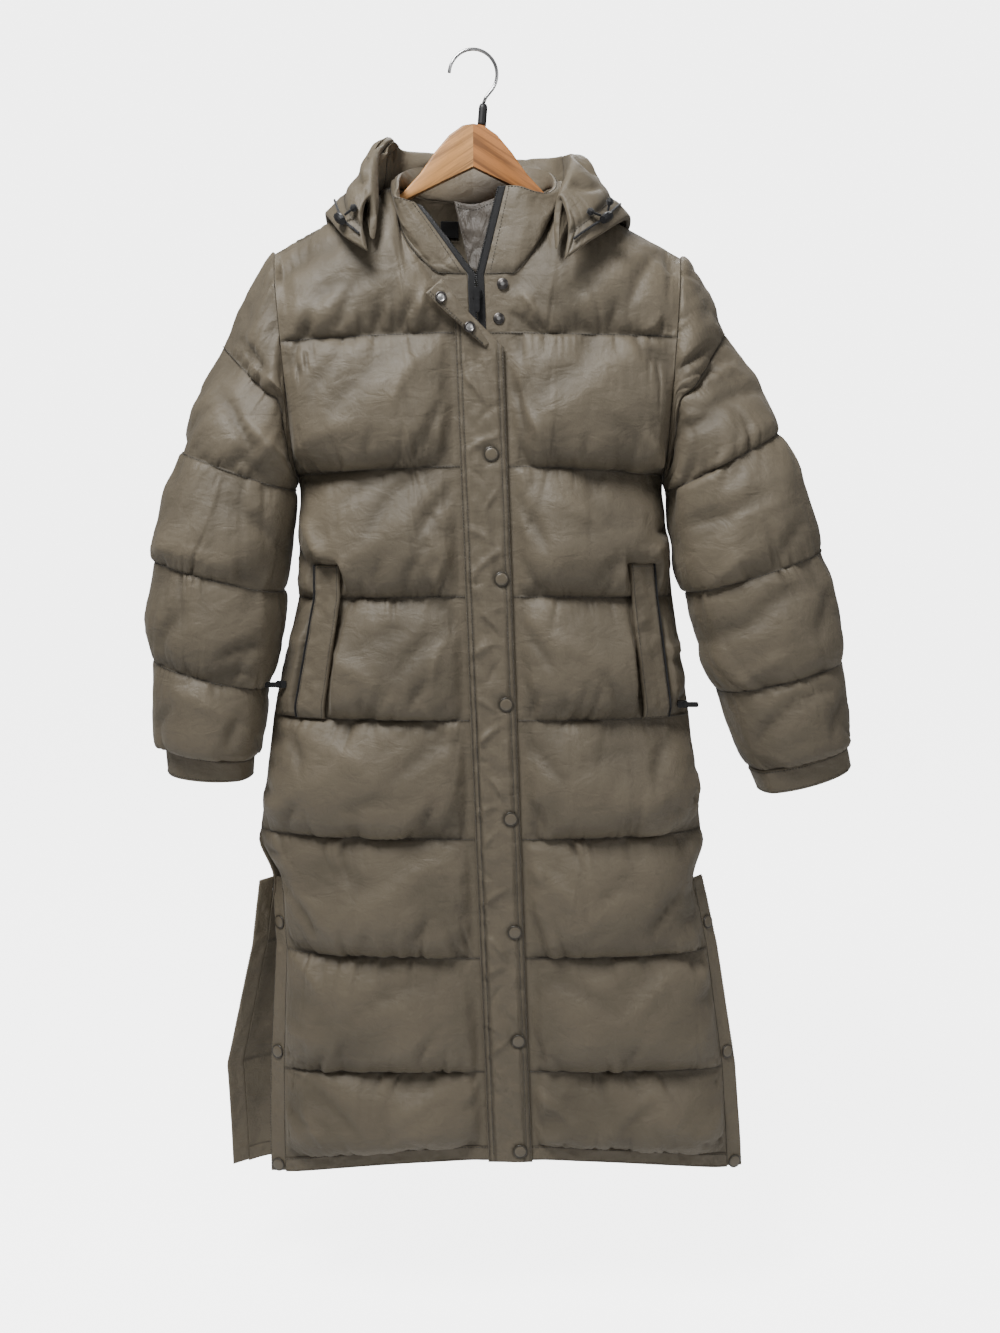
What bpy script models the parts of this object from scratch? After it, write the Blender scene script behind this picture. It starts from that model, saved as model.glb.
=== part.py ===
"""Long padded coat hanging open-necked on a wooden hanger.

The script works in millimetres and writes the meshes in metres. +X is to the right as the front is
seen, +Y points to the back and +Z up. The origin is the inside of the hook's bend, where a rail
carries the hanger. Right and left in names are the wearer's, so the right front is at -X.
"""
import math

import bpy
import numpy as np

MM = 0.001
SEAM_GAP = 0.3          # clear space between two sewn pieces
LAY_GAP = 0.4           # clear space under a piece that lies on another

# ---------------------------------------------------------------- cloth thickness
SEAM_WALL = 3.0         # wall where shell and lining are stitched together
BAND_WALL = 3.0         # flat unpadded bands
BODY_LOFT = 25.0        # extra height of a body baffle at its fullest
YOKE_LOFT = 15.0        # the same for the baffle over the hanger
SLEEVE_LOFT = 13.5
FULLEST = 0.60          # how far down a baffle the filling is highest
GATHER_DEPTH = 0.30     # share by which the gathers beside a seam rise and fall

# ---------------------------------------------------------------- body
NECK_X = 88.0           # side of the neck hole
NECK_Z = -145.0         # its height on the shoulder line
SHOULDER_SLOPE = 0.53
SHOULDER_X = {"right": -217.0, "left": 226.0}
ARMPIT_X = {"right": -199.0, "left": 213.0}
ARMPIT_Z = -452.0
ARMHOLE_FRONT = 56.0    # how far the armhole reaches in front of the shoulder line
ARMHOLE_BACK = 48.0
ROUNDING = 130.0        # height over which the chest rounds out below the shoulder
FRONT_NECK_Z = -243.0
BACK_NECK_Z = -150.0
ZIP_TOP = (4.0, -255.0)     # x, z where the two front edges meet
ZIP_SLANT = 0.0366      # sideways run of the front edge for each mm down
EDGE_X = 9.2            # each front stops this far from the zip's middle
SLIT_TOP_Z = -900.0
SLIT_LENGTH = 340.0     # over which the slit's edges spread apart

# Seams between baffles. columns: z at the middle of the front, extra z at the right and left side
# seam, inner x of the side seams, inner depth of the front and of the back
SEAM_COLUMNS = ("z", "drop_right", "drop_left", "x_right", "x_left", "front", "back")
FRONT_SEAMS = (
    (-303.0, -9.0, -4.0, -196.0, 208.0, 58.0, 49.0),
    (-444.0, -8.0, -8.0, -194.0, 208.0, 62.0, 52.0),
    (-585.0, -6.0, -4.0, -199.0, 224.0, 64.0, 54.0),
    (-723.0, -4.0, -3.0, -231.0, 246.0, 64.0, 54.0),
    (-860.0, -4.0, -4.0, -250.0, 263.0, 62.0, 53.0),
    (-1002.0, -6.0, -6.0, -241.0, 292.0, 58.0, 52.0),
    (-1142.0, -10.0, -8.0, -246.0, 312.0, 55.0, 50.0),
    (-1236.0, -26.0, -20.0, -246.0, 319.0, 54.0, 50.0),
)
# The back is cut longer below the slit tops, and its right edge swings out.
# columns: z at the middle, extra z at the right and left edge, inner x of the edges, inner depth
BACK_LOW_SEAMS = (
    (-1004.0, -4.0, -4.0, -270.0, 262.0, 54.0),
    (-1160.0, -6.0, -4.0, -306.0, 286.0, 54.0),
    (-1272.0, -12.0, -8.0, -304.0, 290.0, 54.0),
)
HEM_HEIGHT = 17.0
BAND_WIDTH = 19.0       # bands along the slits
SLIT_SPREAD_FRONT = 34.0    # how far the slit's front edge stands forward at the hem
SLIT_SPREAD_BACK = 26.0

ARMHOLE_BAFFLES = 2     # baffles of the body that end at the armholes

# ---------------------------------------------------------------- sleeves
ARMHOLE_GAP = 0.5
# Rings of a sleeve's inner wall. columns: outer x and z, inner x and z, half depth, middle's y.
# The first row is where the upper seam leaves the armhole, so its inner side is worked out.
SLEEVE_RINGS = {
    "right": (
        (-277.0, -312.0, -210.0, -378.0, 57.0, 0.0),
        (-323.0, -428.0, -205.0, -470.0, 66.0, -4.0),
        (-358.0, -546.0, -221.0, -583.0, 68.0, -8.0),
        (-362.0, -658.0, -243.0, -692.0, 62.0, -10.0),
        (-354.0, -757.0, -260.0, -774.0, 48.0, -12.0),
    ),
    "left": (
        (277.0, -300.0, 226.0, -378.0, 57.0, 0.0),
        (336.0, -407.0, 219.0, -470.0, 66.0, -4.0),
        (389.0, -536.0, 245.0, -583.0, 68.0, -8.0),
        (415.0, -661.0, 282.0, -696.0, 62.0, -10.0),
        (426.0, -757.0, 321.0, -786.0, 48.0, -12.0),
    ),
}
CAP_HIT = math.radians(108.0)   # way round the armhole where the upper seam meets it
CAP_STEP = 9.0          # distance of that seam from the armhole past there
CUFF_RINGS = {          # outer x and z, inner x and z, half depth, middle's y of both ends
    "right": ((-353.5, -757.6, -260.0, -774.6, 46.0, -12.0),
              (-352.0, -792.0, -262.0, -799.0, 42.0, -12.0)),
    "left": ((426.2, -757.6, 321.2, -786.6, 46.0, -12.0),
             (432.0, -786.0, 334.0, -815.0, 42.0, -12.0)),
}

# Rows in a baffle, as a share of its height from the seam above it
ROW_SHARES = (0.0, 0.13, 0.42, 0.73, 0.90, 1.0)
# Columns of a front from its edge at the zip to the side. columns: share of the half width (None
# where the distance is fixed), distance from the zip's middle, share of the loft
FRONT_COLUMNS = (
    (None, EDGE_X, 0.0),
    (None, 30.0, 0.0),
    (None, 46.0, 0.55),
    (0.33, None, 0.90),
    (0.405, None, 1.0),
    (0.52, None, 1.0),
    (0.63, None, 1.0),
    (0.74, None, 1.0),
    (0.87, None, 0.85),
    (0.95, None, 0.50),
    (1.0, None, 0.0),
)
NECK_COLUMN = 4
WELT_COLUMNS = (7, 8)
WELT_BED = 6.0          # loft left under a pocket welt
WELT_TOP = (2, 0.73)    # baffle and share where a welt starts
WELT_END = (3, 1.0)     # and where it ends
# Columns of the back from one side to the other. columns: share of the width, share of the loft
BACK_COLUMNS = (
    (0.0, 0.0), (0.025, 0.50), (0.065, 0.85), (0.13, 1.0), (0.185, 1.0), (0.24, 1.0), (0.30, 1.0),
    (0.365, 1.0), (0.435, 1.0), (0.5, 1.0), (0.565, 1.0), (0.635, 1.0), (0.70, 1.0), (0.76, 1.0),
    (0.815, 1.0), (0.87, 1.0), (0.935, 0.85), (0.975, 0.50), (1.0, 0.0),
)
BACK_NECK_COLUMNS = (6, 12)


# ---------------------------------------------------------------- small helpers
def unit(v):
    v = np.asarray(v, float)
    return v / np.maximum(np.linalg.norm(v, axis=-1, keepdims=True), 1e-9)


def smooth_step(t):
    t = np.clip(t, 0.0, 1.0)
    return t * t * (3.0 - 2.0 * t)


def make_material(name, colour, roughness, metallic=0.0):
    material = bpy.data.materials.new(name)
    material.use_nodes = True
    shader = material.node_tree.nodes["Principled BSDF"]
    shader.inputs["Base Color"].default_value = (*colour, 1.0)
    shader.inputs["Roughness"].default_value = roughness
    shader.inputs["Metallic"].default_value = metallic
    return material


def add_object(name, points, faces, material, parent=None, origin=(0.0, 0.0, 0.0)):
    """One named object from points in mm, with its origin in mm."""
    mesh = bpy.data.meshes.new(name)
    shift = np.asarray(origin, float)
    mesh.from_pydata([tuple((np.asarray(p) - shift) * MM) for p in points], [], faces)
    mesh.update()
    mesh.shade_smooth()
    mesh.set_sharp_from_angle(angle=math.radians(40.0))
    mesh.materials.append(material)
    obj = bpy.data.objects.new(name, mesh)
    obj.location = tuple(shift * MM)
    if parent is not None:
        obj.parent = parent
    bpy.context.collection.objects.link(obj)
    return obj


def side_strip(outer_ids, inner_ids, inner_rows, flip):
    """Triangles between an edge column with all rows and one with only some of them."""
    faces = []
    for k in range(len(inner_rows) - 1):
        first, last = inner_rows[k], inner_rows[k + 1]
        middle = (first + last + 1) // 2
        for r in range(first, last):
            apex = inner_ids[k] if r < middle else inner_ids[k + 1]
            faces.append((outer_ids[r + 1], outer_ids[r], apex))
        faces.append((inner_ids[k], inner_ids[k + 1], outer_ids[middle]))
    return [tuple(reversed(f)) for f in faces] if flip else faces


def shell(outer, inner, inner_rows=None, wrap=False):
    """Closed wall between two grids of points, rows running down and columns to the right as
    seen from outside. The inner grid may leave rows out. With wrap the columns close to a ring,
    and its top face is split the other way on the second half, as the armhole's faces are."""
    rows, cols = outer.shape[:2]
    if inner_rows is None:
        inner_rows = list(range(rows))
    inner_count = len(inner_rows)
    points = np.concatenate([outer.reshape(-1, 3), inner.reshape(-1, 3)])
    out_id = np.arange(rows * cols).reshape(rows, cols)
    in_id = rows * cols + np.arange(inner_count * cols).reshape(inner_count, cols)
    steps = [(c, (c + 1) % cols) for c in range(cols if wrap else cols - 1)]
    faces = []
    for c, d in steps:
        for r in range(rows - 1):
            faces.append((out_id[r, c], out_id[r + 1, c], out_id[r + 1, d]))
            faces.append((out_id[r, c], out_id[r + 1, d], out_id[r, d]))
        for r in range(inner_count - 1):
            faces.append((in_id[r, c], in_id[r + 1, d], in_id[r + 1, c]))
            faces.append((in_id[r, c], in_id[r, d], in_id[r + 1, d]))
        if wrap and c >= cols // 2:
            faces.append((out_id[0, c], out_id[0, d], in_id[0, d]))
            faces.append((out_id[0, c], in_id[0, d], in_id[0, c]))
        else:
            faces.append((out_id[0, c], out_id[0, d], in_id[0, c]))
            faces.append((out_id[0, d], in_id[0, d], in_id[0, c]))
        faces.append((out_id[-1, d], out_id[-1, c], in_id[-1, c]))
        faces.append((out_id[-1, d], in_id[-1, c], in_id[-1, d]))
    if not wrap:
        faces += side_strip(out_id[:, 0], in_id[:, 0], inner_rows, False)
        faces += side_strip(out_id[:, -1], in_id[:, -1], inner_rows, True)
    return points, [tuple(int(i) for i in f) for f in faces]


def grid_normals(grid, wrap=False):
    """Outward normals of a grid whose rows run down and columns to the right."""
    down = np.gradient(grid, axis=0)
    if wrap:
        across = (np.roll(grid, -1, axis=1) - np.roll(grid, 1, axis=1)) / 2.0
    else:
        across = np.gradient(grid, axis=1)
    return unit(np.cross(down, across))


def puff(share):
    """Height of the filling down a baffle, 0 at the seams and 1 where it is fullest."""
    bend = math.log(0.5) / math.log(FULLEST)
    return np.sin(np.pi * np.clip(share, 0.0, 1.0) ** bend) ** 0.7


# ---------------------------------------------------------------- shape of the body
def seam_table():
    rows = {name: np.array([row[k] for row in FRONT_SEAMS])
            for k, name in enumerate(SEAM_COLUMNS)}
    return rows


SEAMS = seam_table()


def zip_x(z):
    """Middle of the front zip at height z."""
    return ZIP_TOP[0] + ZIP_SLANT * (ZIP_TOP[1] - z)


def shoulder_z(x):
    """Inner line of the shoulders, carried on over the neck hole."""
    return NECK_Z - SHOULDER_SLOPE * (np.abs(x) - NECK_X)


def armhole(side, z, reach):
    """Inner edge of an armhole at height z: x, distance from the shoulder line, way round."""
    top = shoulder_z(SHOULDER_X[side])
    share = np.clip((top - z) / (top - ARMPIT_Z), 0.0, 1.0)
    turn = np.arccos(1.0 - 2.0 * share)
    x = SHOULDER_X[side] + (ARMPIT_X[side] - SHOULDER_X[side]) * np.sin(share * np.pi / 2.0)
    return x, reach * np.sin(turn), turn


def armhole_rim(turn, facing):
    """Direction out of the garment along the armhole's end face."""
    rise = ARMHOLE_FRONT * np.cos(turn)
    out = 120.0 * np.sin(turn)
    return unit(np.stack([np.zeros_like(turn), facing * out, rise], axis=-1))


def level_z(seams, side, share):
    """Heights of one seam row: its middle height plus the drop towards the side seam."""
    return seams["z"] + seams["drop_" + side] * share ** 2


def row_plan(seam_count):
    """Baffle number and share down it for every row of a panel, from the top edge."""
    plan = [(0, 0.0)]
    for baffle in range(seam_count):
        plan += [(baffle, share) for share in ROW_SHARES[1:]]
    return plan


def welt_row(baffle, share):
    return WELT_TOP <= (baffle, share) < WELT_END


def baffle_loft(baffle):
    return YOKE_LOFT if baffle == 0 else BODY_LOFT


def front_panel(side):
    """Inner and outer points of one front, columns from the right as seen to the left."""
    sign = -1.0 if side == "right" else 1.0
    shares = np.array([0.0 if c[0] is None else c[0] for c in FRONT_COLUMNS])
    offsets = np.array([-1.0 if c[1] is None else c[1] for c in FRONT_COLUMNS])
    lofts = np.array([c[2] for c in FRONT_COLUMNS])
    plan = row_plan(len(FRONT_SEAMS))
    side_x = SEAMS["x_" + side]
    inner = np.zeros((len(plan), len(FRONT_COLUMNS), 3))
    loft = np.zeros(inner.shape[:2])
    top_edge = shoulder_z(SHOULDER_X[side])
    for r, (baffle, share) in enumerate(plan):
        low = {k: v[baffle] for k, v in SEAMS.items()}
        if baffle == 0:
            guess = np.where(offsets > 0, offsets, shares * abs(SHOULDER_X[side]))
            neck = FRONT_NECK_Z + (NECK_Z - FRONT_NECK_Z) * np.clip(guess / NECK_X, 0, 1) ** 4.5
            top_z = np.where(guess < NECK_X - 1.0, neck, shoulder_z(guess))
            top_z[NECK_COLUMN] = NECK_Z
            top_x = (SHOULDER_X[side], low["front"])
        else:
            high = {k: v[baffle - 1] for k, v in SEAMS.items()}
            top_z = level_z(high, side, shares)
            top_x = (side_x[baffle - 1], high["front"])
        z = top_z + (level_z(low, side, shares) - top_z) * share
        edge_z = z[-1]
        if edge_z > ARMPIT_Z + 0.5:
            edge_x, edge_y, _ = armhole(side, edge_z, ARMHOLE_FRONT)
            edge_y = edge_y + SEAM_GAP / 2.0
        else:
            edge_x = np.interp(-edge_z, -(SEAMS["z"] + SEAMS["drop_" + side]), side_x)
            if edge_z < SLIT_TOP_Z:
                edge_x -= sign * (BAND_WIDTH + SEAM_GAP)
            below = np.clip((SLIT_TOP_Z - edge_z) / SLIT_LENGTH, 0.0, 1.0)
            edge_y = SEAM_GAP / 2.0 + SLIT_SPREAD_FRONT * below
            if abs(edge_z - ARMPIT_Z) < 1.5:
                edge_x = ARMPIT_X[side]
        centre = zip_x(z)
        x = centre + (edge_x - centre) * shares
        fixed = offsets > 0
        x[fixed] = centre[fixed] + sign * offsets[fixed]
        across = np.abs(x - centre) / abs(edge_x - centre[0])
        depth = np.interp(-z, -SEAMS["z"], SEAMS["front"])
        fall = np.clip((shoulder_z(x) - z) / ROUNDING, 0.0, 1.0)
        rounding = np.sqrt(np.maximum(1.0 - (1.0 - fall) ** 2, 0.0))
        bulge = np.clip(1.0 - np.clip(across, 0, 1) ** 2.6, 0.0, 1.0) ** 0.72
        edge_here = min(edge_y, depth[-1]) * rounding if edge_z > ARMPIT_Z else edge_y
        y = edge_here + (depth * rounding - edge_here) * bulge
        y[-1] = edge_y
        if r == 0:
            x[NECK_COLUMN] = sign * NECK_X
            y[NECK_COLUMN:] = SEAM_GAP / 2.0
        inner[r] = np.stack([x, -y, z], axis=-1)
        ripple = 1.0 - GATHER_DEPTH * (np.arange(len(lofts)) % 2) * (share in ROW_SHARES[1:5:3])
        loft[r] = baffle_loft(baffle) * puff(share) * lofts * ripple
    welt_rows = [r for r, (b, s) in enumerate(plan) if welt_row(b, s)]
    loft[np.ix_(welt_rows, WELT_COLUMNS)] = WELT_BED
    if side == "right":
        inner, loft = inner[:, ::-1], loft[:, ::-1]
    normal = grid_normals(inner)
    edge = 0 if side == "right" else -1
    for r in range(len(plan)):
        point = inner[r, edge]
        if point[2] > ARMPIT_Z + 0.5:
            turn = armhole(side, point[2], ARMHOLE_FRONT)[2]
            normal[r, edge] = armhole_rim(np.array(turn), -1.0)
        elif abs(point[2] - ARMPIT_Z) <= 1.5:
            normal[r, edge] = (0.0, 0.0, -1.0)
        elif point[2] > SLIT_TOP_Z:
            normal[r, edge] = (sign, 0.0, 0.0)
    ridge = [c for c in range(inner.shape[1]) if abs(inner[0, c, 1]) < 1.0]
    normal[0, ridge] = unit((sign * SHOULDER_SLOPE, 0.0, 1.0))
    outer = inner + normal * (SEAM_WALL + loft)[..., None]
    return inner, outer, normal


def back_seams():
    """The front's table down to the slit tops, then the back's own longer rows."""
    names = ("z", "drop_right", "drop_left", "x_right", "x_left", "back")
    upper = {k: SEAMS[k][:5] for k in names}
    lower = {k: np.array([row[i] for row in BACK_LOW_SEAMS]) for i, k in enumerate(names)}
    return {k: np.concatenate([upper[k], lower[k]]) for k in names}


BACK = back_seams()


def back_panel():
    """Inner and outer points of the back, columns from the wearer's left side to the right."""
    shares = np.array([c[0] for c in BACK_COLUMNS])
    lofts = np.array([c[1] for c in BACK_COLUMNS])
    plan = row_plan(len(BACK["z"]))
    drop_share = np.abs(2.0 * shares - 1.0) ** 2
    inner = np.zeros((len(plan), len(shares), 3))
    loft = np.zeros(inner.shape[:2])
    left_half = shares < 0.5
    for r, (baffle, share) in enumerate(plan):
        def level(k):
            drop = np.where(left_half, BACK["drop_left"][k], BACK["drop_right"][k])
            return BACK["z"][k] + drop * drop_share
        if baffle == 0:
            across_x = SHOULDER_X["left"] + (SHOULDER_X["right"] - SHOULDER_X["left"]) * shares
            dip = BACK_NECK_Z - NECK_Z
            neck = NECK_Z + dip * np.clip(1.0 - (np.abs(across_x) / NECK_X) ** 2, 0.0, 1.0)
            top_z = np.where(np.abs(across_x) < NECK_X, neck, shoulder_z(across_x))
            top_z[list(BACK_NECK_COLUMNS)] = NECK_Z
        else:
            top_z = level(baffle - 1)
        z = top_z + (level(baffle) - top_z) * share
        ends = {}
        for side, c in (("left", 0), ("right", -1)):
            if z[c] > ARMPIT_Z + 0.5:
                edge_x, edge_y, _ = armhole(side, z[c], ARMHOLE_BACK)
                ends[side] = (edge_x, edge_y + SEAM_GAP / 2.0)
            else:
                edge_x = np.interp(-z[c], -(BACK["z"] + BACK["drop_" + side]), BACK["x_" + side])
                if abs(z[c] - ARMPIT_Z) < 1.5:
                    edge_x = ARMPIT_X[side]
                if z[c] < SLIT_TOP_Z:
                    edge_x -= math.copysign(BAND_WIDTH + SEAM_GAP, SHOULDER_X[side])
                below = np.clip((SLIT_TOP_Z - z[c]) / SLIT_LENGTH, 0.0, 1.0)
                ends[side] = (edge_x, SEAM_GAP / 2.0 + SLIT_SPREAD_BACK * below)
        x = ends["left"][0] + (ends["right"][0] - ends["left"][0]) * shares
        if r == 0:
            x[BACK_NECK_COLUMNS[0]] = NECK_X
            x[BACK_NECK_COLUMNS[1]] = -NECK_X
        depth = np.interp(-z, -BACK["z"], BACK["back"])
        fall = np.clip((shoulder_z(x) - z) / ROUNDING, 0.0, 1.0)
        rounding = np.sqrt(np.maximum(1.0 - (1.0 - fall) ** 2, 0.0))
        bulge = np.clip(1.0 - np.abs(2.0 * shares - 1.0) ** 2.8, 0.0, 1.0) ** 0.7
        edge_y = np.where(left_half, ends["left"][1], ends["right"][1])
        near = np.minimum(edge_y, depth) * (rounding if z[0] > ARMPIT_Z else 1.0)
        y = near + (depth * rounding - near) * bulge
        y[0], y[-1] = ends["left"][1], ends["right"][1]
        if r == 0:
            y[:BACK_NECK_COLUMNS[0] + 1] = SEAM_GAP / 2.0
            y[BACK_NECK_COLUMNS[1]:] = SEAM_GAP / 2.0
        inner[r] = np.stack([x, y, z], axis=-1)
        ripple = 1.0 - GATHER_DEPTH * (np.arange(len(lofts)) % 2) * (share in ROW_SHARES[1:5:3])
        loft[r] = baffle_loft(baffle) * puff(share) * lofts * ripple
    normal = grid_normals(inner)
    for side, c in (("left", 0), ("right", -1)):
        for r in range(len(plan)):
            height = inner[r, c, 2]
            if height > ARMPIT_Z + 0.5:
                normal[r, c] = armhole_rim(np.array(armhole(side, height, ARMHOLE_BACK)[2]), 1.0)
            elif abs(height - ARMPIT_Z) <= 1.5:
                normal[r, c] = (0.0, 0.0, -1.0)
            elif height > SLIT_TOP_Z:
                normal[r, c] = (math.copysign(1.0, SHOULDER_X[side]), 0.0, 0.0)
    normal[0, :BACK_NECK_COLUMNS[0] + 1] = unit((SHOULDER_SLOPE, 0.0, 1.0))
    normal[0, BACK_NECK_COLUMNS[1]:] = unit((-SHOULDER_SLOPE, 0.0, 1.0))
    outer = inner + normal * (SEAM_WALL + loft)[..., None]
    return inner, outer, normal


def kept_rows(row_count):
    """Rows of the plain inner wall: all down to just under the armholes and then the seams."""
    per_baffle = len(ROW_SHARES) - 1
    armhole_rows = ARMHOLE_BAFFLES * per_baffle
    seams = range(armhole_rows + per_baffle, row_count, per_baffle)
    return list(range(armhole_rows + 2)) + list(seams)


def add_panel(name, grids, material):
    inner, outer, _ = grids
    rows = kept_rows(inner.shape[0])
    points, faces = shell(outer, inner[rows], rows)
    return add_object(name, points, faces, material)


# ---------------------------------------------------------------- sleeves
def armhole_loop(side, front, back):
    """Inner and outer points round an armhole from the panels' own edge points, shoulder first,
    then down the front, the armpit and up the back; with the way round and the facing of each."""
    rows = ARMHOLE_BAFFLES * (len(ROW_SHARES) - 1) + 1
    f_col = 0 if side == "right" else -1
    b_col = -1 if side == "right" else 0
    loop = []
    for which, grid, col in ((-1.0, front, f_col), (1.0, back, b_col)):
        inner, outer, _ = grid
        order = range(rows) if which < 0 else range(rows - 2, 0, -1)
        for r in order:
            turn = armhole(side, inner[r, col, 2], 1.0)[2]
            loop.append((inner[r, col], outer[r, col], turn, which))
    inner = np.array([p[0] for p in loop])
    outer = np.array([p[1] for p in loop])
    turn = np.array([p[2] for p in loop])
    facing = np.array([p[3] for p in loop])
    for row in (0, rows - 1):
        inner[row, 1] = outer[row, 1] = 0.0
    turn[0], turn[rows - 1] = 0.0, np.pi
    return inner, outer, turn, facing


def oval_ring(row, turn, facing):
    """Ring through an outer and an inner side point, as deep as its half depth."""
    outer_x, outer_z, inner_x, inner_z, depth, middle_y = row
    middle = np.array([(outer_x + inner_x) / 2.0, middle_y, (outer_z + inner_z) / 2.0])
    half = np.array([(outer_x - inner_x) / 2.0, 0.0, (outer_z - inner_z) / 2.0])
    along = np.cos(turn)
    deep = np.sin(turn) ** 0.8
    return middle + along[:, None] * half + (facing * deep * depth)[:, None] * np.array([0, 1.0, 0])


def cap_ring(row, loop, turn, facing, side):
    """The upper seam's ring: straight down from the sleeve's top to the armhole, then beside it."""
    sign = -1.0 if side == "right" else 1.0
    outer_x, outer_z, inner_x, inner_z, depth, _ = row
    share = np.clip(turn / CAP_HIT, 0.0, 1.0)
    x = outer_x + (inner_x - outer_x) * share
    z = outer_z + (inner_z - outer_z) * share
    y = facing * depth * np.sin(share * np.pi / 2.0) ** 0.8
    ring = np.stack([x, y, z], axis=-1)
    beside = loop + np.array([sign * CAP_STEP, 0.0, -CAP_STEP * 0.6])
    past = smooth_step((turn - CAP_HIT * 0.8) / (CAP_HIT * 0.35))[:, None]
    return ring * (1.0 - past) + beside * past


def between(rings, position):
    """Smooth curve through a list of rings at a fractional place along it."""
    k = int(min(math.floor(position), len(rings) - 2))
    t = position - k
    before, first = rings[max(k - 1, 0)], rings[k]
    last, after = rings[k + 1], rings[min(k + 2, len(rings) - 1)]
    slope_a = (last - before) / 2.0
    slope_b = (after - first) / 2.0
    return (first * (2 * t ** 3 - 3 * t ** 2 + 1) + slope_a * (t ** 3 - 2 * t ** 2 + t)
            + last * (3 * t ** 2 - 2 * t ** 3) + slope_b * (t ** 3 - t ** 2))


def sleeve(side, front, back):
    """Inner and outer points of one sleeve, columns running right on the side that faces -Y."""
    sign = -1.0 if side == "right" else 1.0
    seam_in, seam_out, turn, facing = armhole_loop(side, front, back)
    shift = np.array([sign * ARMHOLE_GAP, 0.0, 0.0])
    rows = SLEEVE_RINGS[side]
    rings = [seam_in + shift, cap_ring(rows[0], seam_in, turn, facing, side)]
    rings += [oval_ring(row, turn, facing) for row in rows[1:]]
    plan = row_plan(len(rings) - 1)
    inner = np.array([between(rings, baffle + share) for baffle, share in plan])
    toward_body = ((1.0 - np.cos(turn)) / 2.0) ** 2
    outward = ((1.0 + np.cos(turn)) / 2.0) ** 2
    loft = np.zeros(inner.shape[:2])
    for r, (baffle, share) in enumerate(plan):
        room = np.linalg.norm(rings[baffle + 1] - rings[baffle], axis=1)
        ripple = 1.0 - GATHER_DEPTH * (np.arange(len(turn)) % 2) * (share in ROW_SHARES[1:5:3])
        height = SLEEVE_LOFT * (1.0 - 0.65 * toward_body - 0.5 * outward) * ripple
        loft[r] = puff(share) * np.minimum(height, 0.3 * room)
    if side == "left":
        order = np.concatenate([[0], np.arange(len(turn) - 1, 0, -1)])
        inner, loft, seam_out = inner[:, order], loft[:, order], seam_out[order]
    outer = inner + grid_normals(inner, wrap=True) * (SEAM_WALL + loft)[..., None]
    outer[0] = seam_out + shift
    near_body = slice(1, ARMHOLE_BAFFLES * (len(ROW_SHARES) - 1) + 1)
    beside = sign * outer[0, :, 0] + 0.15 * ARMHOLE_GAP
    outer[near_body, :, 0] = sign * np.maximum(sign * outer[near_body, :, 0], beside)
    return inner, outer, (turn, facing)


def add_sleeve(name, grids, material):
    inner, outer, _ = grids
    per_baffle = len(ROW_SHARES) - 1
    rows = [0, 2] + list(range(per_baffle, inner.shape[0], per_baffle))
    points, faces = shell(outer, inner[rows], rows, wrap=True)
    return add_object(name, points, faces, material)


def add_cuff(name, side, turn, facing, material):
    """Flat band round the sleeve's end."""
    first, last = (oval_ring(row, turn, facing) for row in CUFF_RINGS[side])
    inner = np.array([first, first * 0.5 + last * 0.5, last])
    if side == "left":
        order = np.concatenate([[0], np.arange(len(turn) - 1, 0, -1)])
        inner = inner[:, order]
    outer = inner + grid_normals(inner, wrap=True) * BAND_WALL
    points, faces = shell(outer, inner, wrap=True)
    return add_object(name, points, faces, material)


# ---------------------------------------------------------------- bands and hems
def strip_beside(inner, normal, away, width, wall, start_gap=2.0 * SEAM_GAP):
    """Inner and outer points of a flat strip sewn along an edge: two columns or rows of points,
    the first start_gap from the edge and the second width further."""
    near = inner + away * start_gap
    far = inner + away * (start_gap + width)
    return near, far, near + normal * wall, far + normal * wall


def slit_band(grids, column, inward, hem_drop):
    """Band along a slit edge of a panel, from the slit's top down past the hem's seam."""
    inner, _, normal = grids
    rows = [r for r in range(inner.shape[0]) if inner[r, column, 2] < SLIT_TOP_Z]
    edge = inner[rows, column]
    away = unit(edge - inner[rows, inward])
    direction = normal[rows, column]
    tail = edge[-1] + unit(edge[-1] - edge[-2]) * hem_drop
    edge = np.concatenate([edge, [tail]])
    away = np.concatenate([away, away[-1:]])
    direction = np.concatenate([direction, direction[-1:]])
    away = unit(away - direction * np.sum(away * direction, axis=-1, keepdims=True))
    near, far, near_out, far_out = strip_beside(edge, direction, away, BAND_WIDTH, BAND_WALL)
    columns = (0, 1) if column != 0 else (1, 0)
    inner_grid = np.stack([(near, far)[k] for k in columns], axis=1)
    outer_grid = np.stack([(near_out, far_out)[k] for k in columns], axis=1)
    return inner_grid, outer_grid


def hem_band(grids):
    """Band below a panel's last seam."""
    inner, _, normal = grids
    edge = inner[-1]
    down = unit(edge - inner[-2])
    near, far, near_out, far_out = strip_beside(edge, normal[-1], down, HEM_HEIGHT, BAND_WALL)
    return np.stack([near, far]), np.stack([near_out, far_out])


def add_strip(name, grid_pair, material):
    inner, outer = grid_pair
    points, faces = shell(outer, inner)
    return add_object(name, points, faces, material)


# ---------------------------------------------------------------- collar
COLLAR_LOFT = 9.0
COLLAR_SHARES = (0.0, 0.12, 0.5, 0.88, 1.0)     # rows of the collar from its top
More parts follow.
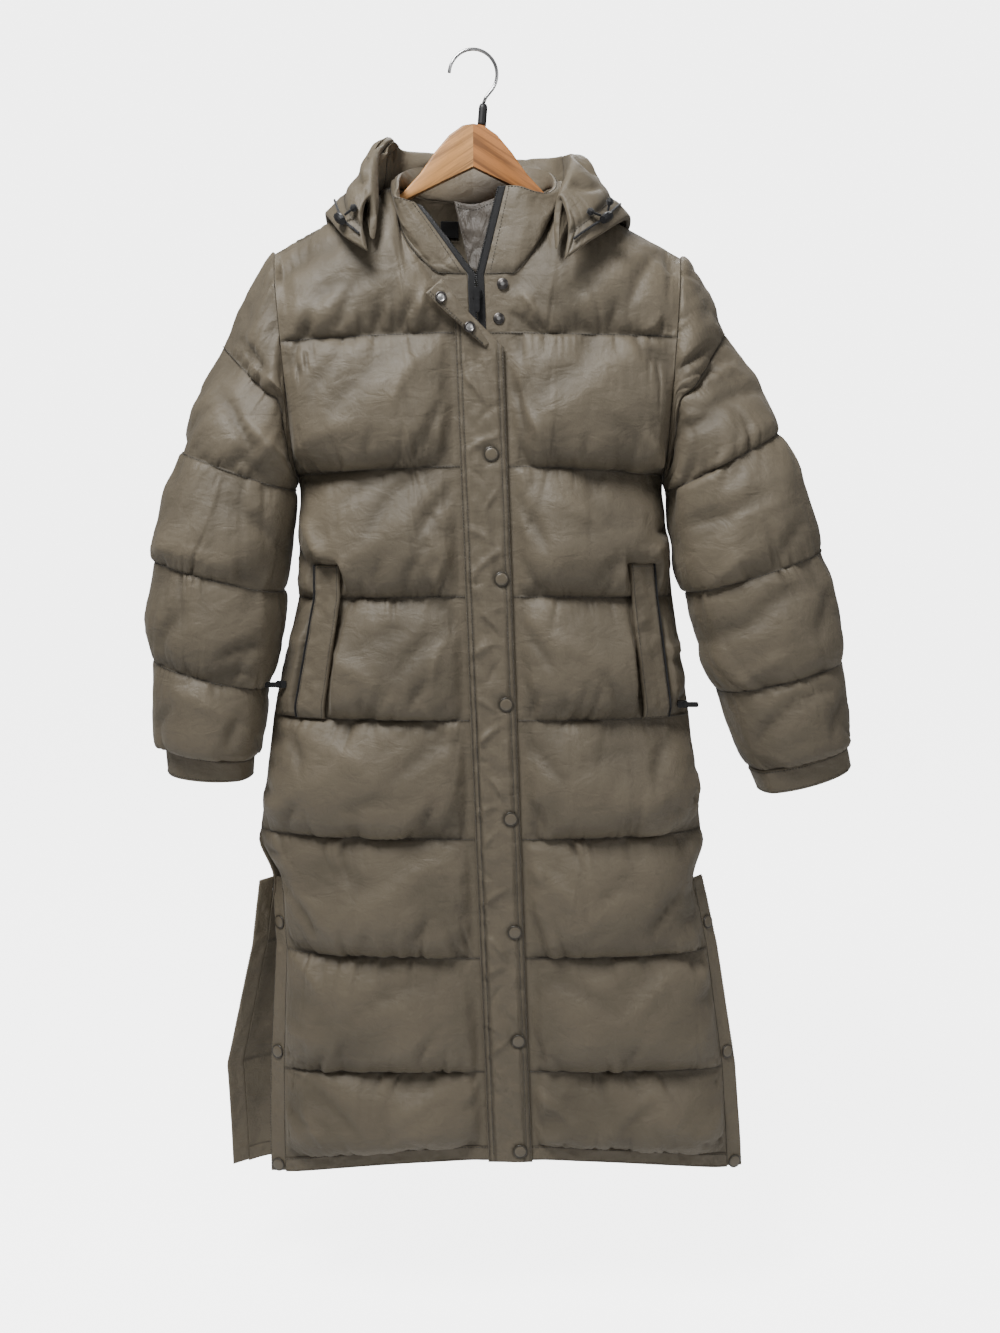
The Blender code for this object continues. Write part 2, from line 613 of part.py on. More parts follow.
# Upper edge of the collar, from the left front edge round the back to the right one.
# columns: share of the way, x, y, z
COLLAR_TOP = (
    (0.00, 36.0, -50.0, -151.0),
    (0.08, 52.0, -53.0, -152.0),
    (0.17, 72.0, -48.0, -158.0),
    (0.25, 85.0, -30.0, -152.0),
    (0.33, 90.0, -4.0, -128.0),
    (0.42, 62.0, 34.0, -112.0),
    (0.50, 0.0, 50.0, -108.0),
    (0.58, -62.0, 34.0, -112.0),
    (0.67, -82.0, -4.0, -127.0),
    (0.75, -76.0, -36.0, -144.0),
    (0.83, -82.0, -57.0, -158.0),
    (0.92, -77.0, -58.0, -165.0),
    (1.00, -62.0, -52.0, -169.0),
)


def neck_stations(front_left, front_right, back):
    """Neck edge points of the panels from the left front edge round to the right one."""
    last = len(FRONT_COLUMNS) - 1
    first_back, last_back = BACK_NECK_COLUMNS
    parts = []
    for k in range(2):
        parts.append(np.concatenate([
            front_left[k][0, :NECK_COLUMN + 1],
            back[k][0, first_back + 1:last_back],
            front_right[k][0, last - NECK_COLUMN:],
        ]))
    inner, outer = parts
    for k in (NECK_COLUMN, len(inner) - 1 - NECK_COLUMN):
        inner[k, 1] = outer[k, 1] = 0.0
    return inner, outer


def collar_grids(front_left, front_right, back):
    """Inner and outer points of the stand collar, rows from its top edge to the neck seam."""
    inner_base, outer_base = neck_stations(front_left, front_right, back)
    count = len(inner_base)
    tangent = unit(np.gradient(inner_base, axis=0))
    out = unit(outer_base - inner_base)
    away = unit(np.cross(out, tangent)) * 0.8
    inner_base = inner_base + away
    outer_base = outer_base + away
    share = np.linspace(0.0, 1.0, count)
    table = np.array(COLLAR_TOP)
    top = np.stack([np.interp(share, table[:, 0], table[:, k]) for k in (1, 2, 3)], axis=-1)
    lean = unit(np.cross(unit(np.gradient(top, axis=0)), top - inner_base))
    loft = COLLAR_LOFT * np.minimum(1.0, 4.0 * np.minimum(share, 1.0 - share) + 0.12)
    loft = loft * (1.0 - 0.5 * np.exp(-((share - 0.74) / 0.07) ** 2))
    inner, outer = [], []
    for s in COLLAR_SHARES:
        low = inner_base * s + top * (1.0 - s)
        swell = np.sin(np.pi * s) ** 0.8 * loft
        direction = unit(lean * (1.0 - s) + out * s)
        inner.append(low)
        outer.append(outer_base * s + (top + lean * SEAM_WALL) * (1.0 - s)
                     + direction * swell[:, None])
    return np.array(inner), np.array(outer)


# ---------------------------------------------------------------- front zip
TAPE_WALL = 2.0


def tape_grids(side, front, collar):
    """Zip tape along the front edge of the collar and then down the front."""
    collar_col, inward = (0, 1) if side == "left" else (-1, -2)
    front_col = 0 if side == "left" else -1
    sign = -1.0 if side == "left" else 1.0
    c_in, c_out = collar[0][:, collar_col], collar[1][:, collar_col]
    f_in, f_out = front[0][1:, front_col], front[1][1:, front_col]
    out = np.concatenate([unit(c_out - c_in), unit(f_out - f_in)])
    edge = np.concatenate([c_in, f_in])
    across = np.concatenate([
        unit(c_in - collar[0][:, inward]),
        np.tile([sign, 0.0, 0.0], (len(f_in), 1)),
    ])
    across[len(c_in) - 2:len(c_in)] = (sign, 0.0, 0.0)
    across = unit(across - out * np.sum(across * out, axis=-1, keepdims=True))
    reach = EDGE_X - SEAM_GAP
    near = edge + across * SEAM_GAP + out * 0.5
    far = edge + across * reach + out * 0.5
    pair = (far, near) if side == "left" else (near, far)
    inner = np.stack(pair, axis=1)
    return inner, inner + out[:, None] * TAPE_WALL


# ---------------------------------------------------------------- placket and its turned-out corner
PLACKET_LEFT = -25.0    # edges of the placket from the zip's middle
PLACKET_RIGHT = 27.0
PLACKET_TOP_Z = (-266.0, -318.0)    # upper end at its sewn edge and at its free edge
PLACKET_BOTTOM_Z = -1255.0
PLACKET_WALL = 2.5
PLACKET_ROWS = 27
PLACKET_WAVE = 1.6      # slack of the cloth between its two rows of stitching
# Corners of the turned-out triangle: x, y, z of its inner face
CORNER_TIP = (18.0, -67.0, -315.0)
CORNER_TOP = (-32.0, -74.9, -249.0)
CORNER_FREE = (-49.5, -77.4, -264.5)
CORNER_HEEL = (13.0, -69.4, -319.0)


def placket_grids():
    """Storm flap over the zip, its top cut along the crease of the turned-out corner."""
    across = np.linspace(0.0, 1.0, 4)
    inner = np.zeros((PLACKET_ROWS, len(across), 3))
    down = np.linspace(0.0, 1.0, PLACKET_ROWS)
    for r, share in enumerate(down):
        top = PLACKET_TOP_Z[0] + (PLACKET_TOP_Z[1] - PLACKET_TOP_Z[0]) * across
        z = top + (PLACKET_BOTTOM_Z - top) * share
        x = zip_x(z) + PLACKET_LEFT + (PLACKET_RIGHT - PLACKET_LEFT) * across
        depth = np.interp(-z, -SEAMS["z"], SEAMS["front"], right=SEAMS["front"][-1])
        wave = PLACKET_WAVE * (0.5 + 0.5 * np.sin(share * 61.0 + 4.0 * across))
        wave *= np.sin(np.pi * across)
        lift = 0.55 + 1.6 * np.clip(1.0 - share * 6.0, 0.0, 1.0)
        inner[r] = np.stack([x, -(depth + SEAM_WALL + lift + wave), z], axis=-1)
    outer = inner + grid_normals(inner) * PLACKET_WALL
    return inner, outer


def corner_grids():
    """The placket's top corner, folded out over its crease."""
    top, free = np.array(CORNER_TOP), np.array(CORNER_FREE)
    tip, heel = np.array(CORNER_TIP), np.array(CORNER_HEEL)
    steps = np.linspace(0.0, 1.0, 5)
    crease = np.array([top + (tip - top) * s for s in steps])
    edge = np.array([free + (heel - free) * s for s in steps])
    bow = np.sin(np.pi * steps)[:, None] * np.array([0.0, -2.0, 0.0])
    inner = np.stack([edge + bow, (edge + crease) / 2.0 + bow * 1.6, crease + bow], axis=1)
    return inner, inner + grid_normals(inner) * PLACKET_WALL


# ---------------------------------------------------------------- zip guard, label and welts
GUARD_WALL = 2.2
GUARD_TOP = ((-20.0, -34.0, -163.0), (6.0, -37.0, -166.0))
GUARD_END = ((-3.0, -48.0, -236.0), (4.0, -50.0, -240.0))


def guard_grids(collar):
    """Flap behind the left collar edge, from the collar's inner face towards the opening."""
    seam = collar[0][:, 1].copy()
    inward = -unit(collar[1][:, 1] - collar[0][:, 1])
    seat = seam + inward * (LAY_GAP + GUARD_WALL)
    steps = np.linspace(0.0, 1.0, len(seat))[:, None]
    left = np.array(GUARD_TOP[0]) * (1.0 - steps) + np.array(GUARD_END[0]) * steps
    middle = np.array(GUARD_TOP[1]) * (1.0 - steps) + np.array(GUARD_END[1]) * steps
    inner = np.stack([left, middle, seat], axis=1)
    return inner, inner + grid_normals(inner) * GUARD_WALL


LABEL_SIZE = (20.0, 18.0, 1.0)
LABEL_PLACE = (-28.0, -178.0)
LABEL_LIFT = 0.2        # slack between its stitched corners and the cloth


def label_grids(back):
    """Plain neck label on the inside of the back."""
    rows = back[0][:, ::-1]
    x, z = LABEL_PLACE
    grid = np.zeros((2, 2, 3))
    for r in range(2):
        for c in range(2):
            px = x + (c - 0.5) * LABEL_SIZE[0]
            pz = z + (0.5 - r) * LABEL_SIZE[1]
            depths = [np.interp(px, row[:, 0], row[:, 1]) for row in rows]
            heights = [np.interp(px, row[:, 0], row[:, 2]) for row in rows]
            behind = np.interp(-pz, -np.array(heights), depths)
            grid[r, c] = (px, behind - LAY_GAP - LABEL_LIFT, pz)
    return grid, grid + grid_normals(grid) * LABEL_SIZE[2]


WELT_WALL = 6.0


def welt_grids(side, front):
    """Pocket welt made from the panel's own points, moved out."""
    _, outer, normal = front
    plan = row_plan(len(FRONT_SEAMS))
    rows = [r for r, (b, s) in enumerate(plan) if WELT_TOP <= (b, s) <= WELT_END]
    last = len(FRONT_COLUMNS) - 1
    cols = list(WELT_COLUMNS) if side == "left" else [last - WELT_COLUMNS[1], last - WELT_COLUMNS[0]]
    base = outer[np.ix_(rows, cols)]
    out = normal[np.ix_(rows, cols)]
    return base + out * LAY_GAP, base + out * (LAY_GAP + WELT_WALL)


# ---------------------------------------------------------------- round fastenings
CAP_SIDES = 12


def disc(name, centre, direction, radius, height, material, parent=None, domed=True):
    """Round button whose flat back lies at centre and whose face looks along direction."""
    axis = unit(direction)
    side = unit(np.cross(axis, (0.0, 0.0, 1.0)))
    up = np.cross(side, axis)
    turns = np.linspace(0.0, 2.0 * np.pi, CAP_SIDES, endpoint=False)
    around = np.cos(turns)[:, None] * side + np.sin(turns)[:, None] * up
    shoulder = 0.55 if domed else 0.9
    rings = [(radius, 0.0), (radius, height * shoulder), (radius * 0.72, height)]
    points = np.concatenate([np.asarray(centre) + around * r + axis * h for r, h in rings])
    count = CAP_SIDES
    faces = [tuple(range(count)), tuple(reversed(range(2 * count, 3 * count)))]
    for ring in range(2):
        for k in range(count):
            n = (k + 1) % count
            a, b = ring * count, (ring + 1) * count
            faces.append((a + n, a + k, b + k, b + n))
    return add_object(name, points, faces, material, parent)


SNAP_RADIUS = 8.2
SNAP_HEIGHT = 2.2
SOCKET_RADIUS = 6.0
# Snaps on the placket: distance from the zip's middle and height
PLACKET_SNAPS = (
    (9.5, -430.5), (15.5, -565.0), (15.5, -704.0), (16.0, -835.0),
    (16.0, -969.0), (15.5, -1102.0), (13.0, -1240.0),
)
CORNER_SOCKETS = (0.17, 0.68)   # share of the way down the turned-out corner
STUD_PLACES = ((32.0, -252.5), (28.0, -288.0))
SLIT_SNAP_Z = {"right": (-979.0, -1134.0, -1272.0), "left": (-979.0, -1134.0, -1268.0)}


def flat_spot(grid_pair, x, z, radius):
    """Centre and direction of a seat for a round piece on a strip's outer face."""
    outer = grid_pair[1]
    flat = outer.reshape(-1, 3)
    order = np.argsort((flat[:, 0] - x) ** 2 + (flat[:, 2] - z) ** 2)[:6]
    near = flat[order]
    fit = np.linalg.lstsq(np.c_[near[:, [0, 2]], np.ones(len(near))], near[:, 1], rcond=None)[0]
    direction = unit(np.array([fit[0], -1.0, fit[1]]))
    y = fit[0] * x + fit[1] * z + fit[2]
    behind = (near - np.array([x, y, z])) @ direction
    lift = max(behind.max(), 0.0) + SEAM_GAP
    return np.array([x, y, z]) + direction * lift, direction


# ---------------------------------------------------------------- plates, sliders and pull tabs
def plate(name, outline, centre, axis_u, axis_v, wall, material, parent=None, origin=None):
    """Flat piece: an outline given counter-clockwise in (u, v), thickened along u x v."""
    axis_u, axis_v = unit(axis_u), unit(axis_v)
    axis_w = np.cross(axis_u, axis_v)
    flat = np.array([np.asarray(centre) + u * axis_u + v * axis_v for u, v in outline])
    points = np.concatenate([flat, flat + axis_w * wall])
    count = len(outline)
    faces = [tuple(reversed(range(count))), tuple(range(count, 2 * count))]
    for k in range(count):
        n = (k + 1) % count
        faces.append((k, n, count + n, count + k))
    return add_object(name, points, faces, material, parent, origin or (0.0, 0.0, 0.0))


def rounded(width, height, corner, steps=3):
    """Counter-clockwise rectangle with round corners about (0, 0)."""
    points = []
    for k, (sx, sy) in enumerate(((1, 1), (-1, 1), (-1, -1), (1, -1))):
        for i in range(steps + 1):
            turn = (k + i / steps) * math.pi / 2.0
            points.append((sx * (width / 2.0 - corner) + corner * math.cos(turn),
                           sy * (height / 2.0 - corner) + corner * math.sin(turn)))
    return points


SLIDER_SIZE = (9.0, 12.0, 4.5)
FRONT_SLIDER = (4.6, -60.9, -262.0)     # middle of the slider's back face
PULL_SIZE = (6.0, 25.0, 1.8)
POCKET_SLIDER_SIZE = (12.0, 8.0, 4.0)
POCKET_PULL_SIZE = (17.0, 6.0, 2.0)
PULL_CLEAR = 0.5        # between a slider's face and its pull tab
PULL_END = 0.9          # tab left above its hinge, so that it turns clear of the slider
# Where the pocket sliders sit. columns: column of the front, baffle, share down it
POCKET_SLIDERS = {"right": (9, 3, 0.73), "left": (9, 3, 0.90)}


def pivot(name, place):
    """Empty on a joint's axis."""
    empty = bpy.data.objects.new(name, None)
    empty.empty_display_size = 0.02
    empty.location = tuple(np.asarray(place) * MM)
    bpy.context.collection.objects.link(empty)
    return empty


def add_front_slider(material):
    """Slider at the open end of the front zip and the tab that hangs from it."""
    centre = np.array(FRONT_SLIDER)
    right, up = np.array([1.0, 0.0, 0.0]), np.array([0.0, 0.0, 1.0])
    plate("zip_slider", rounded(SLIDER_SIZE[0], SLIDER_SIZE[1], 2.5), centre, right, up,
          SLIDER_SIZE[2], material)
    hinge = centre + np.array([0.0, -(SLIDER_SIZE[2] + PULL_CLEAR + PULL_SIZE[2] / 2.0), 4.0])
    axis_empty = pivot("front_pull_axis", hinge)
    tab = hinge + np.array([0.0, PULL_SIZE[2] / 2.0, -(PULL_SIZE[1] / 2.0 - PULL_END)])
    plate("zip_pull", rounded(PULL_SIZE[0], PULL_SIZE[1], 2.4), tab - hinge, right, up,
          PULL_SIZE[2], material, axis_empty)
    return hinge


def pocket_frame(side, front):
    """Seat of a pocket slider on the front: place, outward direction along the surface."""
    column, baffle, share = POCKET_SLIDERS[side]
    _, outer, normal = front
    row = row_plan(len(FRONT_SEAMS)).index((baffle, share))
    col = column if side == "left" else len(FRONT_COLUMNS) - 1 - column
    return outer[row, col], normal[row, col]


def add_pocket_slider(side, front, material):
    """Pocket zip slider with its tab standing out to the side."""
    sign = -1.0 if side == "right" else 1.0
    place, normal = pocket_frame(side, front)
    right = np.array([1.0, 0.0, 0.0])
    up = np.array([0.0, 0.0, 1.0])
    face = place + np.array([0.0, -POCKET_SEAT[side], 0.0])
    plate("pocket_slider_" + side, rounded(POCKET_SLIDER_SIZE[0], POCKET_SLIDER_SIZE[1], 2.0),
          face, right, up, POCKET_SLIDER_SIZE[2], material)
    hinge = face + np.array([sign * 3.0, -(POCKET_SLIDER_SIZE[2] + PULL_CLEAR
                                           + POCKET_PULL_SIZE[2] / 2.0), 0.0])
    axis_empty = pivot("pocket_pull_axis_" + side, hinge)
    tab = np.array([sign * (POCKET_PULL_SIZE[0] / 2.0 - 2.5), POCKET_PULL_SIZE[2] / 2.0, 0.0])
    plate("pocket_pull_" + side, rounded(POCKET_PULL_SIZE[0], POCKET_PULL_SIZE[1], 1.8),
          tab, right, up, POCKET_PULL_SIZE[2], material, axis_empty)
    return hinge


POCKET_SEAT = {"right": 3.5, "left": 5.0}   # from the panel's point to the slider's back


# ---------------------------------------------------------------- hood
HOOD_WALL = 6.0
# The hood is folded back. Lines across it run from the neck over its raised fold to its edge.
# columns: name of the line's point, then x, y, z at each place from the left front to the right
HOOD_LINES = (
    # left front edge beside the collar
    ((88.0, -76.0, -219.2), (88.0, -73.0, -192.0), (92.0, -74.0, -168.0), (100.0, -84.0, -196.0),
     (96.0, -88.0, -232.0)),
    # over the left shoulder's front
    ((104.0, -54.0, -178.0), (103.0, -44.0, -140.0), (110.0, -44.0, -130.0), (130.0, -64.0, -168.0),
     (132.0, -74.0, -206.0)),
    # top of the left shoulder
    ((106.0, 0.0, -147.0), (105.0, 2.0, -120.0), (107.0, 4.0, -108.0), (140.0, -6.0, -145.0),
     (171.0, -8.0, -178.3)),
    # behind the left shoulder
    ((84.0, 42.0, -153.0), (82.0, 46.0, -114.0), (84.0, 62.0, -103.0), (130.0, 84.0, -160.0),
     (146.0, 74.0, -222.0)),
    # middle of the back
    ((0.0, 61.0, -152.0), (0.0, 66.0, -112.0), (0.0, 86.0, -99.0), (0.0, 132.0, -190.0),
     (0.0, 108.0, -300.0)),
    # behind the right shoulder
    ((-86.0, 42.0, -153.0), (-82.0, 46.0, -110.0), (-80.0, 60.0, -96.0), (-124.0, 84.0, -156.0),
     (-140.0, 74.0, -222.0)),
    # top of the right shoulder
    ((-107.0, 0.0, -147.0), (-100.0, 2.0, -108.0), (-90.0, 2.0, -91.0), (-127.0, -4.0, -138.0),
     (-161.0, -8.0, -174.2)),
    # over the right shoulder's front
    ((-109.0, -54.0, -181.0), (-104.0, -44.0, -138.0), (-104.0, -44.0, -120.0),
     (-126.0, -64.0, -166.0), (-134.0, -74.0, -206.0)),
    # right front edge beside the collar
    ((-104.0, -74.0, -209.2), (-103.0, -71.0, -188.0), (-108.0, -72.0, -168.0),
     (-114.0, -84.0, -190.0), (-108.0, -88.0, -224.0)),
)
HOOD_STATIONS = 4       # steps between two lines
HOOD_STEPS = 3          # steps between two points of a line


def smooth_curve(points, steps):
    """Points on a Catmull-Rom curve through rows of points, with the given steps between rows."""
    count = (len(points) - 1) * steps
    return np.array([between(points, k / steps) for k in range(count)] + [points[-1]])


def hood_grids():
    """Folded-back hood, rows from its neck seam to its edge."""
    lines = np.array(HOOD_LINES)
    around = smooth_curve(lines, HOOD_STATIONS)
    surface = smooth_curve(np.swapaxes(around, 0, 1), HOOD_STEPS)
    normal = grid_normals(surface)
    return surface - normal * HOOD_WALL / 2.0, surface + normal * HOOD_WALL / 2.0


def on_grid(grid, row, column):
    """Point of a grid at a fractional row and column."""
    r = min(int(row), grid.shape[0] - 2)
    c = min(int(column), grid.shape[1] - 2)
    u, v = row - r, column - c
    top = grid[r, c] * (1.0 - v) + grid[r, c + 1] * v
    low = grid[r + 1, c] * (1.0 - v) + grid[r + 1, c + 1] * v
    return top * (1.0 - u) + low * u


# ---------------------------------------------------------------- round bars and cords
def tube(name, path, radius, sides, material, radii=None):
    """Round bar along a path of points, closed at both ends."""
    path = np.asarray(path, float)
    along = unit(np.gradient(path, axis=0))
    side = unit(np.cross(along[0], (0.31, 0.87, 0.17)))
    turns = np.linspace(0.0, 2.0 * np.pi, sides, endpoint=False)
    points = []
    for k, (place, direction) in enumerate(zip(path, along)):
        side = unit(side - direction * np.dot(side, direction))
        up = np.cross(direction, side)
        r = radius if radii is None else radii[k]
        points += [place + r * (math.cos(t) * side + math.sin(t) * up) for t in turns]
    faces = [tuple(reversed(range(sides))),
             tuple(range((len(path) - 1) * sides, len(path) * sides))]
    for k in range(len(path) - 1):
        for i in range(sides):
            n = (i + 1) % sides
            a, b = k * sides, (k + 1) * sides
            faces.append((a + i, a + n, b + n, b + i))
    return add_object(name, points, faces, material)


CORD_RADIUS = 1.3
LOCK_RADIUS = 5.0
LOCK_LENGTH = 14.0
STOPPER_RADIUS = 4.2
# Cords in the hood's edge, lying on its face. columns: start and end column of the hood's grid, the
# row they lie on, the column of the cord lock, and the tips of the cord's ends from the lock (x, z)
HOOD_CORDS = {
    "left": (1.0, 7.0, 10.6, 4.0, ((-17.0, 5.0), (3.0, 15.0))),
    "right": (31.0, 25.0, 10.6, 28.4, ((15.0, 10.0),)),
}


def add_hood_cord(side, hood, cord_material, lock_material):
    """Drawcord in the hood's edge with its lock and its free ends."""
    start, end, row, lock_column, tips = HOOD_CORDS[side]
    inner, outer = hood
    columns = np.linspace(start, end, 13)
    out = np.array([unit(on_grid(outer, row, c) - on_grid(inner, row, c)) for c in columns])
    base = np.array([on_grid(outer, row, c) for c in columns])
    path = base + out * (CORD_RADIUS + CORD_LIFT)
    tube("hood_cord_" + side, path, CORD_RADIUS, 8, cord_material)
    k = int(np.argmin(np.abs(columns - lock_column)))
    along = unit(path[k + 1] - path[k - 1])
    middle = path[k] + out[k] * (CORD_RADIUS + LOCK_RADIUS + SEAM_GAP)
    ends = np.linspace(-0.5, 0.5, 4)[:, None] * LOCK_LENGTH
    tube("cord_lock_" + side, middle + along * ends, LOCK_RADIUS, 12, lock_material,
         radii=(LOCK_RADIUS * 0.8, LOCK_RADIUS, LOCK_RADIUS, LOCK_RADIUS * 0.8))
    for number, (dx, dz) in enumerate(tips, start=1):
        tip = middle + np.array([dx, -TIP_RISE, dz])
        heading = unit(tip - middle)
        clear = LOCK_END_CLEAR if abs(heading @ along) > 0.6 else LOCK_RADIUS + 1.4
        length = np.linalg.norm(tip - middle)
        steps = np.array([clear, length - 3.9, length - 3.2, length, length + 3.2, length + 3.9])
        radii = (CORD_RADIUS, CORD_RADIUS, 2.6, STOPPER_RADIUS, 2.6, 0.8)
        tube(f"cord_end_{side}_{number}", middle + heading * steps[:, None], CORD_RADIUS, 10,
             cord_material, radii=radii)


TIP_RISE = 4.0          # how far the cord ends stand off the hood
CORD_LIFT = 0.9         # cord's side above the hood's face
LOCK_END_CLEAR = 9.8    # from a lock's middle to a cord end that leaves it lengthwise

# ---------------------------------------------------------------- hanger
HANGER_HALF_WALL = 5.5
HANGER_DROP = 8.0       # arm below the shoulder line, where the cloth drapes over its edges
HANGER_APEX = ((0.15, -76.0), (12.0, -77.5), (26.0, -87.0), (42.0, -105.0), (58.0, -127.0))
HANGER_LOWER = ((150.0, -199.0), (88.0, -163.0), (50.0, -143.0), (0.15, -120.0))
HANGER_REACH = 78.0     # where the arm meets the shoulder line
HANGER_TIP_X = 204.0
HOOK_CENTRE_Z = -24.0
HOOK_RADIUS = 25.8      # to the middle of the wire
HOOK_WIRE = 1.8
HOOK_TURNS = (176.0, -38.0)     # degrees at the tip and where the bend ends
HOOK_FOOT = (11.2, -53.6)
SLEEVE_FOOT = (9.3, -76.6)
HOOK_SLEEVE_RADIUS = 4.8


def arm_outline():
    """Outline of one hanger arm in x and z, from the apex along its upper edge."""
    rest = [(x, shoulder_z(x) - HANGER_DROP) for x in (HANGER_REACH, 140.0, HANGER_TIP_X - 6.0)]
    tip_z = shoulder_z(HANGER_TIP_X) - HANGER_DROP
    tip = [(HANGER_TIP_X - 1.0, tip_z - 0.5), (HANGER_TIP_X + 2.0, tip_z - 6.0),
           (HANGER_TIP_X + 1.0, tip_z - 13.0), (HANGER_TIP_X - 5.0, tip_z - 18.0)]
    return list(HANGER_APEX) + rest + tip + list(HANGER_LOWER)


def add_hanger(wood, plastic, chrome):
    """Two wooden arms, mitred in the middle, with a sleeved wire hook."""
    outline = arm_outline()
    for side, sign in (("right", -1.0), ("left", 1.0)):
        flat = [(sign * x, z) for x, z in outline]
        if side == "left":
            flat = flat[::-1]
        plate("hanger_arm_" + side, flat, (0.0, HANGER_HALF_WALL, 0.0), (1, 0, 0), (0, 0, 1),
              2.0 * HANGER_HALF_WALL, wood)
    turns = np.radians(np.linspace(HOOK_TURNS[0], HOOK_TURNS[1], 17))
    arc = [(HOOK_RADIUS * math.cos(t), 0.0, HOOK_CENTRE_Z + HOOK_RADIUS * math.sin(t))
           for t in turns]
    foot = [(HOOK_FOOT[0] + 2.6, 0.0, HOOK_FOOT[1] + 6.0), (HOOK_FOOT[0], 0.0, HOOK_FOOT[1])]
    tube("hook", arc + foot, HOOK_WIRE, 10, chrome)
    top = np.array([HOOK_FOOT[0], 0.0, HOOK_FOOT[1] - HOOK_WIRE / 2.0])
    low = np.array([SLEEVE_FOOT[0], 0.0, SLEEVE_FOOT[1]])
    steps = np.linspace(0.0, 1.0, 3)[:, None]
    tube("hook_sleeve", top * (1.0 - steps) + low * steps, HOOK_SLEEVE_RADIUS, 12, plastic)


# ---------------------------------------------------------------- the whole coat
def main():
    for obj in list(bpy.data.objects):
        bpy.data.objects.remove(obj)
    shell_cloth = make_material("shell_cloth", (0.235, 0.205, 0.168), 0.55)
    lining_cloth = make_material("lining_cloth", (0.115, 0.100, 0.080), 0.60)
    tape_cloth = make_material("tape_cloth", (0.012, 0.012, 0.013), 0.70)
    label_cloth = make_material("label_cloth", (0.015, 0.015, 0.016), 0.65)
    trim_plastic = make_material("trim_plastic", (0.014, 0.014, 0.015), 0.35)
    snap_metal = make_material("snap_metal", (0.32, 0.31, 0.30), 0.30, 0.9)
    wood = make_material("wood", (0.60, 0.38, 0.20), 0.45)
    chrome = make_material("chrome", (0.62, 0.62, 0.62), 0.15, 1.0)
    cord_cloth = make_material("cord_cloth", (0.013, 0.013, 0.014), 0.75)

    fronts = {side: front_panel(side) for side in ("right", "left")}
    back = back_panel()
    add_panel("front_right", fronts["right"], shell_cloth)
    add_panel("front_left", fronts["left"], shell_cloth)
    add_panel("back", back, shell_cloth)
    for side in ("right", "left"):
        grids = sleeve(side, fronts[side], back)
        add_sleeve("sleeve_" + side, grids, shell_cloth)
        add_cuff("cuff_" + side, side, *grids[2], shell_cloth)

    collar = collar_grids(fronts["left"], fronts["right"], back)
    add_strip("collar", collar, shell_cloth)
    add_strip("zip_guard", guard_grids(collar), lining_cloth)
    add_strip("neck_label", label_grids(back), label_cloth)
    hood = hood_grids()
    add_strip("hood", hood, shell_cloth)

    bands = {
        ("front", "right"): slit_band(fronts["right"], 0, 1, HEM_HEIGHT),
        ("front", "left"): slit_band(fronts["left"], -1, -2, HEM_HEIGHT),
        ("back", "left"): slit_band(back, 0, 1, HEM_HEIGHT),
        ("back", "right"): slit_band(back, -1, -2, HEM_HEIGHT),
    }
    for (panel, side), grids in bands.items():
        add_strip(f"slit_band_{panel}_{side}", grids, shell_cloth)
    for name, grids in (("front_right", fronts["right"]), ("front_left", fronts["left"]),
                        ("back", back)):
        add_strip("hem_" + name, hem_band(grids), shell_cloth)

    placket = placket_grids()
    add_strip("placket", placket, shell_cloth)
    corner = corner_grids()
    add_strip("placket_corner", corner, shell_cloth)
    for side in ("right", "left"):
        add_strip("pocket_welt_" + side, welt_grids(side, fronts[side]), shell_cloth)
        add_strip("zip_tape_" + side, tape_grids(side, fronts[side], collar), tape_cloth)
        add_pocket_slider(side, fronts[side], trim_plastic)
        add_hood_cord(side, hood, cord_cloth, trim_plastic)
    add_front_slider(trim_plastic)

    for number, (offset, z) in enumerate(PLACKET_SNAPS, start=1):
        seat, direction = flat_spot(placket, zip_x(z) + offset, z, SNAP_RADIUS)
        disc(f"placket_snap_{number}", seat, direction, SNAP_RADIUS, SNAP_HEIGHT, shell_cloth)
    for side, heights in SLIT_SNAP_Z.items():
        band = bands["front", side][1]
        for number, z in enumerate(heights, start=1):
            x = np.interp(-z, -band[:, :, 2].mean(axis=1), band[:, :, 0].mean(axis=1))
            seat, direction = flat_spot((None, band), x, z, SNAP_RADIUS)
            disc(f"slit_snap_{side}_{number}", seat, direction, SNAP_RADIUS, SNAP_HEIGHT,
                 shell_cloth)
    for number, share in enumerate(CORNER_SOCKETS, start=1):
        place = on_grid(corner[1], share * 4.0, 0.75)
        seat, direction = flat_spot(corner, place[0], place[2], SOCKET_RADIUS)
        disc(f"snap_socket_{number}", seat, direction, SOCKET_RADIUS, SNAP_HEIGHT, snap_metal,
             domed=False)
    for number, (x, z) in enumerate(STUD_PLACES, start=1):
        seat, direction = flat_spot(fronts["left"][:2], x, z, SOCKET_RADIUS)
        disc(f"snap_stud_{number}", seat, direction, SOCKET_RADIUS, SNAP_HEIGHT, snap_metal,
             domed=False)
    add_hanger(wood, trim_plastic, chrome)


main()
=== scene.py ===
"""Dresses a packed long padded coat on its hanger: cloth, filling, stitching, zip, snaps and wood.

Lengths in tables are millimetres, and MM turns them into the frame's metres. +X is to the right as
the front is seen, +Y to the back and +Z up. Right and left in names are the wearer's.
"""
import math

import bmesh
import bpy
import numpy as np
from bpy.props import (
    FloatProperty,
    FloatVectorProperty,
    IntProperty,
    PointerProperty,
)
from mathutils import Matrix, Vector


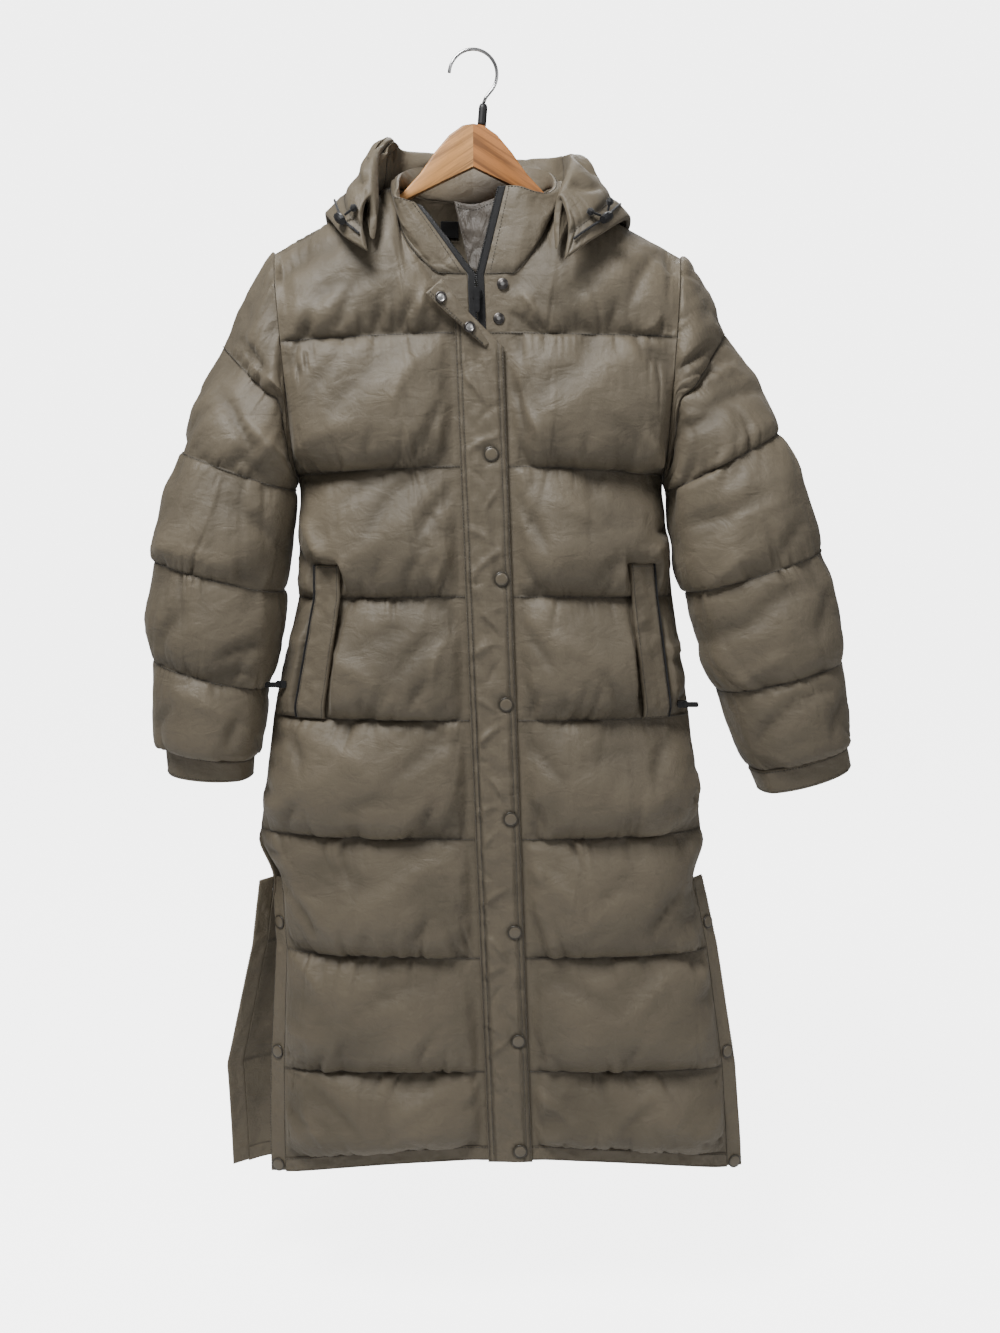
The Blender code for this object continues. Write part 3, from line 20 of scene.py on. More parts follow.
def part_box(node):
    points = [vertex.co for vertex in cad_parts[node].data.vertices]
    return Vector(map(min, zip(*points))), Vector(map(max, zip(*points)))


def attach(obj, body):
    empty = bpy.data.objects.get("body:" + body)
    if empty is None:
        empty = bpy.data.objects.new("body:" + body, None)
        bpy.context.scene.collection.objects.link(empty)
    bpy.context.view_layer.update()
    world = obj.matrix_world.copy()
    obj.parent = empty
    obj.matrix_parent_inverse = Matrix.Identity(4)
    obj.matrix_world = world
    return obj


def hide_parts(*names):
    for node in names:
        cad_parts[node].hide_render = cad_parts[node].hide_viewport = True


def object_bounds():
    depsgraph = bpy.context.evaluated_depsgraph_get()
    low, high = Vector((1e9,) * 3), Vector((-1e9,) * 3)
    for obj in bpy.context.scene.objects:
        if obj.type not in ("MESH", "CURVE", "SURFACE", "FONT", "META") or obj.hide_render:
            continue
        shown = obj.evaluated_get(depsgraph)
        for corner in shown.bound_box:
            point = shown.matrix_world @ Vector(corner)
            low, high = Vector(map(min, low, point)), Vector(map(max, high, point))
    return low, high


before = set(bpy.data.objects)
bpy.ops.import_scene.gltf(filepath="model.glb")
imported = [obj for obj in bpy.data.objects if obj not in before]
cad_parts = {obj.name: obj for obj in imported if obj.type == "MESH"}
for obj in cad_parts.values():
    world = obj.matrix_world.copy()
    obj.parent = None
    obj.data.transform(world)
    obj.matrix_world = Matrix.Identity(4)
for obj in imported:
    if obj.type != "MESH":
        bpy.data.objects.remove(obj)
CAD_BOX = [[float(v) for v in corner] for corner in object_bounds()]

bl_info = {
    "name": "Padded coat dresser",
    "version": (1, 0, 0),
    "blender": (4, 5, 0),
    "location": "View3D > Sidebar > Coat",
    "description": "Dresses a padded coat on its hanger",
    "category": "Add Mesh",
}

MM = 0.001
SEAM_GAP = 0.3          # clear space between two sewn pieces
LAY_GAP = 0.4           # clear space under a piece that lies on another

# ---------------------------------------------------------------- cloth thickness
SEAM_WALL = 3.0         # wall where shell and lining are stitched together
BAND_WALL = 3.0         # flat unpadded bands
BODY_LOFT = 25.0        # extra height of a body baffle at its fullest
YOKE_LOFT = 15.0        # the same for the baffle over the hanger
SLEEVE_LOFT = 13.5
FULLEST = 0.60          # how far down a baffle the filling is highest
GATHER_DEPTH = 0.30     # share by which the gathers beside a seam rise and fall

# ---------------------------------------------------------------- body
NECK_X = 88.0           # side of the neck hole
NECK_Z = -145.0         # its height on the shoulder line
SHOULDER_SLOPE = 0.53
SHOULDER_X = {"right": -217.0, "left": 226.0}
ARMPIT_X = {"right": -199.0, "left": 213.0}
ARMPIT_Z = -452.0
ARMHOLE_FRONT = 56.0    # how far the armhole reaches in front of the shoulder line
ARMHOLE_BACK = 48.0
ROUNDING = 130.0        # height over which the chest rounds out below the shoulder
FRONT_NECK_Z = -243.0
BACK_NECK_Z = -150.0
ZIP_TOP = (4.0, -255.0)     # x, z where the two front edges meet
ZIP_SLANT = 0.0366      # sideways run of the front edge for each mm down
EDGE_X = 9.2            # each front stops this far from the zip's middle
SLIT_TOP_Z = -900.0
SLIT_LENGTH = 340.0     # over which the slit's edges spread apart

# Seams between baffles. columns: z at the middle of the front, extra z at the right and left side
# seam, inner x of the side seams, inner depth of the front and of the back
SEAM_COLUMNS = ("z", "drop_right", "drop_left", "x_right", "x_left", "front", "back")
FRONT_SEAMS = (
    (-303.0, -9.0, -4.0, -196.0, 208.0, 58.0, 49.0),
    (-444.0, -8.0, -8.0, -194.0, 208.0, 62.0, 52.0),
    (-585.0, -6.0, -4.0, -199.0, 224.0, 64.0, 54.0),
    (-723.0, -4.0, -3.0, -231.0, 246.0, 64.0, 54.0),
    (-860.0, -4.0, -4.0, -250.0, 263.0, 62.0, 53.0),
    (-1002.0, -6.0, -6.0, -241.0, 292.0, 58.0, 52.0),
    (-1142.0, -10.0, -8.0, -246.0, 312.0, 55.0, 50.0),
    (-1236.0, -26.0, -20.0, -246.0, 319.0, 54.0, 50.0),
)
# The back is cut longer below the slit tops, and its right edge swings out.
# columns: z at the middle, extra z at the right and left edge, inner x of the edges, inner depth
BACK_LOW_SEAMS = (
    (-1004.0, -4.0, -4.0, -270.0, 262.0, 54.0),
    (-1160.0, -6.0, -4.0, -306.0, 286.0, 54.0),
    (-1272.0, -12.0, -8.0, -304.0, 290.0, 54.0),
)
HEM_HEIGHT = 17.0
BAND_WIDTH = 19.0       # bands along the slits
SLIT_SPREAD_FRONT = 34.0    # how far the slit's front edge stands forward at the hem
SLIT_SPREAD_BACK = 26.0

ARMHOLE_BAFFLES = 2     # baffles of the body that end at the armholes

# ---------------------------------------------------------------- sleeves
ARMHOLE_GAP = 0.5
# Rings of a sleeve's inner wall. columns: outer x and z, inner x and z, half depth, middle's y.
# The first row is where the upper seam leaves the armhole, so its inner side is worked out.
SLEEVE_RINGS = {
    "right": (
        (-277.0, -312.0, -210.0, -378.0, 57.0, 0.0),
        (-323.0, -428.0, -205.0, -470.0, 66.0, -4.0),
        (-358.0, -546.0, -221.0, -583.0, 68.0, -8.0),
        (-362.0, -658.0, -243.0, -692.0, 62.0, -10.0),
        (-354.0, -757.0, -260.0, -774.0, 48.0, -12.0),
    ),
    "left": (
        (277.0, -300.0, 226.0, -378.0, 57.0, 0.0),
        (336.0, -407.0, 219.0, -470.0, 66.0, -4.0),
        (389.0, -536.0, 245.0, -583.0, 68.0, -8.0),
        (415.0, -661.0, 282.0, -696.0, 62.0, -10.0),
        (426.0, -757.0, 321.0, -786.0, 48.0, -12.0),
    ),
}
CAP_HIT = math.radians(108.0)   # way round the armhole where the upper seam meets it
CAP_STEP = 9.0          # distance of that seam from the armhole past there
CUFF_RINGS = {          # outer x and z, inner x and z, half depth, middle's y of both ends
    "right": ((-353.5, -757.6, -260.0, -774.6, 46.0, -12.0),
              (-352.0, -792.0, -262.0, -799.0, 42.0, -12.0)),
    "left": ((426.2, -757.6, 321.2, -786.6, 46.0, -12.0),
             (432.0, -786.0, 334.0, -815.0, 42.0, -12.0)),
}

# Rows in a baffle, as a share of its height from the seam above it
ROW_SHARES = (0.0, 0.13, 0.42, 0.73, 0.90, 1.0)
# Columns of a front from its edge at the zip to the side. columns: share of the half width (None
# where the distance is fixed), distance from the zip's middle, share of the loft
FRONT_COLUMNS = (
    (None, EDGE_X, 0.0),
    (None, 30.0, 0.0),
    (None, 46.0, 0.55),
    (0.33, None, 0.90),
    (0.405, None, 1.0),
    (0.52, None, 1.0),
    (0.63, None, 1.0),
    (0.74, None, 1.0),
    (0.87, None, 0.85),
    (0.95, None, 0.50),
    (1.0, None, 0.0),
)
NECK_COLUMN = 4
WELT_COLUMNS = (7, 8)
WELT_BED = 6.0          # loft left under a pocket welt
WELT_TOP = (2, 0.73)    # baffle and share where a welt starts
WELT_END = (3, 1.0)     # and where it ends
# Columns of the back from one side to the other. columns: share of the width, share of the loft
BACK_COLUMNS = (
    (0.0, 0.0), (0.025, 0.50), (0.065, 0.85), (0.13, 1.0), (0.185, 1.0), (0.24, 1.0), (0.30, 1.0),
    (0.365, 1.0), (0.435, 1.0), (0.5, 1.0), (0.565, 1.0), (0.635, 1.0), (0.70, 1.0), (0.76, 1.0),
    (0.815, 1.0), (0.87, 1.0), (0.935, 0.85), (0.975, 0.50), (1.0, 0.0),
)
BACK_NECK_COLUMNS = (6, 12)


# ---------------------------------------------------------------- small helpers
def unit(v):
    v = np.asarray(v, float)
    return v / np.maximum(np.linalg.norm(v, axis=-1, keepdims=True), 1e-9)


def smooth_step(t):
    t = np.clip(t, 0.0, 1.0)
    return t * t * (3.0 - 2.0 * t)


def grid_normals(grid, wrap=False):
    """Outward normals of a grid whose rows run down and columns to the right."""
    down = np.gradient(grid, axis=0)
    if wrap:
        across = (np.roll(grid, -1, axis=1) - np.roll(grid, 1, axis=1)) / 2.0
    else:
        across = np.gradient(grid, axis=1)
    return unit(np.cross(down, across))


def puff(share):
    """Height of the filling down a baffle, 0 at the seams and 1 where it is fullest."""
    bend = math.log(0.5) / math.log(FULLEST)
    return np.sin(np.pi * np.clip(share, 0.0, 1.0) ** bend) ** 0.7


# ---------------------------------------------------------------- shape of the body
def seam_table():
    rows = {name: np.array([row[k] for row in FRONT_SEAMS])
            for k, name in enumerate(SEAM_COLUMNS)}
    return rows


SEAMS = seam_table()


def zip_x(z):
    """Middle of the front zip at height z."""
    return ZIP_TOP[0] + ZIP_SLANT * (ZIP_TOP[1] - z)


def shoulder_z(x):
    """Inner line of the shoulders, carried on over the neck hole."""
    return NECK_Z - SHOULDER_SLOPE * (np.abs(x) - NECK_X)


def armhole(side, z, reach):
    """Inner edge of an armhole at height z: x, distance from the shoulder line, way round."""
    top = shoulder_z(SHOULDER_X[side])
    share = np.clip((top - z) / (top - ARMPIT_Z), 0.0, 1.0)
    turn = np.arccos(1.0 - 2.0 * share)
    x = SHOULDER_X[side] + (ARMPIT_X[side] - SHOULDER_X[side]) * np.sin(share * np.pi / 2.0)
    return x, reach * np.sin(turn), turn


def armhole_rim(turn, facing):
    """Direction out of the garment along the armhole's end face."""
    rise = ARMHOLE_FRONT * np.cos(turn)
    out = 120.0 * np.sin(turn)
    return unit(np.stack([np.zeros_like(turn), facing * out, rise], axis=-1))


def level_z(seams, side, share):
    """Heights of one seam row: its middle height plus the drop towards the side seam."""
    return seams["z"] + seams["drop_" + side] * share ** 2


def row_plan(seam_count):
    """Baffle number and share down it for every row of a panel, from the top edge."""
    plan = [(0, 0.0)]
    for baffle in range(seam_count):
        plan += [(baffle, share) for share in ROW_SHARES[1:]]
    return plan


def welt_row(baffle, share):
    return WELT_TOP <= (baffle, share) < WELT_END


def baffle_loft(baffle):
    return YOKE_LOFT if baffle == 0 else BODY_LOFT


def front_panel(side):
    """Inner and outer points of one front, columns from the right as seen to the left."""
    sign = -1.0 if side == "right" else 1.0
    shares = np.array([0.0 if c[0] is None else c[0] for c in FRONT_COLUMNS])
    offsets = np.array([-1.0 if c[1] is None else c[1] for c in FRONT_COLUMNS])
    lofts = np.array([c[2] for c in FRONT_COLUMNS])
    plan = row_plan(len(FRONT_SEAMS))
    side_x = SEAMS["x_" + side]
    inner = np.zeros((len(plan), len(FRONT_COLUMNS), 3))
    loft = np.zeros(inner.shape[:2])
    top_edge = shoulder_z(SHOULDER_X[side])
    for r, (baffle, share) in enumerate(plan):
        low = {k: v[baffle] for k, v in SEAMS.items()}
        if baffle == 0:
            guess = np.where(offsets > 0, offsets, shares * abs(SHOULDER_X[side]))
            neck = FRONT_NECK_Z + (NECK_Z - FRONT_NECK_Z) * np.clip(guess / NECK_X, 0, 1) ** 4.5
            top_z = np.where(guess < NECK_X - 1.0, neck, shoulder_z(guess))
            top_z[NECK_COLUMN] = NECK_Z
            top_x = (SHOULDER_X[side], low["front"])
        else:
            high = {k: v[baffle - 1] for k, v in SEAMS.items()}
            top_z = level_z(high, side, shares)
            top_x = (side_x[baffle - 1], high["front"])
        z = top_z + (level_z(low, side, shares) - top_z) * share
        edge_z = z[-1]
        if edge_z > ARMPIT_Z + 0.5:
            edge_x, edge_y, _ = armhole(side, edge_z, ARMHOLE_FRONT)
            edge_y = edge_y + SEAM_GAP / 2.0
        else:
            edge_x = np.interp(-edge_z, -(SEAMS["z"] + SEAMS["drop_" + side]), side_x)
            if edge_z < SLIT_TOP_Z:
                edge_x -= sign * (BAND_WIDTH + SEAM_GAP)
            below = np.clip((SLIT_TOP_Z - edge_z) / SLIT_LENGTH, 0.0, 1.0)
            edge_y = SEAM_GAP / 2.0 + SLIT_SPREAD_FRONT * below
            if abs(edge_z - ARMPIT_Z) < 1.5:
                edge_x = ARMPIT_X[side]
        centre = zip_x(z)
        x = centre + (edge_x - centre) * shares
        fixed = offsets > 0
        x[fixed] = centre[fixed] + sign * offsets[fixed]
        across = np.abs(x - centre) / abs(edge_x - centre[0])
        depth = np.interp(-z, -SEAMS["z"], SEAMS["front"])
        fall = np.clip((shoulder_z(x) - z) / ROUNDING, 0.0, 1.0)
        rounding = np.sqrt(np.maximum(1.0 - (1.0 - fall) ** 2, 0.0))
        bulge = np.clip(1.0 - np.clip(across, 0, 1) ** 2.6, 0.0, 1.0) ** 0.72
        edge_here = min(edge_y, depth[-1]) * rounding if edge_z > ARMPIT_Z else edge_y
        y = edge_here + (depth * rounding - edge_here) * bulge
        y[-1] = edge_y
        if r == 0:
            x[NECK_COLUMN] = sign * NECK_X
            y[NECK_COLUMN:] = SEAM_GAP / 2.0
        inner[r] = np.stack([x, -y, z], axis=-1)
        ripple = 1.0 - GATHER_DEPTH * (np.arange(len(lofts)) % 2) * (share in ROW_SHARES[1:5:3])
        loft[r] = baffle_loft(baffle) * puff(share) * lofts * ripple
    welt_rows = [r for r, (b, s) in enumerate(plan) if welt_row(b, s)]
    loft[np.ix_(welt_rows, WELT_COLUMNS)] = WELT_BED
    if side == "right":
        inner, loft = inner[:, ::-1], loft[:, ::-1]
    normal = grid_normals(inner)
    edge = 0 if side == "right" else -1
    for r in range(len(plan)):
        point = inner[r, edge]
        if point[2] > ARMPIT_Z + 0.5:
            turn = armhole(side, point[2], ARMHOLE_FRONT)[2]
            normal[r, edge] = armhole_rim(np.array(turn), -1.0)
        elif abs(point[2] - ARMPIT_Z) <= 1.5:
            normal[r, edge] = (0.0, 0.0, -1.0)
        elif point[2] > SLIT_TOP_Z:
            normal[r, edge] = (sign, 0.0, 0.0)
    ridge = [c for c in range(inner.shape[1]) if abs(inner[0, c, 1]) < 1.0]
    normal[0, ridge] = unit((sign * SHOULDER_SLOPE, 0.0, 1.0))
    outer = inner + normal * (SEAM_WALL + loft)[..., None]
    return inner, outer, normal


def back_seams():
    """The front's table down to the slit tops, then the back's own longer rows."""
    names = ("z", "drop_right", "drop_left", "x_right", "x_left", "back")
    upper = {k: SEAMS[k][:5] for k in names}
    lower = {k: np.array([row[i] for row in BACK_LOW_SEAMS]) for i, k in enumerate(names)}
    return {k: np.concatenate([upper[k], lower[k]]) for k in names}


BACK = back_seams()


def back_panel():
    """Inner and outer points of the back, columns from the wearer's left side to the right."""
    shares = np.array([c[0] for c in BACK_COLUMNS])
    lofts = np.array([c[1] for c in BACK_COLUMNS])
    plan = row_plan(len(BACK["z"]))
    drop_share = np.abs(2.0 * shares - 1.0) ** 2
    inner = np.zeros((len(plan), len(shares), 3))
    loft = np.zeros(inner.shape[:2])
    left_half = shares < 0.5
    for r, (baffle, share) in enumerate(plan):
        def level(k):
            drop = np.where(left_half, BACK["drop_left"][k], BACK["drop_right"][k])
            return BACK["z"][k] + drop * drop_share
        if baffle == 0:
            across_x = SHOULDER_X["left"] + (SHOULDER_X["right"] - SHOULDER_X["left"]) * shares
            dip = BACK_NECK_Z - NECK_Z
            neck = NECK_Z + dip * np.clip(1.0 - (np.abs(across_x) / NECK_X) ** 2, 0.0, 1.0)
            top_z = np.where(np.abs(across_x) < NECK_X, neck, shoulder_z(across_x))
            top_z[list(BACK_NECK_COLUMNS)] = NECK_Z
        else:
            top_z = level(baffle - 1)
        z = top_z + (level(baffle) - top_z) * share
        ends = {}
        for side, c in (("left", 0), ("right", -1)):
            if z[c] > ARMPIT_Z + 0.5:
                edge_x, edge_y, _ = armhole(side, z[c], ARMHOLE_BACK)
                ends[side] = (edge_x, edge_y + SEAM_GAP / 2.0)
            else:
                edge_x = np.interp(-z[c], -(BACK["z"] + BACK["drop_" + side]), BACK["x_" + side])
                if abs(z[c] - ARMPIT_Z) < 1.5:
                    edge_x = ARMPIT_X[side]
                if z[c] < SLIT_TOP_Z:
                    edge_x -= math.copysign(BAND_WIDTH + SEAM_GAP, SHOULDER_X[side])
                below = np.clip((SLIT_TOP_Z - z[c]) / SLIT_LENGTH, 0.0, 1.0)
                ends[side] = (edge_x, SEAM_GAP / 2.0 + SLIT_SPREAD_BACK * below)
        x = ends["left"][0] + (ends["right"][0] - ends["left"][0]) * shares
        if r == 0:
            x[BACK_NECK_COLUMNS[0]] = NECK_X
            x[BACK_NECK_COLUMNS[1]] = -NECK_X
        depth = np.interp(-z, -BACK["z"], BACK["back"])
        fall = np.clip((shoulder_z(x) - z) / ROUNDING, 0.0, 1.0)
        rounding = np.sqrt(np.maximum(1.0 - (1.0 - fall) ** 2, 0.0))
        bulge = np.clip(1.0 - np.abs(2.0 * shares - 1.0) ** 2.8, 0.0, 1.0) ** 0.7
        edge_y = np.where(left_half, ends["left"][1], ends["right"][1])
        near = np.minimum(edge_y, depth) * (rounding if z[0] > ARMPIT_Z else 1.0)
        y = near + (depth * rounding - near) * bulge
        y[0], y[-1] = ends["left"][1], ends["right"][1]
        if r == 0:
            y[:BACK_NECK_COLUMNS[0] + 1] = SEAM_GAP / 2.0
            y[BACK_NECK_COLUMNS[1]:] = SEAM_GAP / 2.0
        inner[r] = np.stack([x, y, z], axis=-1)
        ripple = 1.0 - GATHER_DEPTH * (np.arange(len(lofts)) % 2) * (share in ROW_SHARES[1:5:3])
        loft[r] = baffle_loft(baffle) * puff(share) * lofts * ripple
    normal = grid_normals(inner)
    for side, c in (("left", 0), ("right", -1)):
        for r in range(len(plan)):
            height = inner[r, c, 2]
            if height > ARMPIT_Z + 0.5:
                normal[r, c] = armhole_rim(np.array(armhole(side, height, ARMHOLE_BACK)[2]), 1.0)
            elif abs(height - ARMPIT_Z) <= 1.5:
                normal[r, c] = (0.0, 0.0, -1.0)
            elif height > SLIT_TOP_Z:
                normal[r, c] = (math.copysign(1.0, SHOULDER_X[side]), 0.0, 0.0)
    normal[0, :BACK_NECK_COLUMNS[0] + 1] = unit((SHOULDER_SLOPE, 0.0, 1.0))
    normal[0, BACK_NECK_COLUMNS[1]:] = unit((-SHOULDER_SLOPE, 0.0, 1.0))
    outer = inner + normal * (SEAM_WALL + loft)[..., None]
    return inner, outer, normal


# ---------------------------------------------------------------- sleeves
def armhole_loop(side, front, back):
    """Inner and outer points round an armhole from the panels' own edge points, shoulder first,
    then down the front, the armpit and up the back; with the way round and the facing of each."""
    rows = ARMHOLE_BAFFLES * (len(ROW_SHARES) - 1) + 1
    f_col = 0 if side == "right" else -1
    b_col = -1 if side == "right" else 0
    loop = []
    for which, grid, col in ((-1.0, front, f_col), (1.0, back, b_col)):
        inner, outer, _ = grid
        order = range(rows) if which < 0 else range(rows - 2, 0, -1)
        for r in order:
            turn = armhole(side, inner[r, col, 2], 1.0)[2]
            loop.append((inner[r, col], outer[r, col], turn, which))
    inner = np.array([p[0] for p in loop])
    outer = np.array([p[1] for p in loop])
    turn = np.array([p[2] for p in loop])
    facing = np.array([p[3] for p in loop])
    for row in (0, rows - 1):
        inner[row, 1] = outer[row, 1] = 0.0
    turn[0], turn[rows - 1] = 0.0, np.pi
    return inner, outer, turn, facing


def oval_ring(row, turn, facing):
    """Ring through an outer and an inner side point, as deep as its half depth."""
    outer_x, outer_z, inner_x, inner_z, depth, middle_y = row
    middle = np.array([(outer_x + inner_x) / 2.0, middle_y, (outer_z + inner_z) / 2.0])
    half = np.array([(outer_x - inner_x) / 2.0, 0.0, (outer_z - inner_z) / 2.0])
    along = np.cos(turn)
    deep = np.sin(turn) ** 0.8
    return middle + along[:, None] * half + (facing * deep * depth)[:, None] * np.array([0, 1.0, 0])


def cap_ring(row, loop, turn, facing, side):
    """The upper seam's ring: straight down from the sleeve's top to the armhole, then beside it."""
    sign = -1.0 if side == "right" else 1.0
    outer_x, outer_z, inner_x, inner_z, depth, _ = row
    share = np.clip(turn / CAP_HIT, 0.0, 1.0)
    x = outer_x + (inner_x - outer_x) * share
    z = outer_z + (inner_z - outer_z) * share
    y = facing * depth * np.sin(share * np.pi / 2.0) ** 0.8
    ring = np.stack([x, y, z], axis=-1)
    beside = loop + np.array([sign * CAP_STEP, 0.0, -CAP_STEP * 0.6])
    past = smooth_step((turn - CAP_HIT * 0.8) / (CAP_HIT * 0.35))[:, None]
    return ring * (1.0 - past) + beside * past


def between(rings, position):
    """Smooth curve through a list of rings at a fractional place along it."""
    k = int(min(math.floor(position), len(rings) - 2))
    t = position - k
    before, first = rings[max(k - 1, 0)], rings[k]
    last, after = rings[k + 1], rings[min(k + 2, len(rings) - 1)]
    slope_a = (last - before) / 2.0
    slope_b = (after - first) / 2.0
    return (first * (2 * t ** 3 - 3 * t ** 2 + 1) + slope_a * (t ** 3 - 2 * t ** 2 + t)
            + last * (3 * t ** 2 - 2 * t ** 3) + slope_b * (t ** 3 - t ** 2))


def sleeve(side, front, back):
    """Inner and outer points of one sleeve, columns running right on the side that faces -Y."""
    sign = -1.0 if side == "right" else 1.0
    seam_in, seam_out, turn, facing = armhole_loop(side, front, back)
    shift = np.array([sign * ARMHOLE_GAP, 0.0, 0.0])
    rows = SLEEVE_RINGS[side]
    rings = [seam_in + shift, cap_ring(rows[0], seam_in, turn, facing, side)]
    rings += [oval_ring(row, turn, facing) for row in rows[1:]]
    plan = row_plan(len(rings) - 1)
    inner = np.array([between(rings, baffle + share) for baffle, share in plan])
    toward_body = ((1.0 - np.cos(turn)) / 2.0) ** 2
    outward = ((1.0 + np.cos(turn)) / 2.0) ** 2
    loft = np.zeros(inner.shape[:2])
    for r, (baffle, share) in enumerate(plan):
        room = np.linalg.norm(rings[baffle + 1] - rings[baffle], axis=1)
        ripple = 1.0 - GATHER_DEPTH * (np.arange(len(turn)) % 2) * (share in ROW_SHARES[1:5:3])
        height = SLEEVE_LOFT * (1.0 - 0.65 * toward_body - 0.5 * outward) * ripple
        loft[r] = puff(share) * np.minimum(height, 0.3 * room)
    if side == "left":
        order = np.concatenate([[0], np.arange(len(turn) - 1, 0, -1)])
        inner, loft, seam_out = inner[:, order], loft[:, order], seam_out[order]
    outer = inner + grid_normals(inner, wrap=True) * (SEAM_WALL + loft)[..., None]
    outer[0] = seam_out + shift
    near_body = slice(1, ARMHOLE_BAFFLES * (len(ROW_SHARES) - 1) + 1)
    beside = sign * outer[0, :, 0] + 0.15 * ARMHOLE_GAP
    outer[near_body, :, 0] = sign * np.maximum(sign * outer[near_body, :, 0], beside)
    return inner, outer, (turn, facing)


# ---------------------------------------------------------------- bands and hems
def strip_beside(inner, normal, away, width, wall, start_gap=2.0 * SEAM_GAP):
    """Inner and outer points of a flat strip sewn along an edge: two columns or rows of points,
    the first start_gap from the edge and the second width further."""
    near = inner + away * start_gap
    far = inner + away * (start_gap + width)
    return near, far, near + normal * wall, far + normal * wall


def slit_band(grids, column, inward, hem_drop):
    """Band along a slit edge of a panel, from the slit's top down past the hem's seam."""
    inner, _, normal = grids
    rows = [r for r in range(inner.shape[0]) if inner[r, column, 2] < SLIT_TOP_Z]
    edge = inner[rows, column]
    away = unit(edge - inner[rows, inward])
    direction = normal[rows, column]
    tail = edge[-1] + unit(edge[-1] - edge[-2]) * hem_drop
    edge = np.concatenate([edge, [tail]])
    away = np.concatenate([away, away[-1:]])
    direction = np.concatenate([direction, direction[-1:]])
    away = unit(away - direction * np.sum(away * direction, axis=-1, keepdims=True))
    near, far, near_out, far_out = strip_beside(edge, direction, away, BAND_WIDTH, BAND_WALL)
    columns = (0, 1) if column != 0 else (1, 0)
    inner_grid = np.stack([(near, far)[k] for k in columns], axis=1)
    outer_grid = np.stack([(near_out, far_out)[k] for k in columns], axis=1)
    return inner_grid, outer_grid


def hem_band(grids):
    """Band below a panel's last seam."""
    inner, _, normal = grids
    edge = inner[-1]
    down = unit(edge - inner[-2])
    near, far, near_out, far_out = strip_beside(edge, normal[-1], down, HEM_HEIGHT, BAND_WALL)
    return np.stack([near, far]), np.stack([near_out, far_out])


# ---------------------------------------------------------------- collar
COLLAR_LOFT = 9.0
COLLAR_SHARES = (0.0, 0.12, 0.5, 0.88, 1.0)     # rows of the collar from its top
# Upper edge of the collar, from the left front edge round the back to the right one.
# columns: share of the way, x, y, z
COLLAR_TOP = (
    (0.00, 36.0, -50.0, -151.0),
    (0.08, 52.0, -53.0, -152.0),
    (0.17, 72.0, -48.0, -158.0),
    (0.25, 85.0, -30.0, -152.0),
    (0.33, 90.0, -4.0, -128.0),
    (0.42, 62.0, 34.0, -112.0),
    (0.50, 0.0, 50.0, -108.0),
    (0.58, -62.0, 34.0, -112.0),
    (0.67, -82.0, -4.0, -127.0),
    (0.75, -76.0, -36.0, -144.0),
    (0.83, -82.0, -57.0, -158.0),
    (0.92, -77.0, -58.0, -165.0),
    (1.00, -62.0, -52.0, -169.0),
)


def neck_stations(front_left, front_right, back):
    """Neck edge points of the panels from the left front edge round to the right one."""
    last = len(FRONT_COLUMNS) - 1
    first_back, last_back = BACK_NECK_COLUMNS
    parts = []
    for k in range(2):
        parts.append(np.concatenate([
            front_left[k][0, :NECK_COLUMN + 1],
            back[k][0, first_back + 1:last_back],
            front_right[k][0, last - NECK_COLUMN:],
        ]))
    inner, outer = parts
    for k in (NECK_COLUMN, len(inner) - 1 - NECK_COLUMN):
        inner[k, 1] = outer[k, 1] = 0.0
    return inner, outer


def collar_grids(front_left, front_right, back):
    """Inner and outer points of the stand collar, rows from its top edge to the neck seam."""
    inner_base, outer_base = neck_stations(front_left, front_right, back)
    count = len(inner_base)
    tangent = unit(np.gradient(inner_base, axis=0))
    out = unit(outer_base - inner_base)
    away = unit(np.cross(out, tangent)) * 0.8
    inner_base = inner_base + away
    outer_base = outer_base + away
    share = np.linspace(0.0, 1.0, count)
    table = np.array(COLLAR_TOP)
    top = np.stack([np.interp(share, table[:, 0], table[:, k]) for k in (1, 2, 3)], axis=-1)
    lean = unit(np.cross(unit(np.gradient(top, axis=0)), top - inner_base))
    loft = COLLAR_LOFT * np.minimum(1.0, 4.0 * np.minimum(share, 1.0 - share) + 0.12)
    loft = loft * (1.0 - 0.5 * np.exp(-((share - 0.74) / 0.07) ** 2))
    inner, outer = [], []
    for s in COLLAR_SHARES:
        low = inner_base * s + top * (1.0 - s)
        swell = np.sin(np.pi * s) ** 0.8 * loft
        direction = unit(lean * (1.0 - s) + out * s)
        inner.append(low)
        outer.append(outer_base * s + (top + lean * SEAM_WALL) * (1.0 - s)
                     + direction * swell[:, None])
    return np.array(inner), np.array(outer)


# ---------------------------------------------------------------- front zip
TAPE_WALL = 2.0


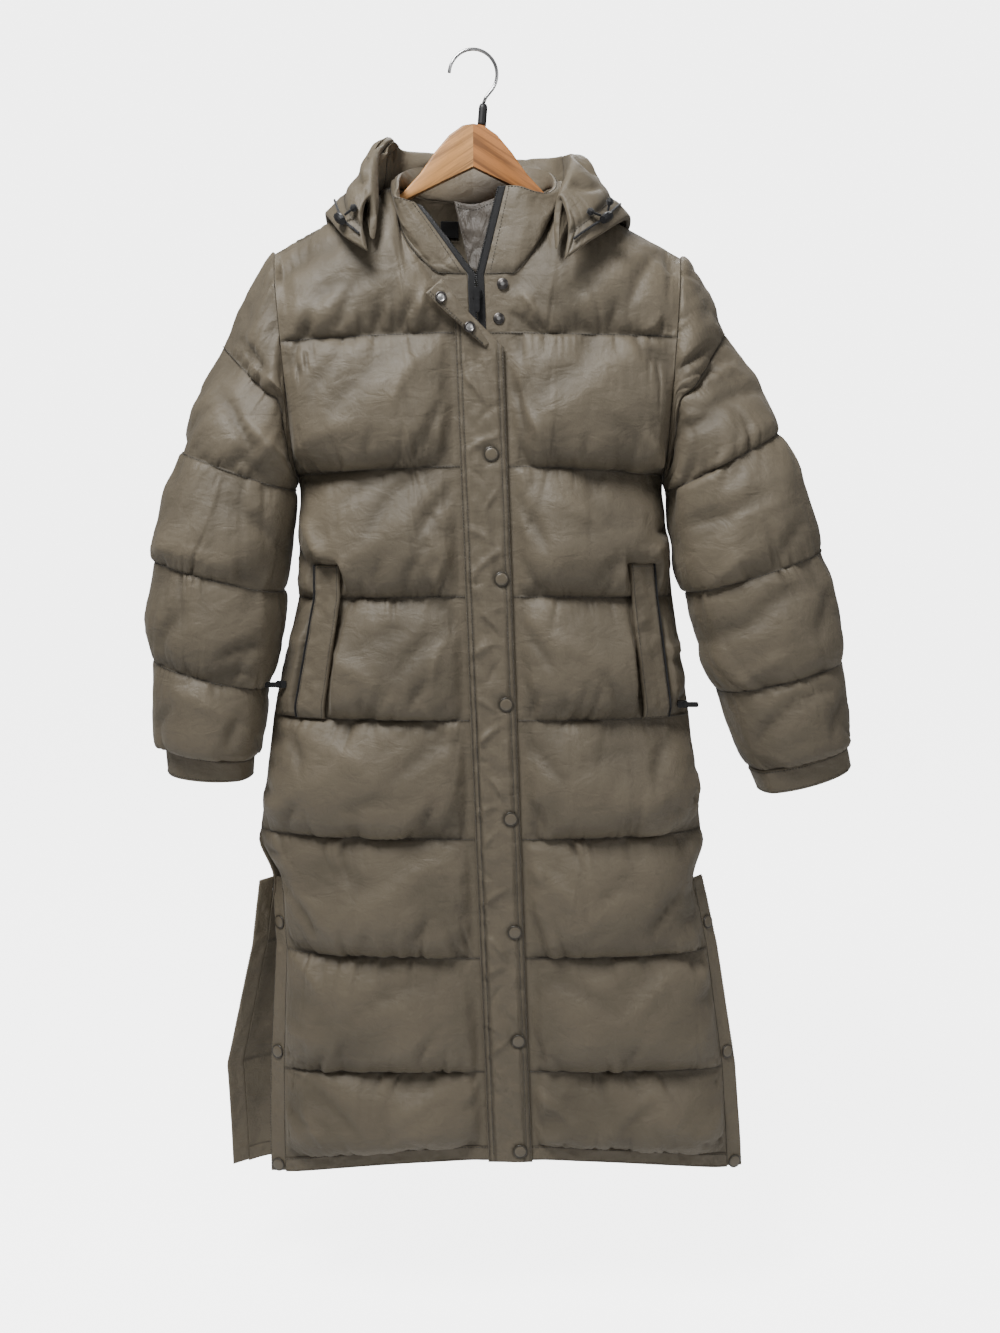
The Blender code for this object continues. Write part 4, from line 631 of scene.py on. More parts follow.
def tape_grids(side, front, collar):
    """Zip tape along the front edge of the collar and then down the front."""
    collar_col, inward = (0, 1) if side == "left" else (-1, -2)
    front_col = 0 if side == "left" else -1
    sign = -1.0 if side == "left" else 1.0
    c_in, c_out = collar[0][:, collar_col], collar[1][:, collar_col]
    f_in, f_out = front[0][1:, front_col], front[1][1:, front_col]
    out = np.concatenate([unit(c_out - c_in), unit(f_out - f_in)])
    edge = np.concatenate([c_in, f_in])
    across = np.concatenate([
        unit(c_in - collar[0][:, inward]),
        np.tile([sign, 0.0, 0.0], (len(f_in), 1)),
    ])
    across[len(c_in) - 2:len(c_in)] = (sign, 0.0, 0.0)
    across = unit(across - out * np.sum(across * out, axis=-1, keepdims=True))
    reach = EDGE_X - SEAM_GAP
    near = edge + across * SEAM_GAP + out * 0.5
    far = edge + across * reach + out * 0.5
    pair = (far, near) if side == "left" else (near, far)
    inner = np.stack(pair, axis=1)
    return inner, inner + out[:, None] * TAPE_WALL


# ---------------------------------------------------------------- placket and its turned-out corner
PLACKET_LEFT = -25.0    # edges of the placket from the zip's middle
PLACKET_RIGHT = 27.0
PLACKET_TOP_Z = (-266.0, -318.0)    # upper end at its sewn edge and at its free edge
PLACKET_BOTTOM_Z = -1255.0
PLACKET_WALL = 2.5
PLACKET_ROWS = 27
PLACKET_WAVE = 1.6      # slack of the cloth between its two rows of stitching
# Corners of the turned-out triangle: x, y, z of its inner face
CORNER_TIP = (18.0, -67.0, -315.0)
CORNER_TOP = (-32.0, -74.9, -249.0)
CORNER_FREE = (-49.5, -77.4, -264.5)
CORNER_HEEL = (13.0, -69.4, -319.0)


def placket_grids():
    """Storm flap over the zip, its top cut along the crease of the turned-out corner."""
    across = np.linspace(0.0, 1.0, 4)
    inner = np.zeros((PLACKET_ROWS, len(across), 3))
    down = np.linspace(0.0, 1.0, PLACKET_ROWS)
    for r, share in enumerate(down):
        top = PLACKET_TOP_Z[0] + (PLACKET_TOP_Z[1] - PLACKET_TOP_Z[0]) * across
        z = top + (PLACKET_BOTTOM_Z - top) * share
        x = zip_x(z) + PLACKET_LEFT + (PLACKET_RIGHT - PLACKET_LEFT) * across
        depth = np.interp(-z, -SEAMS["z"], SEAMS["front"], right=SEAMS["front"][-1])
        wave = PLACKET_WAVE * (0.5 + 0.5 * np.sin(share * 61.0 + 4.0 * across))
        wave *= np.sin(np.pi * across)
        lift = 0.55 + 1.6 * np.clip(1.0 - share * 6.0, 0.0, 1.0)
        inner[r] = np.stack([x, -(depth + SEAM_WALL + lift + wave), z], axis=-1)
    outer = inner + grid_normals(inner) * PLACKET_WALL
    return inner, outer


def corner_grids():
    """The placket's top corner, folded out over its crease."""
    top, free = np.array(CORNER_TOP), np.array(CORNER_FREE)
    tip, heel = np.array(CORNER_TIP), np.array(CORNER_HEEL)
    steps = np.linspace(0.0, 1.0, 5)
    crease = np.array([top + (tip - top) * s for s in steps])
    edge = np.array([free + (heel - free) * s for s in steps])
    bow = np.sin(np.pi * steps)[:, None] * np.array([0.0, -2.0, 0.0])
    inner = np.stack([edge + bow, (edge + crease) / 2.0 + bow * 1.6, crease + bow], axis=1)
    return inner, inner + grid_normals(inner) * PLACKET_WALL


# ---------------------------------------------------------------- zip guard, label and welts
GUARD_WALL = 2.2
GUARD_TOP = ((-20.0, -34.0, -163.0), (6.0, -37.0, -166.0))
GUARD_END = ((-3.0, -48.0, -236.0), (4.0, -50.0, -240.0))


def guard_grids(collar):
    """Flap behind the left collar edge, from the collar's inner face towards the opening."""
    seam = collar[0][:, 1].copy()
    inward = -unit(collar[1][:, 1] - collar[0][:, 1])
    seat = seam + inward * (LAY_GAP + GUARD_WALL)
    steps = np.linspace(0.0, 1.0, len(seat))[:, None]
    left = np.array(GUARD_TOP[0]) * (1.0 - steps) + np.array(GUARD_END[0]) * steps
    middle = np.array(GUARD_TOP[1]) * (1.0 - steps) + np.array(GUARD_END[1]) * steps
    inner = np.stack([left, middle, seat], axis=1)
    return inner, inner + grid_normals(inner) * GUARD_WALL


LABEL_SIZE = (20.0, 18.0, 1.0)
LABEL_PLACE = (-28.0, -178.0)
LABEL_LIFT = 0.2        # slack between its stitched corners and the cloth


def label_grids(back):
    """Plain neck label on the inside of the back."""
    rows = back[0][:, ::-1]
    x, z = LABEL_PLACE
    grid = np.zeros((2, 2, 3))
    for r in range(2):
        for c in range(2):
            px = x + (c - 0.5) * LABEL_SIZE[0]
            pz = z + (0.5 - r) * LABEL_SIZE[1]
            depths = [np.interp(px, row[:, 0], row[:, 1]) for row in rows]
            heights = [np.interp(px, row[:, 0], row[:, 2]) for row in rows]
            behind = np.interp(-pz, -np.array(heights), depths)
            grid[r, c] = (px, behind - LAY_GAP - LABEL_LIFT, pz)
    return grid, grid + grid_normals(grid) * LABEL_SIZE[2]


WELT_WALL = 6.0


def welt_grids(side, front):
    """Pocket welt made from the panel's own points, moved out."""
    _, outer, normal = front
    plan = row_plan(len(FRONT_SEAMS))
    rows = [r for r, (b, s) in enumerate(plan) if WELT_TOP <= (b, s) <= WELT_END]
    last = len(FRONT_COLUMNS) - 1
    cols = list(WELT_COLUMNS) if side == "left" else [last - WELT_COLUMNS[1], last - WELT_COLUMNS[0]]
    base = outer[np.ix_(rows, cols)]
    out = normal[np.ix_(rows, cols)]
    return base + out * LAY_GAP, base + out * (LAY_GAP + WELT_WALL)


# ---------------------------------------------------------------- round fastenings


SLIT_SNAP_Z = {"right": (-979.0, -1134.0, -1272.0), "left": (-979.0, -1134.0, -1268.0)}


# ---------------------------------------------------------------- hood
HOOD_WALL = 6.0
# The hood is folded back. Lines across it run from the neck over its raised fold to its edge.
# columns: name of the line's point, then x, y, z at each place from the left front to the right
HOOD_LINES = (
    # left front edge beside the collar
    ((88.0, -76.0, -219.2), (88.0, -73.0, -192.0), (92.0, -74.0, -168.0), (100.0, -84.0, -196.0),
     (96.0, -88.0, -232.0)),
    # over the left shoulder's front
    ((104.0, -54.0, -178.0), (103.0, -44.0, -140.0), (110.0, -44.0, -130.0), (130.0, -64.0, -168.0),
     (132.0, -74.0, -206.0)),
    # top of the left shoulder
    ((106.0, 0.0, -147.0), (105.0, 2.0, -120.0), (107.0, 4.0, -108.0), (140.0, -6.0, -145.0),
     (171.0, -8.0, -178.3)),
    # behind the left shoulder
    ((84.0, 42.0, -153.0), (82.0, 46.0, -114.0), (84.0, 62.0, -103.0), (130.0, 84.0, -160.0),
     (146.0, 74.0, -222.0)),
    # middle of the back
    ((0.0, 61.0, -152.0), (0.0, 66.0, -112.0), (0.0, 86.0, -99.0), (0.0, 132.0, -190.0),
     (0.0, 108.0, -300.0)),
    # behind the right shoulder
    ((-86.0, 42.0, -153.0), (-82.0, 46.0, -110.0), (-80.0, 60.0, -96.0), (-124.0, 84.0, -156.0),
     (-140.0, 74.0, -222.0)),
    # top of the right shoulder
    ((-107.0, 0.0, -147.0), (-100.0, 2.0, -108.0), (-90.0, 2.0, -91.0), (-127.0, -4.0, -138.0),
     (-161.0, -8.0, -174.2)),
    # over the right shoulder's front
    ((-109.0, -54.0, -181.0), (-104.0, -44.0, -138.0), (-104.0, -44.0, -120.0),
     (-126.0, -64.0, -166.0), (-134.0, -74.0, -206.0)),
    # right front edge beside the collar
    ((-104.0, -74.0, -209.2), (-103.0, -71.0, -188.0), (-108.0, -72.0, -168.0),
     (-114.0, -84.0, -190.0), (-108.0, -88.0, -224.0)),
)
HOOD_STATIONS = 4       # steps between two lines
HOOD_STEPS = 3          # steps between two points of a line


def smooth_curve(points, steps):
    """Points on a Catmull-Rom curve through rows of points, with the given steps between rows."""
    count = (len(points) - 1) * steps
    return np.array([between(points, k / steps) for k in range(count)] + [points[-1]])


def hood_grids():
    """Folded-back hood, rows from its neck seam to its edge."""
    lines = np.array(HOOD_LINES)
    around = smooth_curve(lines, HOOD_STATIONS)
    surface = smooth_curve(np.swapaxes(around, 0, 1), HOOD_STEPS)
    normal = grid_normals(surface)
    return surface - normal * HOOD_WALL / 2.0, surface + normal * HOOD_WALL / 2.0


def on_grid(grid, row, column):
    """Point of a grid at a fractional row and column."""
    r = min(int(row), grid.shape[0] - 2)
    c = min(int(column), grid.shape[1] - 2)
    u, v = row - r, column - c
    top = grid[r, c] * (1.0 - v) + grid[r, c + 1] * v
    low = grid[r + 1, c] * (1.0 - v) + grid[r + 1, c + 1] * v
    return top * (1.0 - u) + low * u


# ---------------------------------------------------------------- round bars and cords


CORD_RADIUS = 1.3
# Cords in the hood's edge, lying on its face. columns: start and end column of the hood's grid, the
# row they lie on, the column of the cord lock, and the tips of the cord's ends from the lock (x, z)
HOOD_CORDS = {
    "left": (1.0, 7.0, 10.6, 4.0, ((-17.0, 5.0), (3.0, 15.0))),
    "right": (31.0, 25.0, 10.6, 28.4, ((15.0, 10.0),)),
}


CORD_LIFT = 0.9         # cord's side above the hood's face

# ---------------------------------------------------------------- hanger
HOOK_CENTRE_Z = -24.0
HOOK_RADIUS = 25.8      # to the middle of the wire
HOOK_WIRE = 1.8
HOOK_TURNS = (176.0, -38.0)     # degrees at the tip and where the bend ends
HOOK_FOOT = (11.2, -53.6)
SLEEVE_FOOT = (9.3, -76.6)
HOOK_SLEEVE_RADIUS = 4.8


# ---------------------------------------------------------------- the whole coat


# ---------------------------------------------------------------- fine surfaces
BAFFLE_ROWS = 22        # fine rows in a baffle
PANEL_STEPS = 12        # fine columns for each column of a panel's table
SLEEVE_STEPS = 10
SAG = 6.0               # how far the fullest part of a baffle sinks


def lattice_noise(x, y, seed):
    """Smooth random heights from -1 to 1: random values on a square lattice, blended between its
    nearest four points with a smooth step both ways."""
    lattice = np.random.default_rng(seed).uniform(-1.0, 1.0, (64, 64))
    col, row = np.floor(x).astype(int), np.floor(y).astype(int)
    u, v = smooth_step(x - col), smooth_step(y - row)
    a = lattice[row % 64, col % 64]
    b = lattice[row % 64, (col + 1) % 64]
    c = lattice[(row + 1) % 64, col % 64]
    d = lattice[(row + 1) % 64, (col + 1) % 64]
    return (a * (1 - u) + b * u) * (1 - v) + (c * (1 - u) + d * u) * v


def spline(values, places, axis=0, wrap=False):
    """Catmull-Rom curve through samples along an axis, at fractional places: each stretch is a
    cubic whose slopes are half the difference of the samples on both sides."""
    values = np.moveaxis(np.asarray(values, float), axis, 0)
    count = len(values)
    places = np.asarray(places, float)
    first = np.floor(places).astype(int)
    if not wrap:
        first = np.clip(first, 0, count - 2)
    t = (places - first).reshape((-1,) + (1,) * (values.ndim - 1))
    picks = [first + k for k in (-1, 0, 1, 2)]
    picks = [p % count if wrap else np.clip(p, 0, count - 1) for p in picks]
    before, start, end, after = (values[p] for p in picks)
    slope_a, slope_b = (end - before) / 2.0, (after - start) / 2.0
    curve = (start * (2 * t ** 3 - 3 * t ** 2 + 1) + slope_a * (t ** 3 - 2 * t ** 2 + t)
             + end * (3 * t ** 2 - 2 * t ** 3) + slope_b * (t ** 3 - t ** 2))
    return np.moveaxis(curve, 0, axis)


def run_lengths(grid, axis):
    """Distance along a grid's rows or columns from its first one, in mm."""
    steps = np.linalg.norm(np.diff(grid, axis=axis), axis=-1)
    start = np.zeros_like(np.take(steps, [0], axis=axis))
    return np.concatenate([start, np.cumsum(steps, axis=axis)], axis=axis)


def closed_mesh(name, outer, inner, material, wrap=False):
    """Closed wall between two grids of the same size, outer face first. Its UV map holds the
    distances across and down the outer face in metres."""
    rows, cols = outer.shape[:2]
    ids = np.arange(rows * cols).reshape(rows, cols)
    right = np.roll(ids, -1, axis=1) if wrap else ids[:, 1:]
    left = ids if wrap else ids[:, :-1]
    quads = np.stack([left[:-1], left[1:], right[1:], right[:-1]], axis=-1).reshape(-1, 4)
    under = quads[:, ::-1] + rows * cols
    rims = [(left[0], right[0], False), (left[-1], right[-1], True)]
    if not wrap:
        rims += [(ids[:-1, 0], ids[1:, 0], True), (ids[:-1, -1], ids[1:, -1], False)]
    faces = [quads, under]
    for a, b, flip in rims:
        rim = np.stack([a, b, b + rows * cols, a + rows * cols], axis=-1)
        faces.append(rim[:, ::-1] if flip else rim)
    faces = np.concatenate(faces)
    points = np.concatenate([outer.reshape(-1, 3), inner.reshape(-1, 3)]) * MM
    across, down = run_lengths(outer, 1) * MM, run_lengths(outer, 0) * MM
    flat = np.stack([across, down], axis=-1).reshape(-1, 2)
    return solid(name, points, faces, material, np.concatenate([flat, flat]))


def solid(name, points, faces, material, flat=None):
    """Mesh object from points in metres and equal-sided faces, at the origin and shaded smooth."""
    faces = np.asarray(faces)
    mesh = bpy.data.meshes.new(name)
    mesh.vertices.add(len(points))
    mesh.vertices.foreach_set("co", np.asarray(points, np.float32).ravel())
    mesh.loops.add(faces.size)
    mesh.loops.foreach_set("vertex_index", faces.astype(np.int32).ravel())
    mesh.polygons.add(len(faces))
    mesh.polygons.foreach_set("loop_start", np.arange(0, faces.size, faces.shape[1], dtype=np.int32))
    mesh.update(calc_edges=True)
    mesh.validate()
    if flat is not None:
        layer = mesh.uv_layers.new(name="cut")
        layer.data.foreach_set("uv", flat[faces.ravel()].astype(np.float32).ravel())
    mesh.polygons.foreach_set("use_smooth", np.ones(len(mesh.polygons), bool))
    mesh.materials.append(material)
    obj = bpy.data.objects.new(name, mesh)
    bpy.context.scene.collection.objects.link(obj)
    return obj


def dress(obj, body, slot, *nodes):
    """Ties a piece to its body and hides the CAD nodes it stands for; its slot is not used."""
    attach(obj, body)
    if nodes:
        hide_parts(*nodes)
    return obj


def valleys(heights):
    """Sharp troughs where random heights cross zero, from -1 at the bottom to 0 outside them."""
    return -np.clip(1.0 - np.abs(heights) * 2.7, 0.0, 1.0) ** 1.4


def gathers(across, distance, seed, height):
    """Puckers that run out of a seam, each leaning a little: narrow pleats that fade within a
    finger's width and broad ones that fade over a hand's width, sharp at their bottoms."""
    lean = 0.35 * distance * lattice_noise(across / 70.0, 0.0 * distance, seed + 7)
    narrow = lattice_noise((across + lean) / 7.5, distance / 50.0 + 3.0, seed)
    broad = lattice_noise((across + 1.6 * lean) / 21.0, distance / 110.0 + 9.0, seed + 1)
    patch = 0.55 + 0.45 * lattice_noise(across / 34.0, 0.0 * distance + 5.0, seed + 3)
    return height * patch * (1.0 * valleys(narrow) * np.exp(-distance / 13.0)
                             + 1.5 * valleys(broad) * np.exp(-distance / 30.0)
                             + 0.8 * broad * np.exp(-distance / 38.0))


def creases(x, z, seed, height):
    """Soft diagonal folds: random heights in a slanted frame, far longer than wide, with a second
    set that leans the other way, and a few sharper lines between them."""
    falling = lattice_noise((x * 0.8 + z * 0.6) / 95.0, (z * 0.8 - x * 0.6) / 26.0, seed)
    rising = lattice_noise((x * 0.7 - z * 0.7) / 80.0, (z * 0.7 + x * 0.7) / 34.0, seed + 5)
    slack = lattice_noise(x / 60.0, z / 48.0, seed + 9)
    sharp = valleys(falling) * np.clip(0.5 + slack, 0.0, 1.0)
    return height * (0.5 * falling + 0.45 * rising + 0.55 * slack + 0.45 * sharp)


def fine_rows(baffles):
    """Baffle number, share down it and place in the coarse rows, for every fine row."""
    shares = np.linspace(0.0, 1.0, BAFFLE_ROWS, endpoint=False)
    shares = 0.5 - 0.5 * np.cos(np.pi * shares) * (1.0 - 0.25 * np.sin(np.pi * shares) ** 2)
    places = np.interp(shares, ROW_SHARES, np.arange(len(ROW_SHARES)))
    per_baffle = len(ROW_SHARES) - 1
    number = np.repeat(np.arange(baffles), BAFFLE_ROWS)
    share = np.tile(shares, baffles)
    place = np.concatenate([places + k * per_baffle for k in range(baffles)])
    return (np.append(number, baffles - 1), np.append(share, 1.0),
            np.append(place, baffles * per_baffle))


def padded_wall(inner, normal, lofts, heights, baffles, seed, settings, folds, wrap=False,
                bed=None):
    """Fine outer and inner points of a quilted wall and the folds' heights. The outer point is the
    inner one plus the wall, the filling's height (its profile down the baffle times the column's
    share), the seam gathers, the listed folds and the slack cloth's creases, along the smooth
    normal, and then sags a little."""
    number, share, place = fine_rows(baffles)
    steps = SLEEVE_STEPS if wrap else PANEL_STEPS
    cols = inner.shape[1]
    count = cols * steps if wrap else (cols - 1) * steps + 1
    columns = np.arange(count) / steps
    base = spline(spline(inner, place), columns, 1, wrap)
    out = unit(spline(spline(normal, place), columns, 1, wrap))
    lofts = np.asarray(lofts, float)
    if lofts.ndim == 1:
        lofts = np.tile(lofts, (inner.shape[0], 1))
    column_share = np.clip(spline(spline(lofts, place), columns, 1, wrap), 0.0, None)
    profile = puff(share)[:, None] ** 0.78
    height = np.asarray(heights, float)[number][:, None]
    filling = profile * column_share * height
    if bed is not None:
        filling = bed(filling, place, columns)
    tall = np.linalg.norm(base[1:] - base[:-1], axis=-1).mean()
    baffle_height = tall * BAFFLE_ROWS
    across = run_lengths(base, 1)
    above, below = share[:, None] * baffle_height, (1.0 - share[:, None]) * baffle_height
    shift = number[:, None] * 311.0
    pleats = gathers(across + shift, above, seed, settings.gather_height / MM * 0.8)
    pleats += gathers(across + shift + 157.0, below, seed + 2, settings.gather_height / MM)
    if not wrap:
        run = run_lengths(base, 0)
        for far, extra in ((across, 61), (across[:, -1:] - across, 67)):
            pleats += gathers(run * 0.9, np.maximum(far - 22.0, 0.0), seed + extra,
                              settings.gather_height / MM * 0.75)
    slack = creases(base[..., 0] + shift, base[..., 2], seed + 4, settings.crease_height / MM)
    side = np.clip(column_share * 2.5, 0.0, 1.0)
    hand = folds(base) * np.clip(profile * 2.6, 0.0, 1.0)
    fold = (pleats * np.clip(profile * 7.0, 0.0, 1.0) + hand
            + slack * np.clip(profile * 3.2, 0.0, 1.0)) * side
    fold = np.maximum(fold, -0.85 * filling - 1.2)
    outer = base + out * (SEAM_WALL + filling + fold)[..., None]
    outer[..., 2] -= SAG * profile * filling / BODY_LOFT
    lining = base + out * (0.25 * slack * profile * side)[..., None]
    return outer, lining, fold


# ---------------------------------------------------------------- finishes
class Wire:
    """A shader socket whose Python arithmetic adds Math nodes to its material."""

    def __init__(self, finish, socket):
        self.finish, self.socket = finish, socket

    def maths(self, operation, a, b=0.0, clamp=False):
        return self.finish.node("ShaderNodeMath", {"operation": operation, "use_clamp": clamp},
                                {0: a, 1: b})["Value"]

    def __add__(self, other):
        return self.maths("ADD", self, other)

    def __sub__(self, other):
        return self.maths("SUBTRACT", self, other)

    def __rsub__(self, other):
        return self.maths("SUBTRACT", other, self)

    def __mul__(self, other):
        return self.maths("MULTIPLY", self, other)

    def __truediv__(self, other):
        return self.maths("DIVIDE", self, other)

    def __pow__(self, other):
        return self.maths("POWER", self, other)

    __radd__, __rmul__ = __add__, __mul__

    def above(self, low, high):
        """0 below one value, 1 over the other, and smooth between them."""
        return self.finish.node("ShaderNodeMapRange", {"interpolation_type": "SMOOTHSTEP"},
                                {"Value": self, "From Min": low, "From Max": high})["Result"]


class Finish:
    """A material under construction: one Principled shader and the nodes that feed it."""

    def __init__(self, name, **constants):
        self.material = bpy.data.materials.new(name)
        self.material.use_nodes = True
        self.nodes = self.material.node_tree.nodes
        self.links = self.material.node_tree.links
        self.shader = self.nodes["Principled BSDF"]
        for key, value in constants.items():
            self.shader.inputs[key.replace("_", " ")].default_value = value

    def node(self, kind, settings, values):
        """Adds a node: its settings first, then a value or a link for each named socket."""
        made = self.nodes.new(kind)
        for key, value in settings.items():
            setattr(made, key, value)
        for key, value in values.items():
            socket = made.inputs[key]
            if isinstance(value, Wire):
                self.links.new(value.socket, socket)
            else:
                socket.default_value = value
        return {s.name: Wire(self, s) for s in made.outputs if s.enabled}

    def place(self, source="Object"):
        return self.node("ShaderNodeTexCoord", {}, {})[source]

    def stretched(self, vector, scale, turn=(0.0, 0.0, 0.0)):
        return self.node("ShaderNodeMapping", {}, {"Vector": vector, "Scale": scale,
                                                   "Rotation": turn})["Vector"]

    def noise(self, vector, scale, detail=3.0, roughness=0.5, distortion=0.0):
        return self.node("ShaderNodeTexNoise", {}, {
            "Vector": vector, "Scale": scale, "Detail": detail, "Roughness": roughness,
            "Distortion": distortion})["Fac"]

    def wave(self, vector, scale, axis="X", distortion=0.0, detail=0.0):
        return self.node("ShaderNodeTexWave", {"bands_direction": axis}, {
            "Vector": vector, "Scale": scale, "Distortion": distortion,
            "Detail": detail})["Fac"]

    def blend(self, share, first, second):
        """Colour between two others, each a link or three linear values."""
        made = self.nodes.new("ShaderNodeMix")
        made.data_type = "RGBA"
        sockets = {"share": made.inputs[0], "first": made.inputs[6], "second": made.inputs[7]}
        for key, value in (("share", share), ("first", first), ("second", second)):
            if isinstance(value, Wire):
                self.links.new(value.socket, sockets[key])
            elif key == "share":
                sockets[key].default_value = value
            else:
                sockets[key].default_value = (*value[:3], 1.0)
        return Wire(self, made.outputs[2])

    def attribute(self, name):
        return self.node("ShaderNodeAttribute", {"attribute_name": name}, {})["Fac"]

    def bump(self, height, depth, strength=1.0, under=None):
        values = {"Height": height, "Distance": depth, "Strength": strength}
        if under is not None:
            values["Normal"] = under
        return self.node("ShaderNodeBump", {}, values)["Normal"]

    def feed(self, **sockets):
        for key, wire in sockets.items():
            self.links.new(wire.socket, self.shader.inputs[key.replace("_", " ")])
        return self.material


def shade(colour, factor):
    return tuple(float(v) * factor for v in colour[:3])


def shell_finish(settings):
    """Downproof nylon: a fine plain weave, crinkles that run with the cloth, faint mottling, painted
    shade in the seams, pleats and stitch lines, lighter colour on the crests of folds and one old mark."""
    colour = settings.shell_colour
    made = Finish("shell_nylon", Roughness=0.5, Sheen_Weight=0.12, Sheen_Roughness=0.4,
                  Specular_IOR_Level=0.42)
    made.shader.inputs["Sheen Tint"].default_value = (0.93, 0.87, 0.78, 1.0)
    place = made.place()
    cut = made.place("UV")
    cloudy = made.noise(place, 7.0, 3.0, 0.6)
    grainy = made.noise(place, 130.0, 2.0, 0.6)
    lint = made.noise(place, 900.0, 2.0, 0.7)
    base = made.blend(cloudy.above(0.3, 0.72), shade(colour, 0.93), shade(colour, 1.06))
    base = made.blend(grainy.above(0.35, 0.8) * 0.18, base, shade(colour, 1.22))
    # painted shade: the colour darkens in the seams, at the bottom of pleats, along stitch lines and
    # round snaps
    painted_shade = made.attribute("painted_shade")
    base = made.blend(painted_shade * 0.7, base, shade(colour, 0.45))
    base = made.blend(made.attribute("mark") * 0.55, base, (0.115, 0.088, 0.062))
    # lighter colour on the crests of the raised folds
    base = made.blend(made.attribute("fold_crest") * 0.30, base, shade(colour, 1.35))
    crinkle = made.noise(made.stretched(place, (1.0, 1.0, 0.55)), 95.0, 4.0, 0.62, 0.35)
    slack = made.noise(made.stretched(place, (1.0, 1.0, 1.6), (0.0, 0.5, 0.0)), 34.0, 3.0, 0.55, 0.6)
    weave = made.wave(cut, 900.0, "X") * made.wave(cut, 900.0, "Y")
    normal = made.bump(slack, 0.0030, 0.7)
    normal = made.bump(crinkle, 0.0011, 0.6, normal)
    normal = made.bump(weave + lint * 0.5, 0.00012, 0.35, normal)
    rough = 0.44 + grainy * 0.16 + painted_shade * 0.10
    return made.feed(Base_Color=base, Roughness=rough, Normal=normal)


def lining_finish(settings):
    """Plain lining: darker, smoother and more wrinkled than the shell."""
    colour = settings.lining_colour
    made = Finish("lining_taffeta", Roughness=0.5, Sheen_Weight=0.15, Specular_IOR_Level=0.45)
    place = made.place()
    cloudy = made.noise(place, 11.0, 3.0, 0.6)
    wrinkle = made.noise(made.stretched(place, (1.0, 1.0, 0.45)), 60.0, 4.0, 0.6, 0.8)
    weave = made.wave(made.place("UV"), 1100.0, "X") * made.wave(made.place("UV"), 1100.0, "Y")
    base = made.blend(cloudy.above(0.3, 0.7), shade(colour, 0.85), shade(colour, 1.15))
    normal = made.bump(wrinkle, 0.004, 0.8)
    normal = made.bump(weave, 0.0001, 0.3, normal)
    return made.feed(Base_Color=base, Roughness=0.42 + cloudy * 0.2, Normal=normal)


def webbing_finish(name, colour, ribs, roughness=0.75):
    """Woven tape: crossed ribs on its own map, with a little fluff."""
    made = Finish(name, Roughness=roughness, Sheen_Weight=0.3, Specular_IOR_Level=0.3)
    cut = made.place("UV")
    across, along = made.wave(cut, ribs, "X"), made.wave(cut, ribs * 0.8, "Y")
    fluff = made.noise(made.place(), 600.0, 3.0, 0.6)
    base = made.blend(across * along, shade(colour, 0.7), shade(colour, 1.9))
    base = made.blend(fluff.above(0.55, 0.85) * 0.5, base, shade(colour, 3.2))
    return made.feed(Base_Color=base, Roughness=0.62 + fluff * 0.25,
                     Normal=made.bump(across * along + fluff * 0.3, 0.00035, 0.7))


def plastic_finish(name, colour, roughness):
    """Moulded plastic with a fine grain and polished rubs."""
    made = Finish(name, Roughness=roughness, Specular_IOR_Level=0.5, Coat_Weight=0.08)
    place = made.place()
    grain = made.noise(place, 1800.0, 2.0, 0.6)
    rubs = made.noise(place, 160.0, 4.0, 0.65)
    base = made.blend(rubs.above(0.5, 0.8), shade(colour, 0.9), shade(colour, 1.6))
    return made.feed(Base_Color=base, Roughness=roughness - 0.08 + rubs * 0.2,
                     Normal=made.bump(grain, 0.00006, 0.5))


def metal_finish(name, colour, roughness, streaks):
    """Plated metal with a drawn grain, small pits and a dulled film."""
    made = Finish(name, Metallic=1.0, Roughness=roughness)
    place = made.place()
    drawn = made.noise(made.stretched(place, (1.0, 1.0, 0.12)), streaks, 3.0, 0.6)
    film = made.noise(place, 90.0, 4.0, 0.6)
    base = made.blend(film.above(0.35, 0.75), shade(colour, 0.78), shade(colour, 1.08))
    # bright inside the stored band of radii: the sockets' chrome middles, and a painted highlight on the
    # studs' middles
    base = made.blend(made.attribute("painted_shade_highlight_and_chrome"), base, (0.62, 0.61, 0.6))
    return made.feed(Base_Color=base, Roughness=roughness - 0.05 + film * 0.16,
                     Normal=made.bump(drawn, 0.00001, 0.2))


def painted_snap_finish(settings):
    """Enamelled cap in the cloth's colour, with painted shade round its rim."""
    colour = settings.shell_colour
    made = Finish("snap_enamel", Roughness=0.36, Coat_Weight=0.25, Coat_Roughness=0.25)
    place = made.place()
    speck = made.noise(place, 420.0, 3.0, 0.6)
    base = made.blend(speck.above(0.45, 0.75) * 0.5, shade(colour, 0.92), shade(colour, 1.1))
    # painted shade: the cap's rim band turns dark
    base = made.blend(made.attribute("painted_shade_highlight_and_chrome"), base, shade(colour, 0.3))
    return made.feed(Base_Color=base, Roughness=0.3 + speck * 0.15,
                     Normal=made.bump(speck, 0.00008, 0.4))


